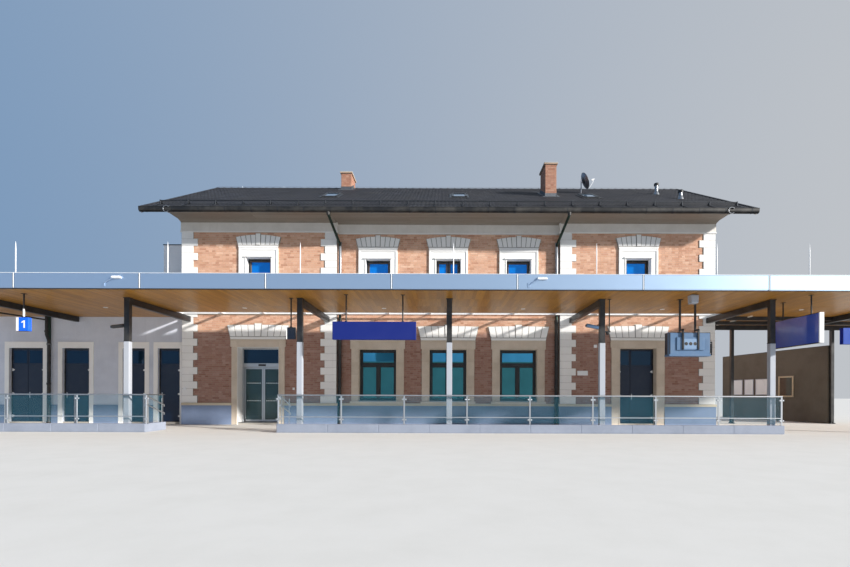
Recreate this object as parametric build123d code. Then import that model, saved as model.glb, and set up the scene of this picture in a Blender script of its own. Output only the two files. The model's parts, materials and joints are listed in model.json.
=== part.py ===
from build123d import *

import os
from math import radians, tan

# A two-storey brick railway station with a one-storey wing and a platform canopy.
# Millimetres. X runs along the platform, Y away from it and Z up from the ground.
# The origin is the middle of the main building at ground level.

os.makedirs("parts", exist_ok=True)

# How far a cutting block reaches past the face that it opens
OVERCUT = 1

# Main walls
BUILDING_WIDTH = 20380
BUILDING_DEPTH = 9840
CENTRE_WIDTH = 8600
RECESS = 180
WALL_THICKNESS = 500
GROUND_FLOOR_THICKNESS = 80
UPPER_FLOOR_TOP = 4000
UPPER_FLOOR_THICKNESS = 260

# Roof and eaves
ROOF_PITCH = 28.5
EAVE_OVERHANG = 980
VERGE_OVERHANG = 950
EAVE_TOP = 7940
ROOF_THICKNESS = 140
VERGE_BOARD_THICKNESS = 30
VERGE_BOARD_DROP = 60
EAVE_BOARD_THICKNESS = 25
EAVE_BOARD_DROP = 30
BOARD_JOINT = 3
RIDGE_WIDTH = 280
RIDGE_RISE = 50
SOFFIT_LEVEL = 7795
BED_MOULD_DROP = 45
BED_MOULD_REACH = 260
BED_MOULD_SAG = 0.3
DRIP_DEPTH = 25
DRIP_WIDTH = 90
PURLIN_WIDTH = 180
PURLIN_DEPTH = 200
PURLIN_SPACING = 2350
PURLIN_ROWS = 2
PURLIN_END_SETBACK = 90

# Gutters and pipes
GUTTER_RADIUS = 85
GUTTER_SHEET = 6
GUTTER_LEVEL = 7935
GUTTER_FLANGE = 25
PIPE_RADIUS = 50
PIPE_WALL_GAP = 12
PIPE_CLAMP = 30
PIPE_CLAMP_LEVELS = (1500, 3300, 5200, 6600)
PIPE_ELBOW = 70
PIPE_SIDES = 8
NECK_TOP_DROP = 190
NECK_FOOT_LEVEL = 6900
PIPE_FOOT = 40

# Snow guards
GUARD_SETBACK = 420
GUARD_HEIGHT = 200
GUARD_BAR = 24
GUARD_BRACKETS = 22
GUARD_FOOT = 240
GUARD_END_SETBACK = 400

# Plinth, frieze and quoins
PLINTH_TOP = 733
PLINTH_PROJECTION = 60
CAP_TOP = 825
CAP_PROJECTION = 80
FRIEZE_BOTTOM = 7380
FRIEZE_PROJECTION = 45
QUOIN_LONG = 590
QUOIN_SHORT = 430
QUOIN_COURSE = 270
QUOIN_PROJECTION = 25

# Window and door places
WINDOW_PITCH = 2720
END_AXIS_SETBACK = 2920
GABLE_AXIS = 2400
FRAME_DEPTH = 70
FRAME_BAR = 70
GLASS_THICKNESS = 20
GLASS_INSET = 5

# Ground floor windows
LOWER_WIDTH = 1450
LOWER_SILL = 905
LOWER_HEAD = 2920
LOWER_TRANSOM = 2320
LOWER_REVEAL = 190
LOWER_SURROUND_WIDTH = 2030
LOWER_SURROUND_TOP = 3260
LOWER_ARCH_TOP = 3790
LOWER_ARCH_FOOT_WIDTH = 2100
LOWER_ARCH_TOP_WIDTH = 2360
LOWER_ARCH_RISE = 30

# Upper floor windows
UPPER_WIDTH = 960
UPPER_SILL = 4850
UPPER_HEAD = 6400
UPPER_REVEAL = 190
UPPER_SURROUND_WIDTH = 1500
UPPER_SURROUND_TOP = 6750
UPPER_ARCH_TOP = 7170
UPPER_ARCH_FOOT_WIDTH = 1500
UPPER_ARCH_TOP_WIDTH = 1720
UPPER_ARCH_RISE = 90

# Surrounds and flat arches
SURROUND_PROJECTION = 40
SILL_PROJECTION = 95
SILL_HEIGHT = 80
SILL_HORN = 45
ARCH_PROJECTION = 60
ARCH_FILLET = 95
ARCH_STONES = 9
KEYSTONE_RISE = 45
KEYSTONE_PROJECTION = 20

# Entrance with two sliding leaves
ENTRANCE_WIDTH = 1590
ENTRANCE_HEAD = 2970
ENTRANCE_FRAME = 60
ENTRANCE_FRAME_DEPTH = 80
HEADER_BOTTOM = 2220
HEADER_TOP = 2370
HEADER_DEPTH = 130
HEADER_SHEET = 10
HEADER_SLOT = 24
LEAF_WALL_GAP = 30
LEAF_THICKNESS = 46
LEAF_STILE = 60
LEAF_LAP = 20
LEAF_MEETING_GAP = 6
LEAF_TOP_GAP = 8
LEAF_FLOOR_GAP = 8
LEAF_TRAVEL = 690
HANGER_STEM = 14
HANGER_WIDTH = 80
HANGER_BAR = 50
HANGER_BAR_HEIGHT = 24
HANGER_SEAT = 0.3

# Hinged doors
DOOR_HEAD = 2970
DOOR_WIDTH = 1400
DOOR_REVEAL = 220
NARROW_LEAF = 430
DOOR_THICKNESS = 50
DOOR_GAP = 8
DOOR_MEETING_GAP = 12
DOOR_FLOOR_GAP = 8
DOOR_FRAME = 45
DOOR_FRAME_DEPTH = 90
DOOR_STOP_LAP = 14
DOOR_STOP_GAP = 6
DOOR_PANE_BOTTOM = 2380
DOOR_PANE_INSET = 16
DOOR_PANE_MARGIN = 90
PIN_SIDES = 6
HINGE_RADIUS = 10
HINGE_OFFSET = 13
HINGE_HEIGHT = 60
HINGE_SEAT = 0.3
HINGE_LEVELS = (340, 1300, 2240)
HINGE_ARM = 8
HINGE_STRAP = 32

# Wing. Each door is given by its far and near edge, from the corner of the main walls, and its leaves
WING_SETBACK = 100
WING_DEPTH = 6000
WING_WALL = 350
WING_DOOR_HEAD = 2920
WING_DOOR_REVEAL = 100
WING_SURROUND_BAND = 165
WING_SURROUND_TOP = 3155
WING_SURROUND_PROJECTION = 20
WING_BASE_TOP = 733
WING_BASE_PROJECTION = 20
WING_LENGTH = 7535
WING_DOORS = ((6720, 5410, 2), (4670, 3630, 1), (2340, 1490, 1), (990, 140, 1))

# Upper storey annex on the wing
ANNEX_WIDTH = 1300
ANNEX_SETBACK = 1000
ANNEX_DEPTH = 4800
ANNEX_TOP = 7190
ANNEX_WALL = 250

# Canopy
HALL_LENGTH = 7785
PANEL_COUNT = 10
PANEL_JOINT = 8
CANOPY_REACH = 4800
FASCIA_THICKNESS = 50
FASCIA_BOTTOM = 4150
FASCIA_TOP = 4580
CEILING_LEVEL = 4130
CEILING_THICKNESS = 20
DECK_TOP = 4400
STRIP_WIDTH = 1100
HALL_GAP = 210
HALL_SETBACK = 1900
EDGE_BEAM = 150
GLAZING_BAR_WIDTH = 60
GLAZING_BAR_DEPTH = 50
GLAZING_BAR_PITCH = 1600
ROOF_GLASS = 14
WALL_BAR = 50

# Canopy posts and beams
WING_POST = 4090
LEFT_CORNER_POST = 280
LEFT_CENTRE_POST = 300
RIGHT_CENTRE_POST = 400
RIGHT_CORNER_POST = 260
HALL_FRONT_POST = 4210
POST_WIDTH = 160
POST_DEPTH = 140
POST_SETBACK = 1200
POST_FOOT = 260
POST_FOOT_THICKNESS = 20
BEAM_WIDTH = 120
BEAM_DEPTH = 200
HALL_REAR_POSTS = (1760, 5965)
HALL_POST = 120
WING_PIPE = 5110

# Signs and boards under the canopy: left and right edge from the place that each belongs to, low and high
ROD = 15
SIGN_SETBACK = 640
NAME_SIGN = (-3460, -1000, 2790, 3310)
NUMBER_SIGN = (-2615, -2265, 3005, 3410)
SIDE_SIGN = (1440, 3110, 2700, 3170)
SIGN_THICKNESS = 120
ROD_INSET = 390
CABINET = (-555, 695, 2370, 3090)
CABINET_THICKNESS = 300
CROSS_PANEL_OFFSET = 410
CROSS_PANEL = (80, 2030, 2690, 3550)
CROSS_PANEL_THICKNESS = 110
FLAG_SIGN = (-720, -440, 2860, 3220)
WALL_BOARD = (-410, -110, 2710, 3220)
BOARD_THICKNESS = 40

# Balustrade
KERB_HEIGHT = 250
KERB_WIDTH = 200
LEFT_KERB_SETBACK = 980
RIGHT_KERB_LEAD = 930
RIGHT_KERB_SETBACK = 40
RETURN_LENGTH = 900
RAIL_TOP = 1155
RAIL_HEIGHT = 35
RAIL_WIDTH = 50
BALUSTER_WIDTH = 40
BALUSTER_DEPTH = 20
BALUSTER_PITCH = 2050
PANE_BOTTOM = 300
PANE_THICKNESS = 16

# Roof fittings. Chimneys stand beside the set back centre, and their tops are measured from the ridge
LEFT_CHIMNEY = (520, 0, 606)
RIGHT_CHIMNEY = (90, -2300, -44)
CHIMNEY_WIDTH = 470
CHIMNEY_DEPTH = 1000
CHIMNEY_CAP = 70
CHIMNEY_CAP_OVERHANG = 50
ROOF_WINDOWS = (-4980, 470, 6000)
ROOF_WINDOW_RUN = 2700
ROOF_WINDOW_WIDTH = 550
ROOF_WINDOW_LENGTH = 900
ROOF_WINDOW_RISE = 70
VENTS = ((890, -1900, 508), (550, -3400, 383))
VENT_RADIUS = 65
VENT_CAP_RADIUS = 95
VENT_CAP_HEIGHT = 90
DISH_OFFSET = 1700
DISH_Y = -1700
DISH_RADIUS = 355
DISH_DEPTH = 70
DISH_FLAT = 200
DISH_SIDES = 16
DISH_SHEET = 8
DISH_RISE = 580
DISH_ARM = 120
DISH_TILT = 65
MAST_RADIUS = 25

# Passage wall under the right end of the canopy
PASSAGE_OFFSETS = (5840, 5010)
PASSAGE_SETBACK = 1820
PASSAGE_THICKNESS = 250
PASSAGE_HEIGHT = 3280

# Values that follow from the sizes above
SIDE = BUILDING_WIDTH / 2
FRONT = -BUILDING_DEPTH / 2
CENTRE = CENTRE_WIDTH / 2
FLOOR = GROUND_FLOOR_THICKNESS
SLOPE = tan(radians(ROOF_PITCH))
EAVE = FRONT - EAVE_OVERHANG
ROOF_END = SIDE + VERGE_OVERHANG
WING_FRONT = FRONT + WING_SETBACK
WING_REAR = WING_FRONT + WING_DEPTH
CANOPY_LEFT = -SIDE - WING_LENGTH
CANOPY_RIGHT = SIDE + HALL_LENGTH
PANEL_LENGTH = (CANOPY_RIGHT - CANOPY_LEFT) / PANEL_COUNT
FASCIA_FACE = FRONT - CANOPY_REACH
DECK_FRONT = FASCIA_FACE + FASCIA_THICKNESS
STRIP_FRONT = FRONT - STRIP_WIDTH
HALL_LEFT = SIDE + HALL_GAP
HALL_BACK = FRONT + HALL_SETBACK
POST_LINE = FASCIA_FACE + POST_SETBACK
KERB_REAR = POST_LINE - POST_DEPTH / 2
KERB_LINE = KERB_REAR - KERB_WIDTH / 2
LEFT_KERB_END = -SIDE + LEFT_KERB_SETBACK
RIGHT_KERB_START = -CENTRE - RIGHT_KERB_LEAD
RIGHT_KERB_END = SIDE - RIGHT_KERB_SETBACK
END_AXIS = SIDE - END_AXIS_SETBACK
LOWER_AXES = (-WINDOW_PITCH, 0, WINDOW_PITCH)
ALL_AXES = (-END_AXIS, -WINDOW_PITCH, 0, WINDOW_PITCH, END_AXIS)
WING_OPENINGS = [(-SIDE - far, -SIDE - near, leaves) for far, near, leaves in WING_DOORS]
POST_PLACES = [
    -SIDE - WING_POST, -SIDE + LEFT_CORNER_POST, -CENTRE - LEFT_CENTRE_POST, 0,
    CENTRE + RIGHT_CENTRE_POST, SIDE - RIGHT_CORNER_POST, SIDE + HALL_FRONT_POST,
]


def block(x0, x1, y0, y1, z0, z1):
    """A rectangular block between two corners."""
    middle = Pos((x0 + x1) / 2, (y0 + y1) / 2, (z0 + z1) / 2)
    return middle * Box(x1 - x0, y1 - y0, z1 - z0)


def along_x(profile, x0, x1):
    """An outline of (y, z) points drawn out along X."""
    face = Plane.YZ.offset(x0) * Polygon(*profile, align=None)
    return extrude(face, amount=x1 - x0, dir=(1, 0, 0))


def along_y(profile, y0, y1):
    """An outline of (x, z) points drawn out along Y."""
    face = Plane.XZ.offset(-y0) * Polygon(*profile, align=None)
    return extrude(face, amount=y1 - y0, dir=(0, 1, 0))


def upright(outline, z0, z1):
    """A plan outline of (x, y) points raised from z0 to z1."""
    return extrude(Pos(0, 0, z0) * Polygon(*outline, align=None), amount=z1 - z0, dir=(0, 0, 1))


def rod(x, y, z0, z1, radius, sides=PIPE_SIDES):
    """An upright rod, with a few flats for its round."""
    return extrude(Pos(x, y, z0) * RegularPolygon(radius, sides), amount=z1 - z0)


def both_ends(shape):
    """A shape and its mirror image across the middle of the building."""
    return [shape, mirror(shape, Plane.YZ)]


def front_and_rear(shape):
    """A shape on the platform side and its mirror image on the street side."""
    return [shape, mirror(shape, Plane.XZ)]


def save(name, *shapes):
    """Write the solids of one named piece."""
    solids = []
    for shape in shapes:
        group = shape if isinstance(shape, list) else [shape]
        for member in group:
            solids.extend(member.solids())
    export_step(Compound(solids), f"parts/{name}.step")


def roof_top(y):
    """Height of the tiles at a distance from the ridge line."""
    return EAVE_TOP + (-EAVE - abs(y)) * SLOPE


def roof_under(y):
    """Height of the underside of the roof."""
    return roof_top(y) - ROOF_THICKNESS


def footprint(grow=0):
    """Outline of the main walls, with the centre set back on both long sides."""
    side = SIDE + grow
    end = -FRONT + grow
    centre = CENTRE - grow
    back = end - RECESS
    return [
        (-side, -end), (-centre, -end), (-centre, -back), (centre, -back),
        (centre, -end), (side, -end), (side, end), (centre, end),
        (centre, back), (-centre, back), (-centre, end), (-side, end),
    ]


def band(z0, z1, projection):
    """A flat course that runs round the main walls."""
    return upright(footprint(projection), z0, z1) - upright(footprint(), z0, z1)


def place_front(x):
    """Where an opening of the platform side goes, from its own axis."""
    set_back = RECESS if abs(x) < CENTRE else 0
    return Pos(x, FRONT + set_back, 0)


def place_rear(x):
    """The same on the street side."""
    set_back = RECESS if abs(x) < CENTRE else 0
    return Pos(x, -FRONT - set_back, 0) * Rot(0, 0, 180)


def place_right(y):
    """An opening of the right gable wall."""
    return Pos(SIDE, y, 0) * Rot(0, 0, 90)


def place_left(y):
    """An opening of the left gable wall."""
    return Pos(-SIDE, y, 0) * Rot(0, 0, -90)


LOWER_PLACES = [place_front(x) for x in LOWER_AXES]
LOWER_PLACES += [place_rear(x) for x in ALL_AXES]
LOWER_PLACES += [place_right(y) for y in (-GABLE_AXIS, GABLE_AXIS)]
UPPER_PLACES = [place_front(x) for x in ALL_AXES]
UPPER_PLACES += [place_rear(x) for x in ALL_AXES]
UPPER_PLACES += [place_right(y) for y in (-GABLE_AXIS, GABLE_AXIS)]
UPPER_PLACES += [place_left(GABLE_AXIS)]


def cut_windows(wall):
    """Cut every window that falls inside a wall."""
    back = WALL_THICKNESS + OVERCUT
    lower = block(-LOWER_WIDTH / 2, LOWER_WIDTH / 2, -OVERCUT, back, LOWER_SILL, LOWER_HEAD)
    upper = block(-UPPER_WIDTH / 2, UPPER_WIDTH / 2, -OVERCUT, back, UPPER_SILL, UPPER_HEAD)
    box = wall.bounding_box()
    for cutter, places in ((lower, LOWER_PLACES), (upper, UPPER_PLACES)):
        for place in places:
            tool = place * cutter
            middle = tool.bounding_box().center()
            inside_x = box.min.X < middle.X < box.max.X
            inside_y = box.min.Y < middle.Y < box.max.Y
            if inside_x and inside_y:
                wall = wall - tool
    return wall


def long_wall(x0, x1, face, z0):
    """A wall along X from a level up to the sloping underside of the roof."""
    inner = face + WALL_THICKNESS
    profile = [(face, z0), (inner, z0), (inner, roof_under(inner)), (face, roof_under(face))]
    return along_x(profile, x0, x1)


def front_walls():
    """The set back centre, the piers beside the two doors and the walls above them."""
    save("front_wall_centre", cut_windows(long_wall(-CENTRE, CENTRE, FRONT + RECESS, 0)))
    piers = []
    above = []
    inner = FRONT + WALL_THICKNESS
    for sign, width in ((-1, ENTRANCE_WIDTH), (1, DOOR_WIDTH)):
        axis = sign * END_AXIS
        left = min(sign * CENTRE, sign * SIDE)
        right = max(sign * CENTRE, sign * SIDE)
        piers.append(block(left, axis - width / 2, FRONT, inner, 0, ENTRANCE_HEAD))
        piers.append(block(axis + width / 2, right, FRONT, inner, 0, ENTRANCE_HEAD))
        above.append(cut_windows(long_wall(left, right, FRONT, ENTRANCE_HEAD)))
    save("front_piers", piers)
    save("front_walls_over_doors", above)


def rear_wall():
    """The street side, with the same windows and set back centre."""
    ends = [long_wall(-SIDE, -CENTRE, FRONT, 0), long_wall(CENTRE, SIDE, FRONT, 0)]
    wall = ends[0] + long_wall(-CENTRE, CENTRE, FRONT + RECESS, 0) + ends[1]
    save("rear_wall", cut_windows(mirror(wall, Plane.XZ)))


def gable_walls():
    """The two end walls, between the long walls, up to the ridge."""
    reach = -FRONT - WALL_THICKNESS
    outline = [
        (-reach, 0), (reach, 0), (reach, roof_under(reach)),
        (0, roof_under(0)), (-reach, roof_under(reach)),
    ]
    save("gable_wall_right", cut_windows(along_x(outline, SIDE - WALL_THICKNESS, SIDE)))
    save("gable_wall_left", cut_windows(along_x(outline, -SIDE, -SIDE + WALL_THICKNESS)))


def floors():
    """Ground floors of the building and the wing, and the upper floor."""
    x = SIDE - WALL_THICKNESS
    y = -FRONT - WALL_THICKNESS
    inner_y = y - RECESS
    outline = [
        (-x, -y), (-CENTRE, -y), (-CENTRE, -inner_y), (CENTRE, -inner_y), (CENTRE, -y), (x, -y),
        (x, y), (CENTRE, y), (CENTRE, inner_y), (-CENTRE, inner_y), (-CENTRE, y), (-x, y),
    ]
    main = upright(outline, 0, FLOOR)
    for sign, width in ((-1, ENTRANCE_WIDTH), (1, DOOR_WIDTH)):
        axis = sign * END_AXIS
        main += block(axis - width / 2, axis + width / 2, FRONT, -y, 0, FLOOR)
    wing = block(CANOPY_LEFT + WING_WALL, -SIDE, WING_FRONT + WING_WALL, WING_REAR - WING_WALL, 0, FLOOR)
    for left, right, leaves in WING_OPENINGS:
        wing += block(left, right, WING_FRONT, WING_FRONT + WING_WALL, 0, FLOOR)
    upper = upright(outline, UPPER_FLOOR_TOP - UPPER_FLOOR_THICKNESS, UPPER_FLOOR_TOP)
    save("floors", main, wing, upper)


def door_cutters():
    """Blocks that clear the two door openings of the platform side."""
    half = LOWER_SURROUND_WIDTH / 2
    y0 = FRONT - CAP_PROJECTION - OVERCUT
    y1 = FRONT + OVERCUT
    return [block(axis - half, axis + half, y0, y1, -OVERCUT, LOWER_SURROUND_TOP)
            for axis in (-END_AXIS, END_AXIS)]


def wing_cutter():
    """A block that clears the wing and its roof from the courses of the left gable wall."""
    return block(CANOPY_LEFT, -SIDE, FASCIA_FACE, WING_REAR, -OVERCUT, DECK_TOP)


def plinths():
    """Base courses of the building and the wing, stopped at the doors."""
    main = band(0, PLINTH_TOP, PLINTH_PROJECTION)
    cap = band(PLINTH_TOP, CAP_TOP, CAP_PROJECTION)
    for cutter in door_cutters() + [wing_cutter()]:
        main -= cutter
        cap -= cutter
    y0 = WING_FRONT - WING_BASE_PROJECTION
    base = block(CANOPY_LEFT, -SIDE, y0, WING_FRONT, 0, WING_BASE_TOP)
    edge = WING_SURROUND_BAND
    for left, right, leaves in WING_OPENINGS:
        base -= block(left - edge, right + edge, y0 - OVERCUT, WING_FRONT + OVERCUT, -OVERCUT,
                      WING_BASE_TOP + OVERCUT)
    save("plinth", main, base)
    save("plinth_cap", cap)


def zigzag(edge, direction, start, projection):
    """Outline of a quoin stack: long and short stones in turn, course by course."""
    height = FRIEZE_BOTTOM - CAP_TOP
    courses = round(height / QUOIN_COURSE)
    course = height / courses
    points = [(edge + direction * -projection, CAP_TOP)]
    for index in range(courses):
        length = QUOIN_LONG if (index + start) % 2 == 0 else QUOIN_SHORT
        reach = edge + direction * length
        points.append((reach, CAP_TOP + index * course))
        points.append((reach, CAP_TOP + (index + 1) * course))
    points.append((edge + direction * -projection, FRIEZE_BOTTOM))
    return points


def quoins():
    """Corner stones at the outer corners and at the edges of the set back centre."""
    p = QUOIN_PROJECTION
    face = along_y(zigzag(SIDE, -1, 0, p), FRONT - p, FRONT)
    turn = along_x(zigzag(FRONT, 1, 1, 0), SIDE, SIDE + p)
    outer = face + turn
    inner = along_y(zigzag(CENTRE, 1, 0, p), FRONT - p, FRONT)
    inner += block(CENTRE - p, CENTRE, FRONT, FRONT + RECESS, CAP_TOP, FRIEZE_BOTTOM)
    stacks = []
    for stack in (outer, inner):
        for half in both_ends(stack):
            stacks.extend(front_and_rear(half))
    save("quoins", [stack - wing_cutter() for stack in stacks])


def frieze():
    """The flat course below the eaves, on the long sides and across the gables."""
    save("frieze", band(FRIEZE_BOTTOM, SOFFIT_LEVEL - BED_MOULD_DROP, FRIEZE_PROJECTION))


def eave_profile(face):
    """Boxed eaves: a bed mould at the wall, a flat soffit and a drip at the outer edge."""
    mould = SOFFIT_LEVEL - BED_MOULD_DROP
    reach = face - BED_MOULD_REACH
    path = Polyline(
        (reach, SOFFIT_LEVEL), (EAVE + DRIP_WIDTH, SOFFIT_LEVEL),
        (EAVE + DRIP_WIDTH, SOFFIT_LEVEL - DRIP_DEPTH), (EAVE, SOFFIT_LEVEL - DRIP_DEPTH),
        (EAVE, roof_under(EAVE)), (face, roof_under(face)), (face, mould),
        (face - FRIEZE_PROJECTION - BED_MOULD_DROP, mould),
    )
    middle = ((reach + face - FRIEZE_PROJECTION) / 2, mould + BED_MOULD_DROP * BED_MOULD_SAG)
    curve = ThreePointArc((face - FRIEZE_PROJECTION - BED_MOULD_DROP, mould), middle, (reach, SOFFIT_LEVEL))
    return make_face(path + curve)


def eaves():
    """The boxed eaves of both long sides."""
    centre = extrude(Plane.YZ.offset(-CENTRE) * eave_profile(FRONT + RECESS), amount=CENTRE_WIDTH,
                     dir=(1, 0, 0))
    end = extrude(Plane.YZ.offset(CENTRE) * eave_profile(FRONT), amount=SIDE - CENTRE + FRIEZE_PROJECTION,
                  dir=(1, 0, 0))
    save("eaves", front_and_rear(centre + end + mirror(end, Plane.YZ)))


def roof():
    """Two plain slopes, the ridge, the boards at their edges and the purlin ends."""
    ridge = roof_top(0)
    slope = [(EAVE, EAVE_TOP), (0, ridge), (0, ridge - ROOF_THICKNESS), (EAVE, EAVE_TOP - ROOF_THICKNESS)]
    front = along_x(slope, -ROOF_END, ROOF_END)
    save("roof_slope_front", front)
    save("roof_slope_rear", mirror(front, Plane.XZ))
    half = RIDGE_WIDTH / 2
    path = Polyline((-half, roof_top(half)), (0, ridge), (half, roof_top(half)))
    curve = ThreePointArc((half, roof_top(half)), (0, ridge + RIDGE_RISE), (-half, roof_top(half)))
    face = Plane.YZ.offset(-ROOF_END) * make_face(path + curve)
    save("roof_ridge", extrude(face, amount=2 * ROOF_END, dir=(1, 0, 0)))
    drop = ROOF_THICKNESS + VERGE_BOARD_DROP
    verge = [(EAVE, EAVE_TOP), (-BOARD_JOINT, roof_top(BOARD_JOINT)),
             (-BOARD_JOINT, roof_top(BOARD_JOINT) - drop), (EAVE, EAVE_TOP - drop)]
    board = along_x(verge, ROOF_END, ROOF_END + VERGE_BOARD_THICKNESS)
    boards = []
    for half_board in both_ends(board):
        boards.extend(front_and_rear(half_board))
    eave_board = block(-ROOF_END, ROOF_END, EAVE - EAVE_BOARD_THICKNESS, EAVE,
                       EAVE_TOP - ROOF_THICKNESS - EAVE_BOARD_DROP, EAVE_TOP)
    purlins = []
    for index in range(-PURLIN_ROWS, PURLIN_ROWS + 1):
        purlins.extend(both_ends(purlin(index * PURLIN_SPACING)))
    save("roof_timbers", boards, front_and_rear(eave_board), purlins)


def purlin(y):
    """One purlin end under the verge, cut to the slope of the roof on top."""
    left = y - PURLIN_WIDTH / 2
    right = y + PURLIN_WIDTH / 2
    outline = [(left, roof_under(left)), (left, roof_under(y) - PURLIN_DEPTH),
               (right, roof_under(y) - PURLIN_DEPTH), (right, roof_under(right))]
    if y == 0:
        outline.append((0, roof_under(0)))
    return along_x(outline, SIDE + FRIEZE_PROJECTION, ROOF_END - PURLIN_END_SETBACK)


def gutters():
    """Half-round gutters on the eave boards, closed at both ends."""
    y = EAVE - EAVE_BOARD_THICKNESS - GUTTER_RADIUS
    ring = Circle(GUTTER_RADIUS) - Circle(GUTTER_RADIUS - GUTTER_SHEET)
    lower = ring & Pos(0, -GUTTER_RADIUS) * Rectangle(4 * GUTTER_RADIUS, 2 * GUTTER_RADIUS)
    flange = Pos(GUTTER_RADIUS - GUTTER_SHEET / 2, 0) * Rectangle(GUTTER_SHEET, 2 * GUTTER_FLANGE)
    profile = Pos(y, GUTTER_LEVEL) * (lower + flange)
    length = 2 * ROOF_END
    trough = extrude(Plane.YZ.offset(-ROOF_END) * profile, amount=length, dir=(1, 0, 0))
    half_disc = Circle(GUTTER_RADIUS) & Pos(0, -GUTTER_RADIUS) * Rectangle(4 * GUTTER_RADIUS,
                                                                           2 * GUTTER_RADIUS)
    for x in (-ROOF_END, ROOF_END - GUTTER_SHEET):
        end = Plane.YZ.offset(x) * (Pos(y, GUTTER_LEVEL) * half_disc)
        trough += extrude(end, amount=GUTTER_SHEET, dir=(1, 0, 0))
    save("gutters", front_and_rear(trough))


def elbows(route):
    """A pipe's route with each corner turned in two mitres, as a sheet metal elbow is."""
    points = [route[0]]
    for before, corner, after in zip(route, route[1:], route[2:]):
        points.append(corner + (before - corner).normalized() * PIPE_ELBOW)
        points.append(corner + (after - corner).normalized() * PIPE_ELBOW)
    return points + [route[-1]]


def downpipes():
    """Swan necks from the gutters to pipes in the corners of the set back centre."""
    y_top = EAVE - EAVE_BOARD_THICKNESS - GUTTER_RADIUS
    wall = FRONT + RECESS
    y_wall = wall - CAP_PROJECTION - PIPE_WALL_GAP - PIPE_RADIUS
    x_wall = CENTRE - CAP_PROJECTION - PIPE_WALL_GAP - PIPE_RADIUS
    x_top = CENTRE + PIPE_RADIUS
    z_top = GUTTER_LEVEL - GUTTER_RADIUS
    route = [Vector(x_top, y_top, z_top), Vector(x_top, y_top, z_top - NECK_TOP_DROP),
             Vector(x_wall, y_wall, NECK_FOOT_LEVEL), Vector(x_wall, y_wall, PIPE_FOOT)]
    section = Pos(x_top, y_top, z_top) * RegularPolygon(PIPE_RADIUS, PIPE_SIDES)
    pipe = sweep(section, path=Polyline(*elbows(route)), transition=Transition.RIGHT)
    clamp = PIPE_CLAMP / 2
    for level in PIPE_CLAMP_LEVELS:
        pipe += block(x_wall - clamp, x_wall + clamp, y_wall, wall, level - clamp, level + clamp)
    pipes = []
    for half in both_ends(pipe):
        pipes.extend(front_and_rear(half))
    y = WING_FRONT - WING_BASE_PROJECTION - PIPE_WALL_GAP - PIPE_RADIUS
    save("downpipes", pipes, rod(-SIDE - WING_PIPE, y, PIPE_FOOT, CEILING_LEVEL, PIPE_RADIUS))


def snow_guards():
    """A low rail above each eave, on three-cornered brackets."""
    y = EAVE + GUARD_SETBACK
    reach = ROOF_END - GUARD_END_SETBACK
    half = GUARD_BAR / 2
    top = roof_top(y) + GUARD_HEIGHT
    guard = block(-reach, reach, y - half, y + half, top - GUARD_BAR, top)
    step = 2 * (reach - GUARD_BAR) / (GUARD_BRACKETS - 1)
    plate = [(y - half, roof_top(y - half)), (y + GUARD_FOOT, roof_top(y + GUARD_FOOT)),
             (y + half, top - GUARD_BAR), (y - half, top - GUARD_BAR)]
    for index in range(GUARD_BRACKETS):
        x = -reach + GUARD_BAR + index * step
        guard += along_x(plate, x - half, x + half)
    save("snow_guards", front_and_rear(guard))


def chimneys():
    """Two brick stacks on the roof, each with a thin cap."""
    stacks = []
    half = CHIMNEY_WIDTH / 2
    for side, (offset, y, rise) in ((-1, LEFT_CHIMNEY), (1, RIGHT_CHIMNEY)):
        x = side * (CENTRE + offset)
        top = roof_top(0) + rise
        y0 = y - CHIMNEY_DEPTH / 2
        y1 = y + CHIMNEY_DEPTH / 2
        outline = [(y0, top), (y0, roof_top(y0))]
        if y0 < 0 < y1:
            ridge = RIDGE_WIDTH / 2
            clear = roof_top(0) + RIDGE_RISE
            outline += [(-ridge, roof_top(ridge)), (-ridge, clear), (ridge, clear), (ridge, roof_top(ridge))]
        outline += [(y1, roof_top(y1)), (y1, top)]
        stack = along_x(outline, x - half, x + half)
        edge = CHIMNEY_CAP_OVERHANG
        stack += block(x - half - edge, x + half + edge, y0 - edge, y1 + edge, top - CHIMNEY_CAP, top)
        stacks.append(stack)
    save("chimneys", stacks)


def roof_fittings():
    """Small roof windows, vent pipes and the dish on its mast."""
    y0 = EAVE + ROOF_WINDOW_RUN
    y1 = y0 + ROOF_WINDOW_LENGTH
    rise = ROOF_WINDOW_RISE
    outline = [(y0, roof_top(y0)), (y1, roof_top(y1)), (y1, roof_top(y1) + rise), (y0, roof_top(y0) + rise)]
    half = ROOF_WINDOW_WIDTH / 2
    fittings = [along_x(outline, x - half, x + half) for x in ROOF_WINDOWS]
    for offset, y, rise in VENTS:
        x = SIDE - offset
        top = roof_top(y) + rise
        vent = rod(x, y, roof_under(y), top, VENT_RADIUS)
        vent -= below_tiles(x - VENT_CAP_RADIUS, x + VENT_CAP_RADIUS)
        vent += rod(x, y, top - VENT_CAP_HEIGHT, top, VENT_CAP_RADIUS)
        fittings.append(vent)
    fittings.append(dish())
    save("roof_fittings", fittings)


def below_tiles(x0, x1):
    """All that lies under the tiles of the platform side, to cut the foot of a mast or a vent."""
    return along_x([(EAVE, 0), (0, 0), (0, roof_top(0)), (EAVE, EAVE_TOP)], x0, x1)


def bowl(level):
    """A solid bowl that widens upwards from a flat bottom."""
    bottom = Pos(0, 0, level) * RegularPolygon(DISH_FLAT, DISH_SIDES)
    rim = Pos(0, 0, level + DISH_DEPTH) * RegularPolygon(DISH_RADIUS, DISH_SIDES)
    return loft([bottom, rim])


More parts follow.
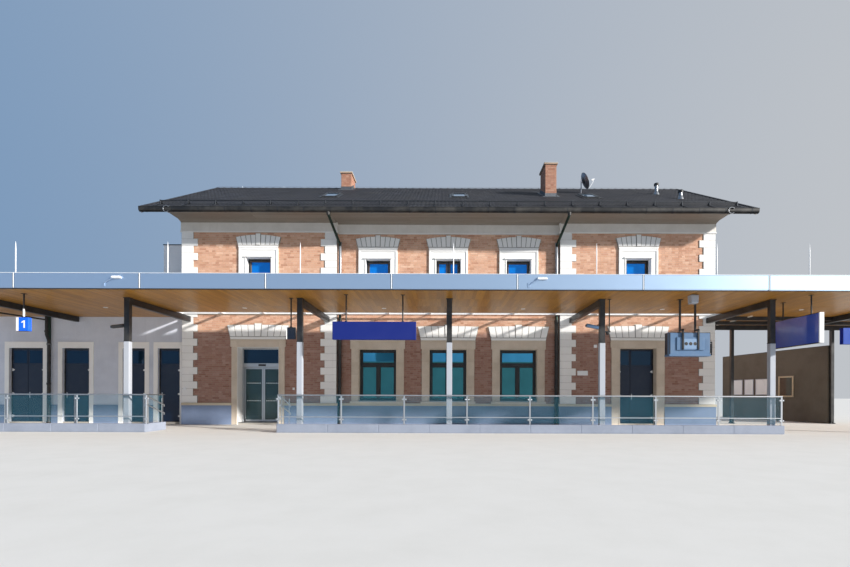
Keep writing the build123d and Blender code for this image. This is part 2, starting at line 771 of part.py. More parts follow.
def dish():
    """A shallow dish turned to the right, on a mast that stands on the tiles."""
    x = CENTRE + DISH_OFFSET
    level = roof_top(DISH_Y) + DISH_RISE
    mast = rod(x, DISH_Y, roof_under(DISH_Y), level, MAST_RADIUS, PIN_SIDES)
    mast -= below_tiles(x - DISH_ARM, x + DISH_ARM)
    turned = Pos(x + DISH_ARM, DISH_Y, level) * Rot(0, DISH_TILT, 0) * (bowl(-DISH_SHEET) - bowl(0))
    half = MAST_RADIUS / 2
    arm = block(x, x + DISH_ARM + DISH_SHEET / 2, DISH_Y - half, DISH_Y + half, level - half, level + half)
    return mast + arm + turned


def surround(width, sill, head, outer, bottom, top):
    """A flat stone band round an opening."""
    frame = block(-outer / 2, outer / 2, -SURROUND_PROJECTION, 0, bottom, top)
    return frame - block(-width / 2, width / 2, -SURROUND_PROJECTION - OVERCUT, OVERCUT, sill, head)


def window_sill(outer, low, high):
    """A sill that stands out in front of a surround, with a horn at each end."""
    half = outer / 2 + SILL_HORN
    return block(-half, half, -SILL_PROJECTION, 0, low, high)


def flat_arch(foot_width, top_width, bottom, top, rise):
    """A splayed flat arch with a crowned top and a raised keystone, over a plain fillet."""
    shares = [index / ARCH_STONES - 0.5 for index in range(ARCH_STONES + 1)]
    crown = [(share * top_width, top + rise * (1 - 4 * share ** 2)) for share in reversed(shares)]
    arch = along_y([(-foot_width / 2, bottom), (foot_width / 2, bottom), *crown], -ARCH_PROJECTION, 0)
    low = foot_width / ARCH_STONES / 2
    high = top_width / ARCH_STONES / 2
    start = bottom + ARCH_FILLET
    key_top = top + rise + KEYSTONE_RISE
    key = [(-low, start), (low, start), (high, key_top), (-high, key_top)]
    return arch + along_y(key, -ARCH_PROJECTION - KEYSTONE_PROJECTION, 0)


def surrounds():
    """Stone bands and flat arches of all openings of the main building."""
    lower = surround(LOWER_WIDTH, LOWER_SILL, LOWER_HEAD, LOWER_SURROUND_WIDTH, CAP_TOP, LOWER_SURROUND_TOP)
    lower += window_sill(LOWER_SURROUND_WIDTH, CAP_TOP, LOWER_SILL)
    pieces = [place * lower for place in LOWER_PLACES]
    door_pieces = []
    for sign, width in ((-1, ENTRANCE_WIDTH), (1, DOOR_WIDTH)):
        frame = surround(width, -OVERCUT, ENTRANCE_HEAD, LOWER_SURROUND_WIDTH, 0, LOWER_SURROUND_TOP)
        door_pieces.append(place_front(sign * END_AXIS) * frame)
    save("window_surrounds", pieces)
    save("door_surrounds", door_pieces)
    sill_foot = UPPER_SILL - SILL_HEIGHT
    upper = surround(UPPER_WIDTH, UPPER_SILL, UPPER_HEAD, UPPER_SURROUND_WIDTH, sill_foot, UPPER_SURROUND_TOP)
    upper += window_sill(UPPER_SURROUND_WIDTH, sill_foot, UPPER_SILL)
    save("upper_surrounds", [place * upper for place in UPPER_PLACES])
    low_arch = flat_arch(LOWER_ARCH_FOOT_WIDTH, LOWER_ARCH_TOP_WIDTH, LOWER_SURROUND_TOP, LOWER_ARCH_TOP,
                         LOWER_ARCH_RISE)
    high_arch = flat_arch(UPPER_ARCH_FOOT_WIDTH, UPPER_ARCH_TOP_WIDTH, UPPER_SURROUND_TOP, UPPER_ARCH_TOP,
                          UPPER_ARCH_RISE)
    doors = [place_front(-END_AXIS), place_front(END_AXIS)]
    arches = [place * low_arch for place in LOWER_PLACES + doors]
    save("flat_arches", arches, [place * high_arch for place in UPPER_PLACES])


def window(width, sill, head, reveal, transom, mullion):
    """A frame with its bars in front, and one sheet of glass behind them."""
    half = width / 2
    frame = block(-half, half, reveal, reveal + FRAME_DEPTH, sill, head)
    inner = half - FRAME_BAR
    low = sill + FRAME_BAR
    high = head - FRAME_BAR
    frame -= block(-inner, inner, reveal - OVERCUT, reveal + FRAME_DEPTH + OVERCUT, low, high)
    bar = FRAME_BAR / 2
    back = reveal + FRAME_DEPTH - GLASS_THICKNESS - GLASS_INSET
    if transom:
        frame += block(-inner, inner, reveal, back, transom - bar, transom + bar)
    if mullion:
        frame += block(-bar, bar, reveal, back, low, transom or high)
    return frame, block(-inner, inner, back, back + GLASS_THICKNESS, low, high)


def windows():
    """Frames and glass of both storeys. Only the middle upper window has a mullion."""
    frame, glass = window(LOWER_WIDTH, LOWER_SILL, LOWER_HEAD, LOWER_REVEAL, LOWER_TRANSOM, True)
    frames = [place * frame for place in LOWER_PLACES]
    panes = [place * glass for place in LOWER_PLACES]
    middle = ALL_AXES.index(0)
    for number, place in enumerate(UPPER_PLACES):
        frame, glass = window(UPPER_WIDTH, UPPER_SILL, UPPER_HEAD, UPPER_REVEAL, None, number == middle)
        frames.append(place * frame)
        panes.append(place * glass)
    save("window_frames", frames)
    save("window_glass", panes, entrance_pane())


def entrance_header():
    """The hollow header box over the leaves, with a slot along its underside."""
    y0 = FRONT + WALL_THICKNESS
    y1 = y0 + HEADER_DEPTH
    middle = y0 + LEAF_WALL_GAP + LEAF_THICKNESS / 2
    half_slot = HEADER_SLOT / 2
    sheet = HEADER_SHEET
    outline = [
        (y0, HEADER_BOTTOM), (middle - half_slot, HEADER_BOTTOM), (middle - half_slot, HEADER_BOTTOM + sheet),
        (y0 + sheet, HEADER_BOTTOM + sheet), (y0 + sheet, HEADER_TOP - sheet),
        (y1 - sheet, HEADER_TOP - sheet), (y1 - sheet, HEADER_BOTTOM + sheet),
        (middle + half_slot, HEADER_BOTTOM + sheet), (middle + half_slot, HEADER_BOTTOM), (y1, HEADER_BOTTOM),
        (y1, HEADER_TOP), (y0, HEADER_TOP),
    ]
    reach = ENTRANCE_WIDTH / 2 + LEAF_TRAVEL + LEAF_LAP + LEAF_STILE
    return along_x(outline, -END_AXIS - reach, -END_AXIS + reach)


def entrance():
    """Frame, fixed glass over the header and two hanging leaves that slide apart."""
    axis = -END_AXIS
    half = ENTRANCE_WIDTH / 2
    y1 = FRONT + WALL_THICKNESS
    y0 = y1 - ENTRANCE_FRAME_DEPTH
    bar = ENTRANCE_FRAME
    frame = block(axis - half, axis + half, y0, y1, FLOOR, ENTRANCE_HEAD)
    frame -= block(axis - half + bar, axis + half - bar, y0 - OVERCUT, y1 + OVERCUT, HEADER_TOP,
                   ENTRANCE_HEAD - bar)
    frame -= block(axis - half + bar, axis + half - bar, y0 - OVERCUT, y1 + OVERCUT, FLOOR - OVERCUT,
                   HEADER_BOTTOM)
    save("entrance_frame", frame + entrance_header())
    leaf, glass = sliding_leaf()
    save("entrance_leaf_right", Pos(axis, 0, 0) * leaf)
    save("entrance_glass_right", Pos(axis, 0, 0) * glass)
    save("entrance_leaf_left", Pos(axis, 0, 0) * mirror(leaf, Plane.YZ))
    save("entrance_glass_left", Pos(axis, 0, 0) * mirror(glass, Plane.YZ))


def entrance_pane():
    """The fixed glass over the header."""
    half = ENTRANCE_WIDTH / 2 - ENTRANCE_FRAME
    middle = FRONT + WALL_THICKNESS - ENTRANCE_FRAME_DEPTH / 2
    thin = GLASS_THICKNESS / 2
    return block(-END_AXIS - half, -END_AXIS + half, middle - thin, middle + thin, HEADER_TOP,
                 ENTRANCE_HEAD - ENTRANCE_FRAME)


def sliding_leaf():
    """The right leaf about the entrance axis: a glazed frame with two hangers."""
    x0 = LEAF_MEETING_GAP / 2
    x1 = ENTRANCE_WIDTH / 2 - ENTRANCE_FRAME + LEAF_LAP
    y0 = FRONT + WALL_THICKNESS + LEAF_WALL_GAP
    y1 = y0 + LEAF_THICKNESS
    z0 = FLOOR + LEAF_FLOOR_GAP
    z1 = HEADER_BOTTOM - LEAF_TOP_GAP
    stile = LEAF_STILE
    leaf = block(x0, x1, y0, y1, z0, z1)
    leaf -= block(x0 + stile, x1 - stile, y0 - OVERCUT, y1 + OVERCUT, z0 + stile, z1 - stile)
    middle = (y0 + y1) / 2
    seat = HEADER_BOTTOM + HEADER_SHEET + HANGER_SEAT
    for x in (x0 + stile * 2, x1 - stile * 2):
        half = HANGER_WIDTH / 2
        stem = HANGER_STEM / 2
        leaf += block(x - half, x + half, middle - stem, middle + stem, z1 - OVERCUT, seat + OVERCUT)
        wide = HANGER_BAR / 2
        leaf += block(x - half, x + half, middle - wide, middle + wide, seat, seat + HANGER_BAR_HEIGHT)
    glass = block(x0 + stile, x1 - stile, middle - GLASS_THICKNESS / 2, middle + GLASS_THICKNESS / 2,
                  z0 + stile, z1 - stile)
    return leaf, glass


def door_frame(x0, x1, y, head, hinges):
    """A frame on three sides with stops behind the leaf and the fixed halves of the hinges."""
    bar = DOOR_FRAME
    lap = bar + DOOR_GAP + DOOR_STOP_LAP
    y1 = y + DOOR_FRAME_DEPTH
    stop = y + DOOR_THICKNESS + DOOR_STOP_GAP
    frame = block(x0, x1, y, y1, FLOOR, head)
    frame -= block(x0 + bar, x1 - bar, y - OVERCUT, stop, FLOOR - OVERCUT, head - bar)
    frame -= block(x0 + lap, x1 - lap, y - OVERCUT, y1 + OVERCUT, FLOOR - OVERCUT, head - lap)
    for side in hinges:
        edge = x0 + bar if side < 0 else x1 - bar
        for level in HINGE_LEVELS:
            frame += hinge_half(edge, side, -side, bar / 2, y, level - HINGE_SEAT / 2 - HINGE_HEIGHT / 2)
    return frame


def hinge_half(edge, side, hinge_side, reach, y, low):
    """Half of a hinge: a pin in front of the door gap, an arm beside it and a strap back to the face."""
    high = low + HINGE_HEIGHT / 2
    pivot = edge + hinge_side * DOOR_GAP / 2
    far = edge + side * reach
    near = edge + side * HINGE_ARM
    front = y - HINGE_OFFSET - HINGE_ARM / 2
    half = rod(pivot, y - HINGE_OFFSET, low, high, HINGE_RADIUS, PIN_SIDES)
    half += block(min(pivot, far), max(pivot, far), front, front + HINGE_ARM, low, high)
    return half + block(min(near, far), max(near, far), front, y + OVERCUT, low, high)


def door_leaf(x0, x1, y, head, hinge):
    """A flush leaf with a recessed glazed panel on top and the moving halves of its hinges."""
    y1 = y + DOOR_THICKNESS
    z1 = head - DOOR_FRAME - DOOR_GAP
    leaf = block(x0, x1, y, y1, FLOOR + DOOR_FLOOR_GAP, z1)
    margin = DOOR_PANE_MARGIN
    for start, end in ((y - OVERCUT, y + DOOR_PANE_INSET), (y1 - DOOR_PANE_INSET, y1 + OVERCUT)):
        leaf -= block(x0 + margin, x1 - margin, start, end, DOOR_PANE_BOTTOM, z1 - margin)
    edge = x0 if hinge < 0 else x1
    for level in HINGE_LEVELS:
        leaf += hinge_half(edge, -hinge, hinge, HINGE_STRAP, y, level + HINGE_SEAT / 2)
    return leaf


def doors():
    """The service door and the wing doors, which all open outwards."""
    frames = []
    y = FRONT + DOOR_REVEAL
    x0 = END_AXIS - DOOR_WIDTH / 2
    x1 = END_AXIS + DOOR_WIDTH / 2
    inset = DOOR_FRAME + DOOR_GAP
    frames.append(door_frame(x0, x1, y, DOOR_HEAD, (-1, 1)))
    split = x0 + inset + NARROW_LEAF
    save("service_door_narrow", door_leaf(x0 + inset, split, y, DOOR_HEAD, -1))
    save("service_door_wide", door_leaf(split + DOOR_MEETING_GAP, x1 - inset, y, DOOR_HEAD, 1))
    y = WING_FRONT + WING_DOOR_REVEAL
    for number, (left, right, leaves) in enumerate(WING_OPENINGS, start=1):
        start = left + inset
        end = right - inset
        if leaves == 2:
            middle = (start + end) / 2
            gap = DOOR_MEETING_GAP / 2
            frames.append(door_frame(left, right, y, WING_DOOR_HEAD, (-1, 1)))
            save(f"wing_door_{number}_left", door_leaf(start, middle - gap, y, WING_DOOR_HEAD, -1))
            save(f"wing_door_{number}_right", door_leaf(middle + gap, end, y, WING_DOOR_HEAD, 1))
        else:
            frames.append(door_frame(left, right, y, WING_DOOR_HEAD, (1,)))
            save(f"wing_door_{number}", door_leaf(start, end, y, WING_DOOR_HEAD, 1))
    save("door_frames", frames)


def wing():
    """Walls, roof and door surrounds of the one-storey wing."""
    inner = WING_FRONT + WING_WALL
    edges = [CANOPY_LEFT]
    for left, right, leaves in WING_OPENINGS:
        edges += [left, right]
    edges.append(-SIDE)
    piers = []
    for index in range(0, len(edges), 2):
        piers.append(block(edges[index], edges[index + 1], WING_FRONT, inner, 0, WING_DOOR_HEAD))
    save("wing_piers", piers)
    save("wing_wall_over_doors", block(CANOPY_LEFT, -SIDE, WING_FRONT, inner, WING_DOOR_HEAD, CEILING_LEVEL))
    outer = block(CANOPY_LEFT, -SIDE, inner, WING_REAR, 0, CEILING_LEVEL)
    room = block(CANOPY_LEFT + WING_WALL, -SIDE + OVERCUT, inner - OVERCUT, WING_REAR - WING_WALL, -OVERCUT,
                 CEILING_LEVEL + OVERCUT)
    save("wing_outer_walls", outer - room)
    save("wing_roof", block(CANOPY_LEFT, -SIDE, WING_FRONT, WING_REAR, CEILING_LEVEL, DECK_TOP))
    bands = []
    for left, right, leaves in WING_OPENINGS:
        edge = min(WING_SURROUND_BAND, -SIDE - QUOIN_PROJECTION - BOARD_JOINT - right)
        outer = block(left - WING_SURROUND_BAND, right + edge, WING_FRONT - WING_SURROUND_PROJECTION,
                      WING_FRONT, 0, WING_SURROUND_TOP)
        hole = block(left, right, WING_FRONT - WING_SURROUND_PROJECTION - OVERCUT, WING_FRONT + OVERCUT,
                     -OVERCUT, WING_DOOR_HEAD)
        bands.append(outer - hole)
    save("wing_surrounds", bands)


def annex():
    """A small upper storey on the wing roof, open towards the gable wall."""
    x0 = -SIDE - ANNEX_WIDTH
    y0 = FRONT + ANNEX_SETBACK
    y1 = y0 + ANNEX_DEPTH
    wall = ANNEX_WALL
    shell = block(x0, -SIDE, y0, y1, DECK_TOP, ANNEX_TOP)
    shell -= block(x0 + wall, -SIDE + OVERCUT, y0 + wall, y1 - wall, DECK_TOP - OVERCUT, ANNEX_TOP - wall)
    save("side_annex", shell)


def canopy_outline():
    """Plan of the canopy: up to the wing, short of the building, and back over the open hall."""
    return [
        (CANOPY_LEFT, DECK_FRONT), (CANOPY_RIGHT, DECK_FRONT), (CANOPY_RIGHT, HALL_BACK),
        (HALL_LEFT, HALL_BACK), (HALL_LEFT, STRIP_FRONT), (-SIDE, STRIP_FRONT),
        (-SIDE, WING_FRONT), (CANOPY_LEFT, WING_FRONT),
    ]


def canopy():
    """Ceiling, roof deck, fascia panels and the glazed strip beside the building."""
    top = CEILING_LEVEL + CEILING_THICKNESS
    save("canopy_ceiling", upright(canopy_outline(), CEILING_LEVEL, top))
    save("canopy_deck", upright(canopy_outline(), top, DECK_TOP))
    gap = PANEL_JOINT / 2
    joints = [CANOPY_LEFT + (index + 0.5) * PANEL_LENGTH for index in range(PANEL_COUNT)]
    joints = [CANOPY_LEFT, *joints, CANOPY_RIGHT]
    panels = []
    for left, right in zip(joints, joints[1:]):
        panels.append(block(left + gap, right - gap, FASCIA_FACE, DECK_FRONT, FASCIA_BOTTOM, FASCIA_TOP))
    thickness = FASCIA_THICKNESS
    panels.append(block(CANOPY_LEFT - thickness, CANOPY_LEFT, FASCIA_FACE, WING_FRONT, FASCIA_BOTTOM,
                        FASCIA_TOP))
    panels.append(block(CANOPY_RIGHT, CANOPY_RIGHT + thickness, FASCIA_FACE, HALL_BACK, FASCIA_BOTTOM,
                        FASCIA_TOP))
    panels.append(block(HALL_LEFT, CANOPY_RIGHT - gap, HALL_BACK, HALL_BACK + thickness, FASCIA_BOTTOM,
                        FASCIA_TOP))
    save("canopy_fascia", panels)
    glazed_strip()


def glazed_strip():
    """The edge beam, the bars and the glass between the ceiling and the facade."""
    bar_top = CEILING_LEVEL + EDGE_BEAM
    back = FRONT - QUOIN_PROJECTION
    y0 = STRIP_FRONT
    steel = block(-SIDE, HALL_LEFT, y0, y0 + EDGE_BEAM, CEILING_LEVEL, bar_top)
    steel += block(-SIDE, HALL_LEFT, back - WALL_BAR, back, bar_top - GLAZING_BAR_DEPTH, bar_top)
    bays = round((HALL_LEFT + SIDE) / GLAZING_BAR_PITCH)
    pitch = (HALL_LEFT + SIDE - GLAZING_BAR_WIDTH) / bays
    for index in range(bays + 1):
        x = -SIDE + index * pitch
        steel += block(x, x + GLAZING_BAR_WIDTH, y0, back, bar_top - GLAZING_BAR_DEPTH, bar_top)
    save("glazing_bars", steel)
    save("canopy_glass", block(-SIDE, HALL_LEFT, y0, back, bar_top, bar_top + ROOF_GLASS))


def posts_and_beams():
    """Steel posts along the platform and the beams that run back from them."""
    posts = []
    for x in POST_PLACES:
        post = block(x - POST_WIDTH / 2, x + POST_WIDTH / 2, POST_LINE - POST_DEPTH / 2,
                     POST_LINE + POST_DEPTH / 2, 0, CEILING_LEVEL)
        foot = POST_FOOT / 2
        post += block(x - foot, x + foot, KERB_REAR, POST_LINE + foot, 0, POST_FOOT_THICKNESS)
        posts.append(post)
    half = HALL_POST / 2
    y1 = HALL_BACK - FASCIA_THICKNESS
    for offset in HALL_REAR_POSTS:
        x = SIDE + offset
        posts.append(block(x - half, x + half, y1 - HALL_POST, y1, 0, CEILING_LEVEL - BEAM_DEPTH))
    save("canopy_posts", posts)
    beams = []
    start = POST_LINE + POST_DEPTH / 2
    low = CEILING_LEVEL - BEAM_DEPTH
    for x in POST_PLACES:
        if x < -SIDE:
            end = WING_FRONT
        elif x > SIDE:
            end = y1 - HALL_POST
        elif abs(x) < CENTRE:
            end = FRONT + RECESS
        else:
            end = FRONT - QUOIN_PROJECTION
        beams.append(block(x - BEAM_WIDTH / 2, x + BEAM_WIDTH / 2, start, end, low, CEILING_LEVEL))
    beams.append(block(HALL_LEFT, CANOPY_RIGHT, y1 - HALL_POST, y1, low, CEILING_LEVEL))
    save("canopy_beams", beams)


def hung_board(origin, sizes, y, thickness, rod_places):
    """A board across the view with thin rods up to the ceiling."""
    left, right, low, high = sizes
    board = block(origin + left, origin + right, y - thickness / 2, y + thickness / 2, low, high)
    for x in rod_places:
        board += rod(origin + x, y, high - OVERCUT, CEILING_LEVEL, ROD, PIN_SIDES)
    return board


def signs():
    """Blank boards and the display cabinet, all hung from the ceiling."""
    y = FASCIA_FACE + SIGN_SETBACK
    blue = []
    for origin, sizes in ((0, NAME_SIGN), (SIDE, SIDE_SIGN)):
        rods = (sizes[0] + ROD_INSET, sizes[1] - ROD_INSET)
        blue.append(hung_board(origin, sizes, y, SIGN_THICKNESS, rods))
    middle = (NUMBER_SIGN[0] + NUMBER_SIGN[1]) / 2
    blue.append(hung_board(-SIDE, NUMBER_SIGN, y, SIGN_THICKNESS, (middle,)))
    save("blue_signs", blue)
    rods = (CABINET[0] + ROD_INSET, CABINET[1] - ROD_INSET)
    dark = [hung_board(END_AXIS, CABINET, POST_LINE, CABINET_THICKNESS, rods)]
    middle = (FLAG_SIGN[0] + FLAG_SIGN[1]) / 2
    dark.append(hung_board(-CENTRE, FLAG_SIGN, POST_LINE, BOARD_THICKNESS, (middle,)))
    front, back, low, high = CROSS_PANEL
    x = SIDE + CROSS_PANEL_OFFSET
    half = CROSS_PANEL_THICKNESS / 2
    panel = block(x - half, x + half, FASCIA_FACE + front, FASCIA_FACE + back, low, high)
    for setback in (front + ROD_INSET, back - ROD_INSET):
        panel += rod(x, FASCIA_FACE + setback, high - OVERCUT, CEILING_LEVEL, ROD, PIN_SIDES)
    dark.append(panel)
    left, right, low, high = WALL_BOARD
    wall = FRONT - QUOIN_PROJECTION
    dark.append(block(SIDE + left, SIDE + right, wall - BOARD_THICKNESS, wall, low, high))
    save("boards", dark)


def railing(start, end):
    """Balusters under a top rail, and the glass panes between them."""
    half = RAIL_WIDTH / 2
    steel = block(start, end, KERB_LINE - half, KERB_LINE + half, RAIL_TOP - RAIL_HEIGHT, RAIL_TOP)
    count = round((end - start) / BALUSTER_PITCH)
    pitch = (end - start - BALUSTER_WIDTH) / count
    panes = []
    deep = BALUSTER_DEPTH / 2
    thin = PANE_THICKNESS / 2
    for index in range(count + 1):
        x = start + index * pitch
        steel += block(x, x + BALUSTER_WIDTH, KERB_LINE - deep, KERB_LINE + deep, KERB_HEIGHT,
                       RAIL_TOP - RAIL_HEIGHT)
        if index < count:
            panes.append(block(x + BALUSTER_WIDTH, x + pitch, KERB_LINE - thin, KERB_LINE + thin,
                               PANE_BOTTOM, RAIL_TOP - RAIL_HEIGHT))
    return steel, panes


def balustrade():
    """Concrete kerbs with glazed railings, open in front of the entrance."""
    y0 = KERB_REAR - KERB_WIDTH
    left = block(CANOPY_LEFT, LEFT_KERB_END, y0, KERB_REAR, 0, KERB_HEIGHT)
    x0 = LEFT_KERB_END - KERB_WIDTH
    left += block(x0, LEFT_KERB_END, y0, KERB_REAR + RETURN_LENGTH, 0, KERB_HEIGHT)
    right = block(RIGHT_KERB_START, RIGHT_KERB_END, y0, KERB_REAR, 0, KERB_HEIGHT)
    save("balustrade_kerbs", left, right)
    middle = LEFT_KERB_END - KERB_WIDTH / 2
    left_steel, left_panes = railing(CANOPY_LEFT, middle + RAIL_WIDTH / 2)
    right_steel, right_panes = railing(RIGHT_KERB_START, RIGHT_KERB_END)
    half = RAIL_WIDTH / 2
    end = KERB_REAR + RETURN_LENGTH
    left_steel += block(middle - half, middle + half, KERB_LINE, end, RAIL_TOP - RAIL_HEIGHT, RAIL_TOP)
    left_steel += block(middle - BALUSTER_DEPTH / 2, middle + BALUSTER_DEPTH / 2, end - BALUSTER_WIDTH, end,
                        KERB_HEIGHT, RAIL_TOP - RAIL_HEIGHT)
    thin = PANE_THICKNESS / 2
    pane = block(middle - thin, middle + thin, KERB_LINE + BALUSTER_DEPTH / 2, end - BALUSTER_WIDTH,
                 PANE_BOTTOM, RAIL_TOP - RAIL_HEIGHT)
    save("balustrade_rails", left_steel, right_steel)
    save("balustrade_glass", left_panes, right_panes, pane)


def passage_wall():
    """The long wall that runs back at an angle beside the open hall."""
    x0 = SIDE + PASSAGE_OFFSETS[0]
    x1 = SIDE + PASSAGE_OFFSETS[1]
    y0 = HALL_BACK - FASCIA_THICKNESS
    y1 = -FRONT - PASSAGE_SETBACK
    t = PASSAGE_THICKNESS
    save("passage_wall", upright([(x0, y0), (x0 + t, y0), (x1 + t, y1), (x1, y1)], 0, PASSAGE_HEIGHT))


front_walls()
rear_wall()
gable_walls()
floors()
plinths()
quoins()
frieze()
eaves()
roof()
gutters()
downpipes()
snow_guards()
chimneys()
roof_fittings()
surrounds()
windows()
entrance()
doors()
wing()
annex()
canopy()
posts_and_beams()
signs()
balustrade()
passage_wall()
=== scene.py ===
import json
import logging
import math
import random
from collections.abc import Iterable, Sequence
from dataclasses import dataclass, field
from enum import Enum

import bmesh
import bpy
from mathutils import Matrix, Vector
from mathutils.bvhtree import BVHTree


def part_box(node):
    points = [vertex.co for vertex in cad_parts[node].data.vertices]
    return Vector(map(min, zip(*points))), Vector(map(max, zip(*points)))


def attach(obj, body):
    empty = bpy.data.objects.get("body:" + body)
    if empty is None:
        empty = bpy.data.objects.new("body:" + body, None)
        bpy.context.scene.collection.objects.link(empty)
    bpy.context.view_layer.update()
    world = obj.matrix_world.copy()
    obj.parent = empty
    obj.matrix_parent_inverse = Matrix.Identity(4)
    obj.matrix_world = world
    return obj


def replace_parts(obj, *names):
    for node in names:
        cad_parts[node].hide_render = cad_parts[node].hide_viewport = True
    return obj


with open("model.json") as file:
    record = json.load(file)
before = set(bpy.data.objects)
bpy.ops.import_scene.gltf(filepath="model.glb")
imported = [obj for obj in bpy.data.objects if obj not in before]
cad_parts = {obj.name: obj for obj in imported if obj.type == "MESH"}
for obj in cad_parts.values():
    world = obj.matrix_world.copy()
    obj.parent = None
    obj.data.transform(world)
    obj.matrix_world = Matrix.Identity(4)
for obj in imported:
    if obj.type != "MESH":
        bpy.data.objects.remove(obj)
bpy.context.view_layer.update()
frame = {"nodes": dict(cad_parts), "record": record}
log = logging.getLogger("station")

Point = Sequence[float]
MM = 0.001


def linear(code: str) -> tuple[float, float, float, float]:
    """Turns an sRGB hex colour into linear RGBA.

    Args:
        code: the colour as "#RRGGBB".

    Returns:
        The linear colour with full alpha.
    """
    shares = [int(code[index:index + 2], 16) / 255 for index in (1, 3, 5)]
    red, green, blue = [s / 12.92 if s <= 0.04045 else ((s + 0.055) / 1.055) ** 2.4 for s in shares]
    return red, green, blue, 1.0


def add_node(tree: bpy.types.NodeTree, kind: str, inputs: dict | None = None,
             **settings: object) -> bpy.types.Node:
    """Adds a node, sets its properties, then fills or links its inputs.

    Args:
        tree: the node tree.
        kind: the node's type name.
        inputs: values or sockets by the input's name or index.
        settings: properties of the node itself.

    Returns:
        The new node.
    """
    node = tree.nodes.new(kind)
    for name, value in settings.items():
        setattr(node, name, value)
    for key, value in (inputs or {}).items():
        if isinstance(value, bpy.types.NodeSocket):
            tree.links.new(value, node.inputs[key])
        else:
            node.inputs[key].default_value = value
    return node


def at(x: float, y: float, z: float) -> Matrix:
    """Moves a piece to a place."""
    return Matrix.Translation((x, y, z))


def spin(angle: float, axis: str) -> Matrix:
    """Turns a piece about one of the axes."""
    return Matrix.Rotation(angle, 4, axis)


def spread(start: float, end: float, count: int) -> list[float]:
    """Lists evenly spaced positions, both ends among them."""
    return [start + number * (end - start) / (count - 1) for number in range(count)]


def put(name: str, data: bpy.types.ID) -> bpy.types.Object:
    """Makes an object and links it to the scene.

    Args:
        name: the name of the object.
        data: its mesh, lamp or camera.

    Returns:
        The object.
    """
    thing = bpy.data.objects.new(name, data)
    bpy.context.scene.collection.objects.link(thing)
    return thing


def turn_outwards(mesh: bpy.types.Mesh) -> None:
    """Turns every face of a closed mesh outwards.

    Args:
        mesh: a closed mesh.
    """
    shell = bmesh.new()
    shell.from_mesh(mesh)
    bmesh.ops.recalc_face_normals(shell, faces=shell.faces)
    shell.to_mesh(mesh)
    shell.free()


def bevelled_block(low: Point, high: Point, bevel: float) -> tuple[list[Vector], list[tuple[int, ...]]]:
    """Works out a block whose twelve edges are cut by a small bevel.

    Args:
        low: the lowest corner.
        high: the highest corner.
        bevel: how far each edge is cut back; 0 gives a plain block.

    Returns:
        Its vertices and faces.
    """
    corners = [(i, j, k) for i in (0, 1) for j in (0, 1) for k in (0, 1)]
    if bevel <= 0:
        verts = [Vector([(low, high)[side][axis] for axis, side in enumerate(corner)]) for corner in corners]
        return verts, [(0, 1, 3, 2), (4, 6, 7, 5), (0, 4, 5, 1), (2, 3, 7, 6), (0, 2, 6, 4), (1, 5, 7, 3)]
    verts = []
    index = {}
    for corner in corners:
        for flat in range(3):
            place = [(low, high)[side][axis] for axis, side in enumerate(corner)]
            for axis, side in enumerate(corner):
                if axis != flat:
                    place[axis] += -bevel if side else bevel
            index[corner, flat] = len(verts)
            verts.append(Vector(place))
    faces = []
    for axis in range(3):
        first, second = (axis + 1) % 3, (axis + 2) % 3
        for side in (0, 1):
            ring = []
            for a, b in ((0, 0), (1, 0), (1, 1), (0, 1)):
                corner = [0, 0, 0]
                corner[axis], corner[first], corner[second] = side, a, b
                ring.append(index[tuple(corner), axis])
            faces.append(tuple(ring))
        for a in (0, 1):
            for b in (0, 1):
                start, end = [0, 0, 0], [0, 0, 0]
                start[first], start[second] = a, b
                end[first], end[second] = a, b
                end[axis] = 1
                start, end = tuple(start), tuple(end)
                faces.append((index[start, first], index[end, first], index[end, second],
                              index[start, second]))
    faces += [tuple(index[corner, flat] for flat in range(3)) for corner in corners]
    return verts, faces


def settle(piece: bpy.types.Object, finish: "Finish", body: str) -> bpy.types.Object:
    """Gives a finished piece its material and its body.

    Args:
        piece: the piece, in its place.
        finish: what it is made of.
        body: the CAD body that carries it.

    Returns:
        The same piece.
    """
    piece.data.materials.clear()
    piece.data.materials.append(finish.material())
    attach(piece, body)
    log.info("%s: %d faces on %s", piece.name, len(piece.data.polygons), body)
    return piece


def inset(outline: Sequence[Point], distance: float) -> list[Point]:
    """Moves every edge of a convex outline inwards.

    Args:
        outline: its points in order.
        distance: how far the edges move.

    Returns:
        The smaller outline.
    """
    points = [Vector(point) for point in outline]
    area = sum(a.x * b.y - b.x * a.y for a, b in zip(points, points[1:] + points[:1]))
    sign = math.copysign(1, area)
    moved = []
    for number, point in enumerate(points):
        before = (point - points[number - 1]).normalized()
        after = (points[(number + 1) % len(points)] - point).normalized()
        first, second = Vector((-before.y, before.x)), Vector((-after.y, after.x))
        moved.append((point + sign * distance * (first + second) / (1 + first.dot(second)))[:])
    return moved


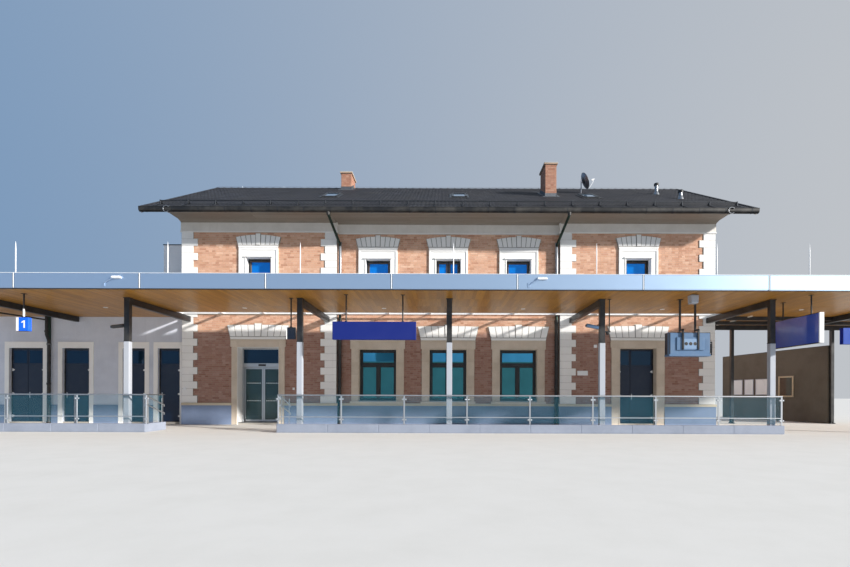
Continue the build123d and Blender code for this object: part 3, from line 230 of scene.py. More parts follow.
class Workpiece:
    """A mesh under construction: closed solids are added one by one, each with a tint of its own."""

    def __init__(self, name: str) -> None:
        """Starts an empty piece of that name.

        Args:
            name: the name of the object.
        """
        self.name = name
        self.verts: list[tuple[float, float, float]] = []
        self.faces: list[tuple[int, ...]] = []
        self.tints: list[float] = []
        self.chance = random.Random(name)

    def add(self, verts: Iterable[Point], faces: Iterable[tuple[int, ...]],
            place: Matrix | None = None) -> None:
        """Adds one closed solid.

        Args:
            verts: its vertices.
            faces: its faces, by vertex.
            place: where it goes, if its vertices aren't in place already.
        """
        start = len(self.verts)
        self.verts += [(place @ Vector(vert) if place else Vector(vert))[:] for vert in verts]
        solid = [tuple(start + index for index in face) for face in faces]
        self.faces += solid
        self.tints += [self.chance.random()] * len(solid)

    def block(self, low: Point, high: Point, bevel: float = 0.0, place: Matrix | None = None) -> None:
        """Adds a block between any two opposite corners, with its edges cut by a bevel."""
        least, most = ([pick(pair) for pair in zip(low, high)] for pick in (min, max))
        self.add(*bevelled_block(least, most, bevel), place)

    def pad(self, centre: Point, half: Point, levels: Point, bevel: float = 0.0,
            place: Matrix | None = None) -> None:
        """Adds an upright block round a centre line: half of its width and depth reach to each side."""
        self.block((centre[0] - half[0], centre[1] - half[1], levels[0]),
                   (centre[0] + half[0], centre[1] + half[1], levels[1]), bevel, place)

    def border(self, edges: tuple[float, float, float, float], width: float, depths: Point, bevel: float,
               place: Matrix | None = None) -> None:
        """Adds four bars inside a rectangle.

        Args:
            edges: its left, right, low and high edge.
            width: how wide the bars are.
            depths: where the bars start and end in Y.
            bevel: how far their edges are cut back.
            place: where the bars go.
        """
        left, right, low, high = edges
        for x0, x1, z0, z1 in ((left, left + width, low, high), (right - width, right, low, high),
                               (left + width, right - width, low, low + width),
                               (left + width, right - width, high - width, high)):
            self.block((x0, depths[0], z0), (x1, depths[1], z1), bevel, place)

    def skin(self, rings: Sequence[Sequence[Point]], place: Matrix | None = None) -> None:
        """Adds a solid stretched over rings of points, closed at its first and last ring.

        Args:
            rings: the rings, with equally many points each.
            place: where the solid goes.
        """
        count = len(rings[0])
        last = count * (len(rings) - 1)
        faces = [tuple(range(count)), tuple(range(last, last + count))]
        for low in range(0, last, count):
            for step in range(count):
                after = (step + 1) % count
                faces.append((low + step, low + after, low + count + after, low + count + step))
        self.add([point for ring in rings for point in ring], faces, place)

    def prism(self, outline: Sequence[Point], start: float, end: float, axes: str,
              place: Matrix | None = None, bevel: float = 0.0) -> None:
        """Adds an outline drawn out along an axis.

        Args:
            outline: its points, in the first two of the axes; convex where there is a bevel.
            start: where it starts on the third.
            end: where it ends.
            axes: the three axes in that order, such as "yzx".
            place: where the solid goes.
            bevel: how far the edges of the end face are cut back.
        """
        order = ["xyz".index(axis) for axis in axes]
        levels = [(start, outline), (end, outline)]
        if bevel:
            back = end - math.copysign(bevel, end - start)
            levels = [(start, outline), (back, outline), (end, inset(outline, bevel))]
        rings = []
        for level, points in levels:
            ring = []
            for first, second in points:
                vert = [0.0, 0.0, 0.0]
                vert[order[0]], vert[order[1]], vert[order[2]] = first, second, level
                ring.append(vert)
            rings.append(ring)
        self.skin(rings, place)

    def lathe(self, profile: Sequence[Point], place: Matrix, sides: int = 16) -> None:
        """Adds a turned solid.

        Args:
            profile: (radius, height) pairs from its foot to its top.
            place: where its foot's centre and its axis go.
            sides: how many flats the turn has.
        """
        angles = [2 * math.pi * step / sides for step in range(sides)]
        rings = [[(radius * math.cos(angle), radius * math.sin(angle), height) for angle in angles]
                 for radius, height in profile]
        self.skin(rings, place)

    def tube(self, path: Sequence[Point], radius: float, sides: int = 10,
             place: Matrix | None = None) -> None:
        """Adds a round bar along a path of points.

        Args:
            path: the points of its middle line.
            radius: the radius of the bar.
            sides: how many sides its section has.
            place: where the bar goes.
        """
        points = [Vector(point) for point in path]
        angles = [2 * math.pi * step / sides for step in range(sides)]
        rings = []
        for number, point in enumerate(points):
            before = points[max(number - 1, 0)]
            after = points[min(number + 1, len(points) - 1)]
            along = (after - before).normalized()
            side = along.cross(Vector((0, 0, 1)) if abs(along.z) < 0.9 else Vector((1, 0, 0))).normalized()
            up = side.cross(along)
            rings.append([point + radius * (math.cos(angle) * side + math.sin(angle) * up)
                          for angle in angles])
        self.skin(rings, place)

    def model(self, smooth: float | None = None) -> bpy.types.Object:
        """Makes the mesh object, with faces outwards and a tint on each solid.

        Args:
            smooth: the angle in degrees up to which edges are shaded smooth.

        Returns:
            The object, linked to the scene.
        """
        mesh = bpy.data.meshes.new(self.name)
        mesh.from_pydata(self.verts, [], self.faces)
        turn_outwards(mesh)
        mesh.attributes.new("tint", "FLOAT", "FACE").data.foreach_set("value", self.tints)
        if smooth:
            mesh.shade_smooth()
            mesh.set_sharp_from_angle(angle=math.radians(smooth))
        return put(self.name, mesh)

    def fit(self, finish: "Finish", slot: str, body: str = "root",
            smooth: float | None = None) -> bpy.types.Object:
        """Makes the mesh object and settles it on its body."""
        return settle(self.model(smooth), finish, body)


@dataclass
class Layout:
    """Where the copies of one piece go: places, turns and stretches along the piece's own axes."""

    places: list[Point] = field(default_factory=list)
    turns: list[Point] = field(default_factory=list)
    stretches: list[Point] = field(default_factory=list)

    def add(self, place: Point, turn: Point = (0, 0, 0), stretch: Point = (1, 1, 1)) -> None:
        """Adds one copy.

        Args:
            place: where its origin goes.
            turn: its turns about X, Y and Z.
            stretch: its stretch along its own axes.
        """
        self.places.append(tuple(place))
        self.turns.append(tuple(turn))
        self.stretches.append(tuple(stretch))

    def model(self, name: str) -> bpy.types.Object:
        """Makes the mesh of points that the node tree reads.

        Args:
            name: the name of the object.

        Returns:
            An object that holds the points.
        """
        mesh = bpy.data.meshes.new(name)
        mesh.from_pydata(self.places, [], [])
        for label, rows in (("turn", self.turns), ("stretch", self.stretches)):
            values = [number for row in rows for number in row]
            mesh.attributes.new(label, "FLOAT_VECTOR", "POINT").data.foreach_set("vector", values)
        return put(name, mesh)


class Repeater:
    """Geometry Nodes that set one modelled piece on each point of a layout, each copy with its own tint."""

    def __init__(self) -> None:
        """Builds the tree with its named inputs."""
        tree = bpy.data.node_groups.new("repeat_piece", "GeometryNodeTree")
        tree.interface.new_socket("Layout", in_out="INPUT", socket_type="NodeSocketGeometry")
        tree.interface.new_socket("Copies", in_out="OUTPUT", socket_type="NodeSocketGeometry")
        self.inputs = {}
        kinds = {"Piece": "Object", "Finish": "Material", "Size": "Float", "Seed": "Int"}
        for label, kind in kinds.items():
            socket = tree.interface.new_socket(label, in_out="INPUT", socket_type=f"NodeSocket{kind}")
            self.inputs[label] = socket.identifier
        given = add_node(tree, "NodeGroupInput").outputs
        source = add_node(tree, "GeometryNodeObjectInfo", {"Object": given["Piece"]})
        turn = add_node(tree, "GeometryNodeInputNamedAttribute", {"Name": "turn"}, data_type="FLOAT_VECTOR")
        angle = add_node(tree, "FunctionNodeEulerToRotation", {"Euler": turn.outputs["Attribute"]})
        stretch = add_node(tree, "GeometryNodeInputNamedAttribute", {"Name": "stretch"},
                           data_type="FLOAT_VECTOR")
        size = add_node(tree, "ShaderNodeVectorMath",
                        {0: stretch.outputs["Attribute"], "Scale": given["Size"]}, operation="SCALE")
        copies = add_node(tree, "GeometryNodeInstanceOnPoints", {
            "Points": given["Layout"], "Instance": source.outputs["Geometry"],
            "Rotation": angle.outputs["Rotation"], "Scale": size.outputs["Vector"]})
        chance = add_node(tree, "FunctionNodeRandomValue", {"Seed": given["Seed"]}, data_type="FLOAT")
        drawn = next(socket for socket in chance.outputs if socket.enabled)
        tinted = add_node(tree, "GeometryNodeStoreNamedAttribute", {
            "Geometry": copies.outputs["Instances"], "Name": "tint", "Value": drawn},
            data_type="FLOAT", domain="INSTANCE")
        real = add_node(tree, "GeometryNodeRealizeInstances", {"Geometry": tinted.outputs["Geometry"]})
        dressed = add_node(tree, "GeometryNodeSetMaterial", {
            "Geometry": real.outputs["Geometry"], "Material": given["Finish"]})
        add_node(tree, "NodeGroupOutput", {"Copies": dressed.outputs["Geometry"]})
        self.tree = tree

    def fit(self, piece: Workpiece, layout: Layout, finish: "Finish", slot: str, body: str = "root",
            seed: int = 1, smooth: float | None = None) -> bpy.types.Object:
        """Sets the piece on every point and keeps the result as one plain mesh.

        Args:
            piece: the piece to repeat; the result takes its name.
            layout: where the copies go.
            finish: what they are made of.
            slot: the record's material slot; not used.
            body: the CAD body that carries them.
            seed: the seed of their tints.
            smooth: the angle in degrees up to which the piece's edges are shaded smooth.

        Returns:
            The settled mesh object.
        """
        source = piece.model(smooth)
        source.data.attributes.remove(source.data.attributes["tint"])
        points = layout.model(piece.name + "_places")
        modifier = points.modifiers.new("repeat", "NODES")
        modifier.node_group = self.tree
        for label, value in {"Piece": source, "Finish": finish.material(), "Size": 1.0, "Seed": seed}.items():
            modifier[self.inputs[label]] = value
        graph = bpy.context.evaluated_depsgraph_get()
        graph.update()
        mesh = bpy.data.meshes.new_from_object(points.evaluated_get(graph), preserve_all_data_layers=True,
                                               depsgraph=graph)
        points.modifiers.remove(modifier)
        for spare in (points, source):
            bpy.data.objects.remove(spare)
        return settle(put(piece.name, mesh), finish, body)


class Finish:
    """What a surface is made of. Each kind says how it is shaded, and is made once."""

    name: str
    made: dict[str, bpy.types.Material] = {}

    def material(self) -> bpy.types.Material:
        """Returns this finish's material, made on its first use.

        Returns:
            The material.
        """
        if self.name not in Finish.made:
            material = bpy.data.materials.new(self.name)
            material.use_nodes = True
            tree = material.node_tree
            tree.nodes.clear()
            shader = add_node(tree, "ShaderNodeBsdfPrincipled")
            add_node(tree, "ShaderNodeOutputMaterial", {"Surface": shader.outputs["BSDF"]})
            self.shade(tree, shader, add_node(tree, "ShaderNodeTexCoord").outputs["Object"])
            Finish.made[self.name] = material
        return Finish.made[self.name]

    def shade(self, tree: bpy.types.NodeTree, shader: bpy.types.Node, place: bpy.types.NodeSocket) -> None:
        """Fills in the shader. Each kind of finish has its own.

        Args:
            tree: the node tree of the material.
            shader: its surface shader.
            place: the object coordinates.
        """
        raise NotImplementedError


@dataclass(frozen=True)
class Band:
    """Levels between which masonry is toned darker, only as far back as `behind` on the platform side:
    painted shade under the canopy, a darker brick on the stacks.
    """

    low: float
    high: float
    tint: str
    behind: float = 99.0


@dataclass(frozen=True)
class Mineral(Finish):
    """Brick, stone, render, concrete or tile: a matt body with stains, rain streaks, grain and pores."""

    name: str
    base: str
    stained: str
    stain: float = 0.5
    stain_mm: float = 700.0
    streak: float = 0.0
    grain_mm: float = 9.0
    grain: float = 0.25
    bump_mm: float = 1.2
    roughness: float = 0.88
    pieces: tuple[str, ...] = ()
    bands: tuple[Band, ...] = ()

    def shade(self, tree: bpy.types.NodeTree, shader: bpy.types.Node, place: bpy.types.NodeSocket) -> None:
        """Lays stains and grain over the base colour, or over each piece's own colour.

        Args:
            tree: the node tree of the material.
            shader: its surface shader.
            place: the object coordinates.
        """
        colour = add_node(tree, "ShaderNodeRGB").outputs[0]
        colour.default_value = linear(self.base)
        if self.pieces:
            tint = add_node(tree, "ShaderNodeAttribute", attribute_name="tint").outputs["Fac"]
            ramp = add_node(tree, "ShaderNodeValToRGB", {"Fac": tint})
            stops = ramp.color_ramp.elements
            for number, code in enumerate(self.pieces):
                share = number / (len(self.pieces) - 1)
                stop = stops[number] if number < 1 else (stops[-1] if share == 1 else stops.new(share))
                stop.position = share
                stop.color = linear(code)
            colour = ramp.outputs["Color"]
        blotch = add_node(tree, "ShaderNodeTexNoise",
                          {"Vector": place, "Scale": 1 / (self.stain_mm * MM), "Detail": 5.0,
                           "Roughness": 0.6}).outputs["Fac"]
        amount = add_node(tree, "ShaderNodeMapRange",
                          {"Value": blotch, "From Min": 0.4, "From Max": 0.72, "To Min": 0.0,
                           "To Max": self.stain}).outputs[0]
        if self.streak:
            runs = add_node(tree, "ShaderNodeMapping", {"Vector": place, "Scale": (9.0, 9.0, 0.35)})
            rain = add_node(tree, "ShaderNodeTexNoise",
                            {"Vector": runs.outputs[0], "Scale": 1.0, "Detail": 3.0})
            washed = add_node(tree, "ShaderNodeMapRange",
                              {"Value": rain.outputs["Fac"], "From Min": 0.5, "From Max": 0.8, "To Min": 0.0,
                               "To Max": self.streak})
            amount = add_node(tree, "ShaderNodeMath", {0: amount, 1: washed.outputs[0]},
                              operation="MAXIMUM").outputs[0]
        worn = add_node(tree, "ShaderNodeMix", {0: amount, 6: colour, 7: linear(self.stained)},
                        data_type="RGBA")
        grain = add_node(tree, "ShaderNodeTexNoise",
                         {"Vector": place, "Scale": 1 / (self.grain_mm * MM), "Detail": 4.0,
                          "Roughness": 0.7}).outputs["Fac"]
        speck = add_node(tree, "ShaderNodeMapRange",
                         {"Value": grain, "From Min": 0.3, "From Max": 0.7, "To Min": 1 - self.grain,
                          "To Max": 1 + self.grain})
        tone = add_node(tree, "ShaderNodeMix", {0: 1.0, 6: worn.outputs[2], 7: speck.outputs[0]},
                        data_type="RGBA", blend_type="MULTIPLY")
        tree.links.new(self.banded(tree, place, tone.outputs[2]), shader.inputs["Base Color"])
        bump = add_node(tree, "ShaderNodeBump",
                        {"Height": grain, "Distance": self.bump_mm * MM, "Strength": 0.8})
        tree.links.new(bump.outputs["Normal"], shader.inputs["Normal"])
        shader.inputs["Roughness"].default_value = self.roughness

    def banded(self, tree: bpy.types.NodeTree, place: bpy.types.NodeSocket,
               colour: bpy.types.NodeSocket) -> bpy.types.NodeSocket:
        """Multiplies the colour by the tint of every band, with soft edges.

        Args:
            tree: the node tree of the material.
            place: the object coordinates.
            colour: the colour so far.

        Returns:
            The socket of the tinted colour.
        """
        parts = add_node(tree, "ShaderNodeSeparateXYZ", {0: place}).outputs
        for band in self.bands:
            edges = (("Z", band.low - SOFT_EDGE, band.low + SOFT_EDGE),
                     ("Z", band.high + SOFT_EDGE, band.high - SOFT_EDGE),
                     ("Y", band.behind + SOFT_EDGE, band.behind - SOFT_EDGE))
            share = []
            for axis, low, high in edges:
                ramp = add_node(tree, "ShaderNodeMapRange",
                                {"Value": parts[axis], "From Min": low, "From Max": high})
                share.append(ramp.outputs[0])
            both = add_node(tree, "ShaderNodeMath", {0: share[0], 1: share[1]},
                            operation="MULTIPLY").outputs[0]
            amount = add_node(tree, "ShaderNodeMath", {0: both, 1: share[2]}, operation="MULTIPLY").outputs[0]
            colour = add_node(tree, "ShaderNodeMix", {0: amount, 6: colour, 7: linear(band.tint)},
                              data_type="RGBA", blend_type="MULTIPLY").outputs[2]
        return colour


@dataclass(frozen=True)
class Coat(Finish):
    """Powder coat, paint or enamel on sheet and tube: an even film with orange peel and a little dust."""

    name: str
    base: str
    dust: str = "#B8B2A8"
    dusty: float = 0.12
    roughness: float = 0.4
    metallic: float = 0.0
    clear: float = 0.0
    peel_mm: float = 6.0
    wear: float = 0.3

    def shade(self, tree: bpy.types.NodeTree, shader: bpy.types.Node, place: bpy.types.NodeSocket) -> None:
        """Lays dust over the film and roughens it where it lies.

        Args:
            tree: the node tree of the material.
            shader: its surface shader.
            place: the object coordinates.
        """
        cloud = add_node(tree, "ShaderNodeTexNoise",
                         {"Vector": place, "Scale": 2.2, "Detail": 6.0, "Roughness": 0.65})
        share = add_node(tree, "ShaderNodeMapRange",
                         {"Value": cloud.outputs["Fac"], "From Min": 0.42, "From Max": 0.75, "To Min": 0.0,
                          "To Max": self.dusty})
        tone = add_node(tree, "ShaderNodeMix",
                        {0: share.outputs[0], 6: linear(self.base), 7: linear(self.dust)}, data_type="RGBA")
        tree.links.new(tone.outputs[2], shader.inputs["Base Color"])
        rough = add_node(tree, "ShaderNodeMapRange",
                         {"Value": cloud.outputs["Fac"], "From Min": 0.3, "From Max": 0.75,
                          "To Min": self.roughness * (1 - self.wear / 2),
                          "To Max": min(self.roughness * (1 + self.wear), 1.0)})
        tree.links.new(rough.outputs[0], shader.inputs["Roughness"])
        peel = add_node(tree, "ShaderNodeTexNoise",
                        {"Vector": place, "Scale": 1 / (self.peel_mm * MM), "Detail": 2.0})
        bump = add_node(tree, "ShaderNodeBump",
                        {"Height": peel.outputs["Fac"], "Distance": 0.3 * MM, "Strength": 0.5})
        tree.links.new(bump.outputs["Normal"], shader.inputs["Normal"])
        shader.inputs["Metallic"].default_value = self.metallic
        shader.inputs["Coat Weight"].default_value = self.clear


@dataclass(frozen=True)
class Metal(Finish):
    """Bare metal: brushed along one axis, or with the crystals of a zinc bath."""

    name: str
    base: str
    dulled: str
    roughness: float = 0.35
    crystal_mm: float = 0.0
    brush: tuple[float, float, float] = (40.0, 40.0, 40.0)

    def shade(self, tree: bpy.types.NodeTree, shader: bpy.types.Node, place: bpy.types.NodeSocket) -> None:
        """Mixes bright and dulled metal by the pattern, and roughens it the same way.

        Args:
            tree: the node tree of the material.
            shader: its surface shader.
            place: the object coordinates.
        """
        if self.crystal_mm:
            cells = add_node(tree, "ShaderNodeTexVoronoi",
                             {"Vector": place, "Scale": 1 / (self.crystal_mm * MM)})
            pattern = add_node(tree, "ShaderNodeSeparateXYZ", {0: cells.outputs["Color"]}).outputs["X"]
        else:
            drawn = add_node(tree, "ShaderNodeMapping", {"Vector": place, "Scale": self.brush})
            pattern = add_node(tree, "ShaderNodeTexNoise", {
                "Vector": drawn.outputs[0], "Scale": 4.0, "Detail": 5.0}).outputs["Fac"]
        tone = add_node(tree, "ShaderNodeMix", {0: pattern, 6: linear(self.base), 7: linear(self.dulled)},
                        data_type="RGBA")
        tree.links.new(tone.outputs[2], shader.inputs["Base Color"])
        rough = add_node(tree, "ShaderNodeMapRange", {
            "Value": pattern, "To Min": self.roughness * 0.8, "To Max": self.roughness * 1.35})
        tree.links.new(rough.outputs[0], shader.inputs["Roughness"])
        shader.inputs["Metallic"].default_value = 1.0


@dataclass(frozen=True)
class Timber(Finish):
    """Sawn or laminate boards along X or Y: long grain, knots and a tone of its own for each board."""

    name: str
    light: str
    dark: str
    knot: str
    grain_mm: float = 14.0
    roughness: float = 0.4
    clear: float = 0.0
    along: str = "x"

    def shade(self, tree: bpy.types.NodeTree, shader: bpy.types.Node, place: bpy.types.NodeSocket) -> None:
        """Draws the grain out along the board and shifts it from board to board.

        Args:
            tree: the node tree of the material.
            shader: its surface shader.
            place: the object coordinates.
        """
        tint = add_node(tree, "ShaderNodeAttribute", attribute_name="tint").outputs["Fac"]
        shift = add_node(tree, "ShaderNodeMath", {0: tint, 1: 37.0}, operation="MULTIPLY")
        offset = add_node(tree, "ShaderNodeCombineXYZ", {"X": shift.outputs[0], "Z": shift.outputs[0]})
        moved = add_node(tree, "ShaderNodeVectorMath", {0: place, 1: offset.outputs[0]}, operation="ADD")
        across = 1 / (self.grain_mm * MM)
        scale = tuple(across / 24 if axis == self.along else across for axis in "xyz")
        drawn = add_node(tree, "ShaderNodeMapping", {"Vector": moved.outputs[0], "Scale": scale})
        fibre = add_node(tree, "ShaderNodeTexNoise", {
            "Vector": drawn.outputs[0], "Scale": 1.0, "Detail": 6.0, "Roughness": 0.6, "Distortion": 0.8})
        board = add_node(tree, "ShaderNodeMix", {0: tint, 6: linear(self.light), 7: linear(self.dark)},
                         data_type="RGBA")
        share = add_node(tree, "ShaderNodeMapRange", {
            "Value": fibre.outputs["Fac"], "From Min": 0.45, "From Max": 0.75, "To Min": 0.0, "To Max": 0.75})
        tone = add_node(tree, "ShaderNodeMix",
                        {0: share.outputs[0], 6: board.outputs[2], 7: linear(self.knot)}, data_type="RGBA")
        tree.links.new(tone.outputs[2], shader.inputs["Base Color"])
        bump = add_node(tree, "ShaderNodeBump",
                        {"Height": fibre.outputs["Fac"], "Distance": 0.0006, "Strength": 0.5})
        tree.links.new(bump.outputs["Normal"], shader.inputs["Normal"])
        shader.inputs["Roughness"].default_value = self.roughness
        shader.inputs["Coat Weight"].default_value = self.clear


@dataclass(frozen=True)
class Glazing(Finish):
    """Float glass: a tinted or clear sheet that mirrors the sky, with the faint waves of toughened glass."""

    name: str
    tint: str
    mirror: float = 0.0
    alpha: float = 1.0
    roughness: float = 0.04
    bands: tuple[tuple[float, str], ...] = ()

    def shade(self, tree: bpy.types.NodeTree, shader: bpy.types.Node, place: bpy.types.NodeSocket) -> None:
        """Tints the sheet, with another tint over every level that is given: painted reflections by height.

        Args:
            tree: the node tree of the material.
            shader: its surface shader.
            place: the object coordinates.
        """
        wave = add_node(tree, "ShaderNodeTexNoise", {"Vector": place, "Scale": 1.6, "Detail": 1.0})
        depth = add_node(tree, "ShaderNodeMapRange",
                         {"Value": wave.outputs["Fac"], "To Min": 0.72, "To Max": 1.2})
        colour = linear(self.tint)
        height = add_node(tree, "ShaderNodeSeparateXYZ", {0: place}).outputs["Z"]
        # Tints over levels: painted reflections of sky and shade, by height
        for level, tint in self.bands:
            above = add_node(tree, "ShaderNodeMath", {0: height, 1: level}, operation="GREATER_THAN")
            colour = add_node(tree, "ShaderNodeMix", {0: above.outputs[0], 6: colour, 7: linear(tint)},
                              data_type="RGBA").outputs[2]
        tone = add_node(tree, "ShaderNodeMix", {0: 1.0, 6: colour, 7: depth.outputs[0]}, data_type="RGBA",
                        blend_type="MULTIPLY")
        tree.links.new(tone.outputs[2], shader.inputs["Base Color"])
        bump = add_node(tree, "ShaderNodeBump",
                        {"Height": wave.outputs["Fac"], "Distance": 0.004, "Strength": 0.25})
        tree.links.new(bump.outputs["Normal"], shader.inputs["Normal"])
        shader.inputs["Metallic"].default_value = self.mirror
        shader.inputs["Roughness"].default_value = self.roughness
        shader.inputs["Alpha"].default_value = self.alpha
        shader.inputs["IOR"].default_value = 1.52


# Painted shade: brick and mortar of the front below 3.56 m are darker under the canopy; the stacks' brick is
# a darker tone
SOFT_EDGE = 0.06
SHADE_AND_STACK_BANDS = (Band(0.0, 3.56, "#C5C3CE", -4.0), Band(8.6, 14.0, "#C9BDBC"))
# Hand-moulded facing bricks, fired unevenly: single bricks run from pale orange to rose and brown
FACING_BRICK = Mineral("facing_brick", "#CF9371", "#B98465", stain=0.3, grain_mm=22, grain=0.16, bump_mm=1.5,
                       pieces=("#BC8B73", "#D3A58A", "#DCB197", "#C99A83", "#E3BDA4", "#CFA088"),
                       bands=SHADE_AND_STACK_BANDS)
# Lime mortar and plaster: pale, sandy and matt
LIME_MORTAR = Mineral("lime_mortar", "#D9C7AE", "#B8A78F", grain_mm=7, grain=0.12, bands=SHADE_AND_STACK_BANDS)
# Painted cast stone: near white with faint streaks below the ledges
WHITE_STONE = Mineral("painted_cast_stone", "#F4F4F3", "#DAD9D7", stain=0.25, streak=0.2, grain_mm=14,
                      grain=0.04, bump_mm=0.6, roughness=0.75, pieces=("#F7F7F5", "#EDEDEC", "#F3F3F2"))
# Lime joints behind the white stones: grey and rough, so that each stone is outlined
STONE_JOINT = Mineral("grey_lime_joint", "#9C9A96", "#84827E", grain_mm=6, grain=0.12)
# Dressed sandstone: warm grey-beige with soft clouds and sand grain
SANDSTONE = Mineral("dressed_sandstone", "#D3C6B4", "#B2A38F", stain=0.5, streak=0.25, grain_mm=10,
                    grain=0.12, pieces=("#DCD1C2", "#CFC2B2", "#D8CCBC"))
# Smooth cement render painted blue-grey, splashed at the foot
PLINTH_RENDER = Mineral("plinth_render", "#7F90AE", "#64738E", stain=0.5, streak=0.35, grain_mm=8, grain=0.1)
# Cream render on the sloping cap of the plinth
CAP_RENDER = Mineral("cap_render", "#CFC4AE", "#AFA48E", stain=0.4, grain_mm=8, grain=0.08)
# Fine render of the wing in a cool white
WING_RENDER = Mineral("wing_render", "#D5DBE8", "#B0B6C6", stain=0.4, streak=0.3, grain_mm=6, grain=0.07)
# Smooth white render of the annex
ANNEX_RENDER = Mineral("annex_render", "#F3F4F7", "#D2D4DA", stain=0.3, streak=0.2, grain_mm=6, grain=0.04)
# Precast kerb stones: blue-grey, fine and even
KERB_STONE = Mineral("precast_kerb", "#8D95A5", "#717A8A", stain=0.5, streak=0.15, grain_mm=10, grain=0.1)
# Cast concrete: grey with air pores and tide marks
CONCRETE = Mineral("cast_concrete", "#B9B4AC", "#908B83", stain=0.6, streak=0.2, grain_mm=12, grain=0.15)
# Brown-grey render of the passage wall
DARK_RENDER = Mineral("passage_render", "#625C51", "#474239", stain=0.5, streak=0.2, grain_mm=9, grain=0.1)
# Frieze and eaves paint in warm grey
FRIEZE_PAINT = Mineral("frieze_paint", "#E2DFDA", "#BDB8B0", stain=0.4, streak=0.25, grain_mm=12, grain=0.05,
                       roughness=0.7)
# Slate-grey engobed roof tiles: dull sheen, a tone for each tile and a bloom of dust
ROOF_TILE = Mineral("engobed_roof_tile", "#2F3036", "#454340", stain=0.35, stain_mm=900, streak=0.2,
                    grain_mm=16, grain=0.14, roughness=0.6,
                    pieces=("#23252C", "#30323A", "#292B33", "#373941"))
# Bitumen sheet with slate chips on the flat roofs
ROOF_MEMBRANE = Mineral("slated_bitumen", "#5B5E62", "#45474A", stain=0.5, grain_mm=5, grain=0.3, bump_mm=1.5)
# Taupe paint on planed softwood
EAVE_TIMBER = Timber("painted_eave_boards", "#9B9185", "#8C8276", "#776D62", roughness=0.6)
# Wood-grain laminate boards of the canopy ceiling with a satin lacquer
CEILING_BOARDS = Timber("laminate_ceiling_boards", "#BA842F", "#9C6C23", "#784E16", roughness=0.38,
                        clear=0.05, along="y")
# Black gutter sheet
BLACK_SHEET = Coat("black_gutter_sheet", "#17181A", roughness=0.45, dusty=0.1)
# Copper swan necks and pipes gone brown-green
AGED_COPPER = Metal("aged_copper", "#3E5650", "#2A2522", roughness=0.45, brush=(3.0, 3.0, 1.0))
# Rolled lead, dull grey with a white bloom
LEAD_SHEET = Metal("rolled_lead", "#7C8187", "#5C6066", roughness=0.6, brush=(5.0, 5.0, 5.0))
# Hot-dip galvanised steel with its zinc crystals
ZINC_STEEL = Metal("galvanised_steel", "#A9ADB2", "#84888E", roughness=0.42, crystal_mm=14)
# Old zinc, dull and nearly black where it lies among the tiles
OLD_ZINC = Metal("weathered_zinc", "#4C4F54", "#36393D", roughness=0.55, crystal_mm=14)
# Anthracite coat of the structural steel
STEEL_COAT = Coat("anthracite_steel_coat", "#14171C", roughness=0.38, dusty=0.08)
# White coat on the glazing bars
WHITE_COAT = Coat("white_steel_coat", "#EEF0F2", roughness=0.35, dusty=0.06)
# Light grey coat of the post sleeves and small housings
SLEEVE_COAT = Coat("light_grey_sleeve_coat", "#A7ADB7", roughness=0.38, dusty=0.1)
# Near white strips over the joints of the fascia
COVER_STRIP = Coat("white_cover_strip", "#E9EEF3", roughness=0.3, dusty=0.04)
# Opal lenses of the lamps
LAMP_LENS = Coat("opal_lamp_lens", "#FBF7EA", roughness=0.22, dusty=0.02, clear=0.4)
# Brushed stainless rails
RAIL_STEEL = Metal("brushed_rail_steel", "#D4D8DC", "#B4B9BF", roughness=0.32, brush=(2.0, 60.0, 60.0))
# Lacquered aluminium fascia panels: silver, with a painted reflection of the sky giving the blue
FASCIA_PANEL = Coat("lacquered_fascia_panel", "#A1B9D5", dust="#94AAC4", roughness=0.42, dusty=0.06,
                    metallic=0.75, peel_mm=120.0, wear=0.04)
# Dark navy coat on the steel doors
DOOR_COAT = Coat("navy_door_coat", "#06203C", roughness=0.4, dusty=0.03)
# Near black coat of window and door frames
FRAME_COAT = Coat("black_frame_coat", "#191C20", roughness=0.35, dusty=0.06)
# Umber coat of the upper casements, lighter where it has chalked
SASH_COAT = Coat("umber_sash_coat", "#4A3E36", roughness=0.45, dusty=0.1)
# Folded aluminium sills, stove-enamelled light grey
SILL_SHEET = Coat("grey_sill_sheet", "#A9ACB0", roughness=0.4, dusty=0.15, metallic=0.2)
# Satin stainless hinges
HINGE_STEEL = Metal("stainless_hinge", "#E4E6E8", "#C9CCD0", roughness=0.28, brush=(60.0, 60.0, 3.0))
# Black rubber seals
RUBBER = Coat("black_seal_rubber", "#101113", roughness=0.7, dusty=0.12, peel_mm=2.0)
# Satin anodised aluminium of the entrance
ANODISED = Metal("satin_anodised_aluminium", "#C6C9CC", "#A9ACB0", roughness=0.3, brush=(2.0, 2.0, 60.0))
# Vitreous enamel: deep blue and glossy
BLUE_ENAMEL = Coat("blue_vitreous_enamel", "#021B6E", dust="#17308A", roughness=0.4, dusty=0.05)
SIGNAL_ENAMEL = Coat("signal_blue_enamel", "#0A3F9E", roughness=0.3, dusty=0.03)
BRIGHT_ENAMEL = Coat("bright_blue_enamel", "#0862E8", roughness=0.15, dusty=0.02, clear=0.5)
WHITE_ENAMEL = Coat("white_enamel", "#F4F5F5", roughness=0.15, dusty=0.03, clear=0.5)
# Blank pale boards and the beige frame of the wall display
PALE_BOARD = Coat("blank_board_film", "#DDE2E4", roughness=0.3, dusty=0.05)
BEIGE_COAT = Coat("beige_display_coat", "#B9A98C", roughness=0.4, dusty=0.08)
# Dark navy enamel of the small boards
NIGHT_ENAMEL = Coat("night_blue_enamel", "#0C1424", roughness=0.2, dusty=0.05, clear=0.4)
# Violet-blue enamel of the board across the platform
VIOLET_ENAMEL = Coat("violet_blue_enamel", "#3C56B0", roughness=0.2, dusty=0.04, clear=0.5)
# Blue-grey coat of the display housing and the cameras
HOUSING_COAT = Coat("blue_grey_housing_coat", "#527092", roughness=0.35, dusty=0.06)
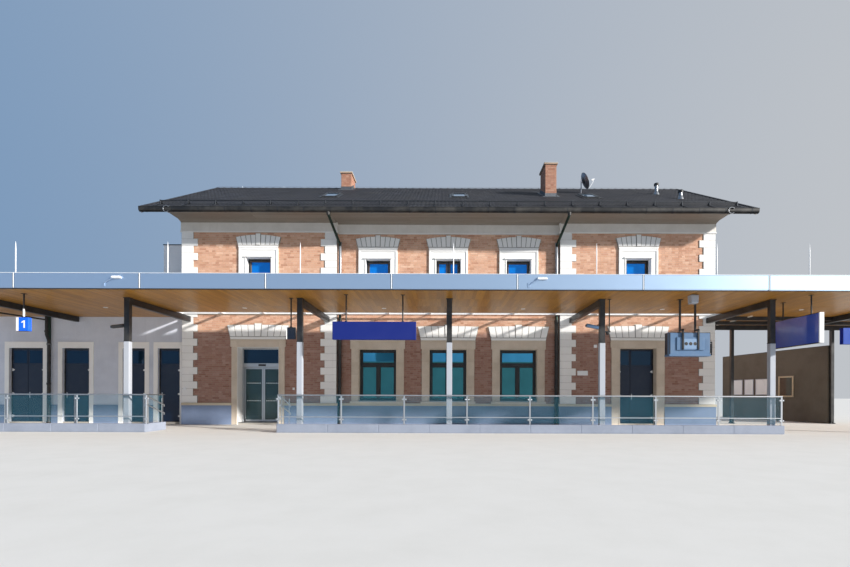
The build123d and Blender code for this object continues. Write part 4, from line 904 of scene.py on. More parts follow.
# Paler blue-grey of the service door in that housing
PLATE_COAT = Coat("pale_blue_service_door_coat", "#7490B0", roughness=0.35, dusty=0.06)
# Housing coat of the hung boards
BOARD_COAT = Coat("board_housing_coat", "#20262E", roughness=0.4, dusty=0.08)
# Window panes tinted with painted reflections: sky blue upstairs; downstairs green below the transom, light
# blue in the top lights
WINDOW_GLASS = Glazing("window_glass", "#3F8C92", mirror=0.55, bands=((2.46, "#4DB4E2"), (4.0, "#0C8CF0")))
# Clear laminated sheets of the canopy strip, dusty enough to look milky
STRIP_GLASS = Glazing("laminated_roof_glass", "#E6EFF0", alpha=0.1, roughness=0.15)
# Clear glass with a green edge in the railings; its teal-blue tint is partly a painted reflection of the sky
RAILING_GLASS = Glazing("railing_glass", "#2B7086", alpha=0.12)
# Dark panes: the display's screen, the roof windows and the lights of the doors
DARK_GLASS = Glazing("screen_glass", "#14181C", mirror=0.3)
ROOF_PANE = Glazing("roof_window_glass", "#6F8CA8", mirror=0.6)
DOOR_PANE = Glazing("door_pane_glass", "#1B3A52", mirror=0.5)
DOOR_GLASS = Glazing("entrance_glass", "#4E6E74", alpha=0.55, mirror=0.2)

SLOT_FINISHES = {
    "brick": LIME_MORTAR, "light_stone": WHITE_STONE, "warm_stone": SANDSTONE, "plinth_render": PLINTH_RENDER,
    "white_render": WING_RENDER, "concrete": CONCRETE, "dark_render": DARK_RENDER, "roof_tiles": ROOF_TILE,
    "painted_timber": EAVE_TIMBER, "dark_sheet": BLACK_SHEET, "copper": AGED_COPPER, "galvanised": ZINC_STEEL,
    "dark_steel": STEEL_COAT, "white_steel": WHITE_COAT, "panel_aluminium": FASCIA_PANEL,
    "ceiling_timber": CEILING_BOARDS, "deck_membrane": ROOF_MEMBRANE, "door_coat": DOOR_COAT,
    "frame_coat": FRAME_COAT, "door_aluminium": ANODISED, "glass": WINDOW_GLASS, "blue_enamel": BLUE_ENAMEL,
    "board_coat": BOARD_COAT,
}
NODE_FINISHES = {
    "flat_arches": STONE_JOINT, "quoins": STONE_JOINT, "snow_guards": OLD_ZINC,
    "plinth_cap": CAP_RENDER, "side_annex": ANNEX_RENDER, "balustrade_kerbs": KERB_STONE,
    "frieze": FRIEZE_PAINT, "canopy_glass": STRIP_GLASS,
    "balustrade_glass": RAILING_GLASS, "entrance_glass_left": DOOR_GLASS, "entrance_glass_right": DOOR_GLASS,
}


def dress_frame() -> None:
    """Gives every CAD node the finish of its slot, or its own where it has one."""
    slots = {row["node"]: row["material_slot"] for row in frame["record"]["subparts"]}
    for name, node in frame["nodes"].items():
        finish = NODE_FINISHES.get(name) or SLOT_FINISHES[slots[name]]
        for place in node.material_slots:
            place.material = finish.material()


@dataclass(frozen=True)
class WallFace:
    """One flat face of brickwork: where it starts, which way it runs and how high it goes."""

    start: tuple[float, float]
    turn: float
    length: float
    low: float
    high: float

    @property
    def along(self) -> Vector:
        """The direction in which the face runs, seen from outside from left to right."""
        return Vector((math.cos(self.turn), math.sin(self.turn), 0))

    @property
    def outward(self) -> Vector:
        """The direction out of the wall."""
        return Vector((math.sin(self.turn), -math.cos(self.turn), 0))

    def point(self, distance: float, level: float) -> Vector:
        """A point on the face."""
        return Vector((*self.start, level)) + self.along * distance


class Survey:
    """Finds where a wall's face is free, by feeling for the CAD surface from just outside it."""

    stand = 0.13
    step = 0.06

    def __init__(self, nodes: Sequence[str], hidden: Sequence[str]) -> None:
        """Collects the surfaces.

        Args:
            nodes: the CAD nodes that make up the walls and what covers them.
            hidden: nodes whose boxes hide what lies inside them.
        """
        verts = []
        faces = []
        for name in nodes:
            mesh = frame["nodes"][name].data
            start = len(verts)
            verts += [vert.co.copy() for vert in mesh.vertices]
            faces += [tuple(start + index for index in polygon.vertices) for polygon in mesh.polygons]
        self.tree = BVHTree.FromPolygons(verts, faces)
        self.boxes = [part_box(name) for name in hidden]

    def free(self, face: WallFace, distance: float, level: float) -> bool:
        """True if the bare wall shows at a place on the face.

        Args:
            face: the face of the wall.
            distance: how far along the face.
            level: how high.

        Returns:
            True if nothing covers the wall there.
        """
        point = face.point(distance, level) + face.outward * self.stand
        if any(all(low[k] < point[k] < high[k] for k in range(3)) for low, high in self.boxes):
            return False
        hit, _, _, gap = self.tree.ray_cast(point, -face.outward, self.stand + 0.02)
        return hit is not None and abs(gap - self.stand) < 0.003

    def edge(self, face: WallFace, level: float, free: float, blocked: float) -> float:
        """Closes in on the place where the bare wall ends.

        Args:
            face: the face of the wall.
            level: how high.
            free: a place where the wall is bare.
            blocked: a place where it is covered.

        Returns:
            The place between the two where the bare wall ends.
        """
        for _ in range(6):
            middle = (free + blocked) / 2
            if self.free(face, middle, level):
                free = middle
            else:
                blocked = middle
        return free

    def runs(self, face: WallFace, level: float) -> list[tuple[float, float]]:
        """Lists the stretches of bare wall along one course.

        Args:
            face: the face of the wall.
            level: the middle level of the course.

        Returns:
            The start and the end of each stretch.
        """
        count = math.ceil(face.length / self.step)
        places = [min(0.002 + index * self.step, face.length - 0.002) for index in range(count + 1)]
        found = []
        start = None
        for index, place in enumerate(places):
            is_free = self.free(face, place, level)
            if is_free and start is None:
                start = place if index == 0 else self.edge(face, level, place, places[index - 1])
            elif not is_free and start is not None:
                found.append((start, self.edge(face, level, places[index - 1], place)))
                start = None
        if start is not None:
            found.append((start, face.length))
        return found


@dataclass(frozen=True)
class Opening:
    """A window or door: the middle of its foot on the wall's face, and the way the wall is turned."""

    x: float
    y: float
    turn: float = 0.0

    @property
    def place(self) -> Matrix:
        """Puts a piece made about the opening's own axis, with Y into the wall, in its place."""
        return at(self.x, self.y, 0) @ spin(self.turn, "Z")


@dataclass
class Elevations:
    """Where the walls and their openings are."""

    side: float = 10.19
    front: float = 4.92
    centre: float = 4.3
    recess: float = 0.18
    axes: tuple[float, ...] = (-7.27, -2.72, 0.0, 2.72, 7.27)
    gable_axis: float = 2.4
    door_halves: tuple[float, float] = (0.795, 0.7)
    door_head: float = 2.97
    lower_half: float = 0.725
    lower_sill: float = 0.905
    lower_head: float = 2.92
    lower_top: float = 3.26
    upper_half: float = 0.48
    upper_sill: float = 4.85
    upper_head: float = 6.4
    upper_top: float = 6.75
    reveal: float = 0.19

    def front_opening(self, x: float) -> Opening:
        """An opening on the platform side."""
        return Opening(x, -self.front + (self.recess if abs(x) < self.centre else 0))

    def rear_opening(self, x: float) -> Opening:
        """An opening on the street side."""
        return Opening(x, self.front - (self.recess if abs(x) < self.centre else 0), math.pi)

    def gable_openings(self) -> list[Opening]:
        """The openings of the right gable wall."""
        return [Opening(self.side, y, math.pi / 2) for y in (-self.gable_axis, self.gable_axis)]

    def lower_windows(self) -> list[Opening]:
        """All ground floor windows."""
        front = [self.front_opening(x) for x in self.axes if abs(x) < self.centre]
        return front + [self.rear_opening(x) for x in self.axes] + self.gable_openings()

    def upper_windows(self) -> list[Opening]:
        """All upper windows, the platform side's first."""
        both = [opening(x) for opening in (self.front_opening, self.rear_opening) for x in self.axes]
        return both + self.gable_openings() + [Opening(-self.side, self.gable_axis, -math.pi / 2)]

    def doors(self) -> list[Opening]:
        """The entrance and the service door."""
        return [self.front_opening(self.axes[0]), self.front_opening(self.axes[-1])]


class Bond(Enum):
    """How the bricks of one course lie."""

    STRETCHERS = "long sides out"
    HEADERS = "ends out"


@dataclass
class Brickwork(Elevations):
    """Facing bricks in cross bond on every bare stretch of wall and on the chimneys."""

    brick_long: float = 0.25
    brick_short: float = 0.12
    brick_high: float = 0.065
    joint: float = 0.01
    proud: float = 0.007
    bedded: float = 0.004
    shortest: float = 0.03
    base: float = 0.825
    stack_reach: float = 2.2
    wall_top: float = 7.38
    ridge: float = 11.1
    stacks: tuple[tuple[float, float, float], ...] = ((4.39, -2.3, 11.03), (-4.82, 0.0, 11.68))
    stack_width: float = 0.47
    stack_depth: float = 1.0
    wall_nodes: tuple[str, ...] = (
        "front_wall_centre", "front_piers", "front_walls_over_doors", "rear_wall", "gable_wall_right",
        "gable_wall_left", "quoins", "frieze", "plinth_cap", "plinth", "window_surrounds", "door_surrounds",
        "upper_surrounds", "flat_arches", "roof_slope_front", "roof_slope_rear", "eaves", "chimneys",
        "canopy_deck", "wing_roof", "side_annex", "glazing_bars", "canopy_beams", "roof_timbers")

    def build(self, repeater: Repeater) -> None:
        """Lays the bricks of the four walls and of the chimneys.

        Args:
            repeater: sets copies of one piece on a layout.
        """
        survey = Survey(self.wall_nodes, ("side_annex", "wing_roof", "wing_piers"))
        for name, faces in self.faces().items():
            layout = Layout()
            for face in faces:
                self.lay(survey, face, layout)
            brick = Workpiece(name)
            brick.block((-0.5, -self.proud, -0.5), (0.5, self.bedded, 0.5))
            repeater.fit(brick, layout, FACING_BRICK, "brick", seed=len(layout.places))

    def faces(self) -> dict[str, list[WallFace]]:
        """The faces of each piece of brickwork.

        Returns:
            The faces under the name of their piece.
        """
        half_turn, quarter = math.pi, math.pi / 2
        wing = self.side - self.centre
        front = [
            WallFace((-self.side, -self.front), 0, wing, self.base, self.wall_top),
            WallFace((-self.centre, -self.front + self.recess), 0, 2 * self.centre, self.base, self.wall_top),
            WallFace((self.centre, -self.front), 0, wing, self.base, self.wall_top)]
        rear = [WallFace((self.side, self.front), half_turn, wing, self.base, self.wall_top),
                WallFace((self.centre, self.front - self.recess), half_turn, 2 * self.centre, self.base,
                         self.wall_top),
                WallFace((-self.centre, self.front), half_turn, wing, self.base, self.wall_top)]
        right = [WallFace((self.side, -self.front), quarter, 2 * self.front, self.base, self.ridge)]
        left = [WallFace((-self.side, self.front), -quarter, 2 * self.front, self.base, self.ridge)]
        stacks = []
        for x, y, top in self.stacks:
            x0, x1 = x - self.stack_width / 2, x + self.stack_width / 2
            y0, y1 = y - self.stack_depth / 2, y + self.stack_depth / 2
            foot = top - self.stack_reach
            stacks += [WallFace((x0, y0), 0, self.stack_width, foot, top),
                       WallFace((x1, y0), quarter, self.stack_depth, foot, top),
                       WallFace((x1, y1), half_turn, self.stack_width, foot, top),
                       WallFace((x0, y1), -quarter, self.stack_depth, foot, top)]
        return {"bricks_front": front, "bricks_rear": rear, "bricks_right_gable": right,
                "bricks_left_gable": left, "bricks_chimneys": stacks}

    def lay(self, survey: Survey, face: WallFace, layout: Layout) -> None:
        """Lays one face, course by course.

        Args:
            survey: says where the wall is bare.
            face: the face.
            layout: takes the bricks.
        """
        course = self.brick_high + self.joint
        for number in range(int((face.high - face.low) / course)):
            level = face.low + (number + 0.5) * course
            bond = Bond.HEADERS if number % 2 else Bond.STRETCHERS
            brick = self.brick_short if bond is Bond.HEADERS else self.brick_long
            pitch = brick + self.joint
            shift = {0: 0.0, 1: -pitch / 4, 2: -pitch / 2, 3: -pitch / 4}[number % 4]
            for start, end in survey.runs(face, level):
                first = math.floor((start - shift) / pitch)
                place = shift + first * pitch
                while place < end:
                    left = max(place, start + self.joint / 2)
                    right = min(place + brick, end - self.joint / 2)
                    if right - left > self.shortest:
                        layout.add(face.point((left + right) / 2, level), (0, 0, face.turn),
                                   (right - left, 1, self.brick_high))
                    place += pitch


@dataclass
class Masonry(Elevations):
    """Dressed blocks over the plain stone: quoins, window and door surrounds, sills and frieze."""

    course_count: int = 24
    stack_low: float = 0.825
    stack_high: float = 7.38
    quoin_long: float = 0.59
    quoin_short: float = 0.43
    quoin_face: float = 0.025
    surround_face: float = 0.04
    proud: float = 0.008
    joint: float = 0.006
    bevel: float = 0.006
    sunk: float = 0.01
    lower_outer: float = 1.015
    ear: float = 0.045
    hood: float = 0.05
    bead: float = 0.03
    upper_outer: float = 0.75
    upper_band: float = 0.075
    string_levels: tuple[float, float] = (7.36, 7.4)
    string_reach: float = 0.065

    def build(self, repeater: Repeater) -> None:
        """Builds all dressed stone.

        Args:
            repeater: sets copies of one piece on a layout; not used.
        """
        self.quoins()
        self.lower_surrounds()
        self.upper_surrounds()
        self.frieze_mouldings()

    def slab(self, work: Workpiece, left: float, right: float, low: float, high: float, face: float,
             place: Matrix) -> None:
        """Adds one dressed block that stands proud of a face, with half a joint left all round.

        Args:
            work: takes the block.
            left: its left edge.
            right: its right edge.
            low: its foot.
            high: its head.
            face: how far the plain stone stands out.
            place: where the wall is.
        """
        gap = self.joint / 2
        work.block((left + gap, -face - self.proud, low + gap), (right - gap, -face + self.sunk, high - gap),
                   self.bevel, place)

    def quoins(self) -> None:
        """Corner blocks, long and short in turn, on both faces of each corner."""
        work = Workpiece("quoin_blocks")
        course = (self.stack_high - self.stack_low) / self.course_count
        p = self.quoin_face
        wing_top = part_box("wing_roof")[1].z
        for number in range(self.course_count):
            low = self.stack_low + number * course
            long, short = (self.quoin_long, self.quoin_short)[:: 1 if number % 2 == 0 else -1]
            for turn in (0.0, math.pi):
                wall = spin(turn, "Z") @ at(0, -self.front, 0)
                for side in (-1, 1):
                    in_wing = turn == 0.0 and side < 0 and low < wing_top
                    edge = self.side if in_wing else self.side + p
                    outer = sorted((side * edge, side * (self.side - long)))
                    inner = sorted((side * (self.centre - p), side * (self.centre + long)))
                    self.slab(work, *outer, low, low + course, p, wall)
                    self.slab(work, *inner, low, low + course, p, wall)
                    if not in_wing:
                        reach = self.front + p
                        gable = spin(turn + side * math.pi / 2, "Z") @ at(0, -self.side, 0)
                        ends = sorted((-side * reach, -side * (self.front - short)))
                        self.slab(work, *ends, low, low + course, p, gable)
        work.fit(WHITE_STONE, "light_stone")

    def stack(self, work: Workpiece, left: float, right: float, levels: Sequence[float],
              place: Matrix) -> None:
        """Adds one leg of a surround, block on block."""
        for low, high in zip(levels, levels[1:]):
            self.slab(work, left, right, low, high, self.surround_face, place)

    def lower_surrounds(self) -> None:
        """Sandstone legs of five blocks, an eared lintel and a moulded sill at each ground floor opening."""
        work = Workpiece("sandstone_blocks")
        top = self.lower_top
        outer, ear, hood = self.lower_outer, self.ear, self.hood
        entrance, service = ([door] for door in self.doors())
        for openings, half, foot, lintel in ((self.lower_windows(), self.lower_half, self.lower_sill,
                                              self.lower_head),
                                             (entrance, self.door_halves[0], 0.0, self.door_head),
                                             (service, self.door_halves[1], 0.0, self.door_head)):
            count = 4 if foot else 6
            levels = [foot + index * (lintel - foot) / count for index in range(count + 1)]
            for opening in openings:
                place = opening.place
                self.stack(work, -outer, -half, levels, place)
                self.stack(work, half, outer, levels, place)
                for left, right in ((-outer - ear, -half), (-half, half), (half, outer + ear)):
                    self.slab(work, left, right, lintel, top - hood, self.surround_face, place)
                reach = outer + ear
                face = self.surround_face
                work.block((-reach, -face - 0.035, top - hood), (reach, -face + self.sunk, top), self.bevel,
                           place)
                bead = self.bead
                for side in (-1, 1):
                    work.block((side * half, -face - 0.02, foot),
                               (side * (half + bead), -face + self.sunk, lintel + bead), self.bevel, place)
                work.block((-half, -face - 0.02, lintel), (half, -face + self.sunk, lintel + bead),
                           self.bevel, place)
        work.fit(SANDSTONE, "warm_stone")

    def upper_surrounds(self) -> None:
        """White architraves of the upper windows: an outer band, an inner bead, a small hood and a sill."""
        work = Workpiece("upper_architraves")
        sill, head, top = self.upper_sill, self.upper_head, self.upper_top
        half, outer = self.upper_half, self.upper_outer
        face, band = self.surround_face, self.upper_band
        for opening in self.upper_windows():
            place = opening.place
            for side in (-1, 1):
                work.block((side * outer, -face - 0.022, sill),
                           (side * (outer - band), -face + self.sunk, top), self.bevel, place)
                work.block((side * half, -face - 0.018, sill),
                           (side * (half + 0.035), -face + self.sunk, head), self.bevel, place)
            inner = outer - band
            work.block((-inner, -face - 0.022, top - band), (inner, -face + self.sunk, top), self.bevel,
                       place)
            work.block((-half - 0.08, -face - 0.05, head), (half + 0.08, -face + self.sunk, head + 0.045),
                       self.bevel, place)
            work.block((-half - 0.035, -face - 0.03, head + 0.045),
                       (half + 0.035, -face + self.sunk, head + 0.08), self.bevel, place)
        work.fit(WHITE_STONE, "light_stone")

    def frieze_mouldings(self) -> None:
        """A thin white string at the foot of the frieze, all round the walls."""
        work = Workpiece("frieze_string")
        low, high = self.string_levels
        reach = self.string_reach
        end = self.side + reach
        for turn in (0.0, math.pi):
            wall = spin(turn, "Z") @ at(0, -self.front, 0)
            for left, right in ((-end, -self.centre + reach), (self.centre - reach, end)):
                work.block((left, -reach, low), (right, self.sunk, high), 0.004, wall)
            work.block((-self.centre + reach, -reach + self.recess, low),
                       (self.centre - reach, self.sunk + self.recess, high), 0.004, wall)
            gable = spin(turn + math.pi / 2, "Z") @ at(0, -self.side, 0)
            work.block((-self.front, -reach, low), (self.front, self.sunk, high), 0.004, gable)
        work.fit(WHITE_STONE, "light_stone")


@dataclass
class Tiling(Elevations):
    """Tiles on both slopes, ridge tiles, verge tiles and the lattice of the snow guards."""

    eave: float = 5.9
    eave_top: float = 7.94
    pitch: float = math.radians(28.5)
    reach: float = 11.17
    rows: int = 20
    columns: int = 74
    overhang: float = 0.03
    tile_thick: float = 0.016
    lap: float = 0.05
    wave: float = 0.011
    ridge_pitch: float = 0.336
    guard_from_eave: float = 0.42
    guard_high: float = 0.2
    guard_reach: float = 10.74
    wire_pitch: float = 0.05
    tile_lift: float = 0.004
    ridge_sunk: float = 0.055
    stack_sites: tuple[tuple[float, float], ...] = ((4.39, -2.3), (-4.82, 0.0))
    windows: tuple[float, ...] = (-4.98, 0.47, 6.0)
    window_run: tuple[float, float] = (2.7, 3.6)

    @property
    def slope(self) -> float:
        """The length of a slope from the eave to the ridge."""
        return self.eave / math.cos(self.pitch)

    @property
    def row(self) -> float:
        """How far one row of tiles lies above the last."""
        return (self.slope + self.overhang) / self.rows

    @property
    def column(self) -> float:
        """The width that one tile covers."""
        return 2 * self.reach / self.columns

    def on_slope(self, side: int, x: float, distance: float, height: float = 0.0) -> Vector:
        """A point on a slope: -1 is the platform side, distance is measured up from the eave."""
        y = side * (self.eave - distance * math.cos(self.pitch) + height * math.sin(self.pitch))
        return Vector((x, y, self.eave_top + distance * math.sin(self.pitch) + height * math.cos(self.pitch)))

    def build(self, repeater: Repeater) -> None:
        """Covers the roof.

        Args:
            repeater: sets copies of one piece on a layout.
        """
        self.lay_tiles(repeater)
        self.lay_ridge(repeater)
        self.lay_verges(repeater)
        self.guard_wires(repeater)

    def tile(self, name: str) -> Workpiece:
        """One tile with a shallow double wave, its foot on the origin and its back up the slope.

        Args:
            name: the name of the piece.

        Returns:
            The tile.
        """
        work = Workpiece(name)
        half = self.column / 2
        long = self.row + self.lap
        steps = 8
        section = []
        for step in range(steps + 1):
            share = step / steps
            section.append((-half + share * self.column, self.wave * (1 - math.cos(4 * math.pi * share)) / 2))
        outline = [(x, z + self.tile_thick) for x, z in section] + [(x, z) for x, z in reversed(section)]
        work.prism(outline, 0, long, "xzy")
        return work

    def lay_tiles(self, repeater: Repeater) -> None:
        """Sets the tiles row by row, each row resting on the one below, clear of what stands in the roof.

        Args:
            repeater: sets copies of one piece on a layout.
        """
        tilt = math.atan2(self.tile_thick + self.tile_lift, self.row)
        start, end = self.window_run
        for side, name in ((-1, "tiles_platform_side"), (1, "tiles_street_side")):
            layout = Layout()
            for row in range(self.rows):
                for column in range(self.columns):
                    x = -self.reach + (column + 0.5) * self.column
                    foot = row * self.row - self.overhang
                    place = self.on_slope(side, x, foot, self.tile_thick + self.tile_lift)
                    middle = self.on_slope(side, x, foot + self.row / 2)
                    in_stack = any(abs(middle.x - site[0]) < 0.1 and abs(middle.y - site[1]) < 0.35
                                   for site in self.stack_sites)
                    in_window = side < 0 and start < middle.y + self.eave < end - 0.1 and any(
                        abs(middle.x - window) < 0.15 for window in self.windows)
                    if not in_stack and not in_window:
                        turn = 0.0 if side < 0 else math.pi
                        layout.add(place, (self.pitch - tilt, 0, turn))
            repeater.fit(self.tile(name), layout, ROOF_TILE, "roof_tiles", seed=side + 2)

    def lay_ridge(self, repeater: Repeater) -> None:
        """Half-round ridge tiles, each with a thicker collar over the end of the next.

        Args:
            repeater: sets copies of one piece on a layout.
        """
        work = Workpiece("ridge_tiles")
        steps = 10
        thick = 0.016
        squash = 0.72
        rings = ((0.0, 0.15), (0.055, 0.15), (0.06, 0.135), (self.ridge_pitch + 0.03, 0.128))
        arc = [math.pi * step / steps for step in range(steps + 1)]
        work.skin([[(along, reach * math.cos(angle), squash * reach * math.sin(angle))
                    for reach, angles in ((radius, arc), (radius - thick, arc[::-1])) for angle in angles]
                   for along, radius in rings])
        layout = Layout()
        level = self.eave_top + self.eave * math.tan(self.pitch) - self.ridge_sunk
        count = round(2 * self.reach / self.ridge_pitch)
        pitch = (2 * self.reach - 0.03) / count
        for number in range(count):
            layout.add((-self.reach + number * pitch, 0, level), (0, 0, 0))
        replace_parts(repeater.fit(work, layout, ROOF_TILE, "roof_tiles", seed=5), "roof_ridge")

    def lay_verges(self, repeater: Repeater) -> None:
        """Angle tiles that close the side of the tiling, one for each row.

        Args:
            repeater: sets copies of one piece on a layout.
        """
        work = Workpiece("verge_tiles")
        long = self.row + 0.03
        outline = [(-0.1, 0.045), (0.012, 0.045), (0.012, -0.1), (0.0, -0.1), (0.0, 0.032), (-0.1, 0.032)]
        work.prism(outline, 0, long, "xzy")
        layout = Layout()
        for side in (-1, 1):
            for end in (-1, 1):
                for row in range(self.rows):
                    place = self.on_slope(side, end * self.reach, row * self.row - self.overhang, 0.01)
                    turn = 0.0 if side < 0 else math.pi
                    mirrored = 1 if end * side < 0 else -1
                    layout.add(place, (self.pitch, 0, turn), (mirrored, 1, 1))
        copies = repeater.fit(work, layout, ROOF_TILE, "roof_tiles", seed=6)
        turn_outwards(copies.data)

    def guard_wires(self, repeater: Repeater) -> None:
        """Fine upright wires between the rails of the snow guards.

        Args:
            repeater: sets copies of one piece on a layout.
        """
        work = Workpiece("snow_guard_wires")
        foot = 0.04
        work.pad((0, 0), (0.003, 0.003), (foot, self.guard_high - 0.01))
        layout = Layout()
        y = self.eave - self.guard_from_eave
        level = self.eave_top + self.guard_from_eave * math.tan(self.pitch)
        for side in (-1, 1):
            for number in range(int(2 * self.guard_reach / self.wire_pitch)):
                layout.add((-self.guard_reach + (number + 0.5) * self.wire_pitch, side * y, level))
        repeater.fit(work, layout, STEEL_COAT, "galvanised", seed=7)
        lines = Workpiece("snow_guard_lines")
        for side in (-1, 1):
            for height in (0.06, 0.14):
                lines.pad((0, side * y), (self.guard_reach, 0.003), (level + height, level + height + 0.006))
        lines.fit(STEEL_COAT, "galvanised")


@dataclass
class RoofEdge(Tiling):
    """Gutters, soffit boards, the pipes above the canopy and the conductor on the ridge."""

    end: float = 11.14
    board: float = 5.925
    gutter_half: float = 0.092
    gutter_level: float = 7.815
    gutter_top: float = 7.895
    sheet: float = 0.004
    soffit: float = 7.795
    pipe: tuple[float, float] = (4.158, 4.882)
    outlet: float = 4.35
    straps: int = 24
    clips: int = 23

    def build(self, repeater: Repeater) -> None:
        """Builds the eaves of both long sides.

        Args:
            repeater: sets copies of one piece on a layout; not used.
        """
        self.gutters()
        self.soffit_boards()
        self.pipes()
        self.conductor()

    def trough(self, side: int, swell: float, thick: float) -> list[Point]:
        """The outline of a gutter or a band round it, in Y and Z.

        Args:
            side: -1 for the platform side, 1 for the other.
            swell: how far it lies outside the gutter.
            thick: how thick the sheet is.

        Returns:
            The outline.
        """
        middle = self.board + 0.002 + self.gutter_half
        steps = 12
        angles = [math.pi + math.pi * step / steps for step in range(steps + 1)]
        outline = []
        for radius, order in ((self.gutter_half + swell, 1), (self.gutter_half + swell - thick, -1)):
            arc = [(middle + radius * math.cos(angle), self.gutter_level + radius * math.sin(angle))
                   for angle in angles]
            edge = [(middle - radius, self.gutter_top), *arc, (middle + radius, self.gutter_top)]
            outline += edge[::order]
        return [(side * y, z) for y, z in outline]

    def gutters(self) -> None:
        """U-shaped gutters with a rolled bead, seam bands, straps, stop ends and outlets."""
        work = Workpiece("gutter_sheets")
        straps = Workpiece("gutter_straps")
        middle = self.board + 0.002 + self.gutter_half
        for side in (-1, 1):
            work.prism(self.trough(side, 0.0, self.sheet), -self.end, self.end, "yzx")
            lip = side * (middle + self.gutter_half)
            work.tube([(-self.end, lip, self.gutter_top), (self.end, lip, self.gutter_top)], 0.011, 10)
            for end in (-1, 1):
                cap = [(side * (middle - self.gutter_half), self.gutter_top)]
                cap += [(side * (middle + self.gutter_half * math.cos(math.pi + math.pi * step / 12)),
                         self.gutter_level + self.gutter_half * math.sin(math.pi + math.pi * step / 12))
                        for step in range(13)]
                cap += [(side * (middle + self.gutter_half), self.gutter_top)]
                work.prism(cap, end * (self.end - 0.004), end * (self.end + 0.004), "yzx")
            for number in range(1, 8):
                x = -self.end + number * 2 * self.end / 8
                work.prism(self.trough(side, 0.003, 0.005), x - 0.03, x + 0.03, "yzx")
            for x in spread(-self.end + 0.25, self.end - 0.25, self.straps):
                straps.prism(self.trough(side, 0.005, 0.004), x - 0.014, x + 0.014, "yzx")
            for end in (-1, 1):
                place = at(end * self.outlet, side * (self.board + 0.085), 7.64)
                work.lathe([(0.056, 0), (0.058, 0.03), (0.075, 0.09), (0.075, 0.11)], place, 16)
        sheets = work.fit(BLACK_SHEET, "dark_sheet", smooth=35)
        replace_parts(sheets, "gutters")
        straps.fit(OLD_ZINC, "galvanised", smooth=35)
        rings = Workpiece("eave_loops")
        for end in (-1, 1):
            centre = Vector((end * 10.13, -self.board - 0.21, 7.8))
            rings.tube([centre + 0.11 * Vector((math.cos(a), 0, math.sin(a)))
                        for a in [math.radians(40 + 16 * step) for step in range(18)]], 0.013, 10)
            rings.tube([centre + Vector((0.084, 0, 0.071)), centre + Vector((0.06, 0.1, 0.14))], 0.013, 10)
        rings.fit(ZINC_STEEL, "galvanised", smooth=50)

    def soffit_boards(self) -> None:
        """Planed boards under the eaves, a cove at the wall and a drip bead on the eave board."""
        work = Workpiece("soffit_boards")
        pitch = 0.152
        for side in (-1, 1):
            for left, right, wall in ((-self.side - 0.04, -self.centre, self.front + 0.045),
                                      (-self.centre, self.centre, self.front - self.recess + 0.045),
                                      (self.centre, self.side + 0.04, self.front + 0.045)):
                y = self.board - 0.05
                while y > wall + 0.03:
                    low = max(y - pitch + 0.006, wall + 0.004)
                    count = max(round((right - left) / 3.2), 1)
                    for number in range(count):
                        x0 = left + number * (right - left) / count
                        x1 = left + (number + 1) * (right - left) / count
                        work.block((x0, side * y, self.soffit - 0.012),
                                   (x1 - 0.003, side * low, self.soffit + 0.002), 0.005)
                    y -= pitch
                cove = [(wall - 0.002, self.soffit - 0.012), (wall + 0.075, self.soffit - 0.012),
                        (wall + 0.066, self.soffit - 0.03), (wall + 0.036, self.soffit - 0.044),
                        (wall + 0.016, self.soffit - 0.066), (wall - 0.002, self.soffit - 0.075)]
                work.prism([(side * y0, z0) for y0, z0 in cove], left, right, "yzx")
            work.block((-self.end, side * (self.board - 0.002), self.soffit - 0.028),
                       (self.end, side * (self.board + 0.006), self.soffit + 0.022), 0.004)
        work.fit(EAVE_TIMBER, "painted_timber")

    def pipes(self) -> None:
        """Zinc pipes over the canopy with seams, sockets and wall straps."""
        work = Workpiece("zinc_pipes")
        x, y = self.pipe
        for side in (-1, 1):
            for end in (-1, 1):
                foot = 4.3 if side < 0 else 4.0
                place = at(end * x, side * y, 0)
                work.lathe([(0.057, foot), (0.057, 5.55), (0.063, 5.56), (0.063, 5.62), (0.057, 5.63),
                            (0.057, 6.92), (0.064, 6.93), (0.064, 7.0), (0.056, 7.01)], place, 18)
                for level in (4.85, 6.35):
                    work.lathe([(0.06, level), (0.066, level + 0.003), (0.066, level + 0.027),
                                (0.06, level + 0.03)], place, 18)
                    work.block((end * x - 0.012, side * (self.front - 0.03), level),
                               (end * x + 0.012, side * y, level + 0.03), 0.003)
        work.fit(ZINC_STEEL, "galvanised", smooth=40)

    def conductor(self) -> None:
        """The lightning conductor along the ridge and down the verges, on its clips."""
        work = Workpiece("ridge_conductor")
        top = self.eave_top + self.eave * math.tan(self.pitch) + 0.1
        work.tube([(-self.end, 0, top), (-5.15, 0, top)], 0.004, 6)
        work.tube([(-4.5, 0, top), (self.end, 0, top)], 0.004, 6)
        for x in spread(-self.end + 0.2, self.end - 0.2, self.clips):
            if abs(x - self.stack_sites[1][0]) > 0.4:
                work.pad((x, 0), (0.006, 0.006), (top - 0.06, top + 0.006), 0.002)
        work.fit(ZINC_STEEL, "galvanised")


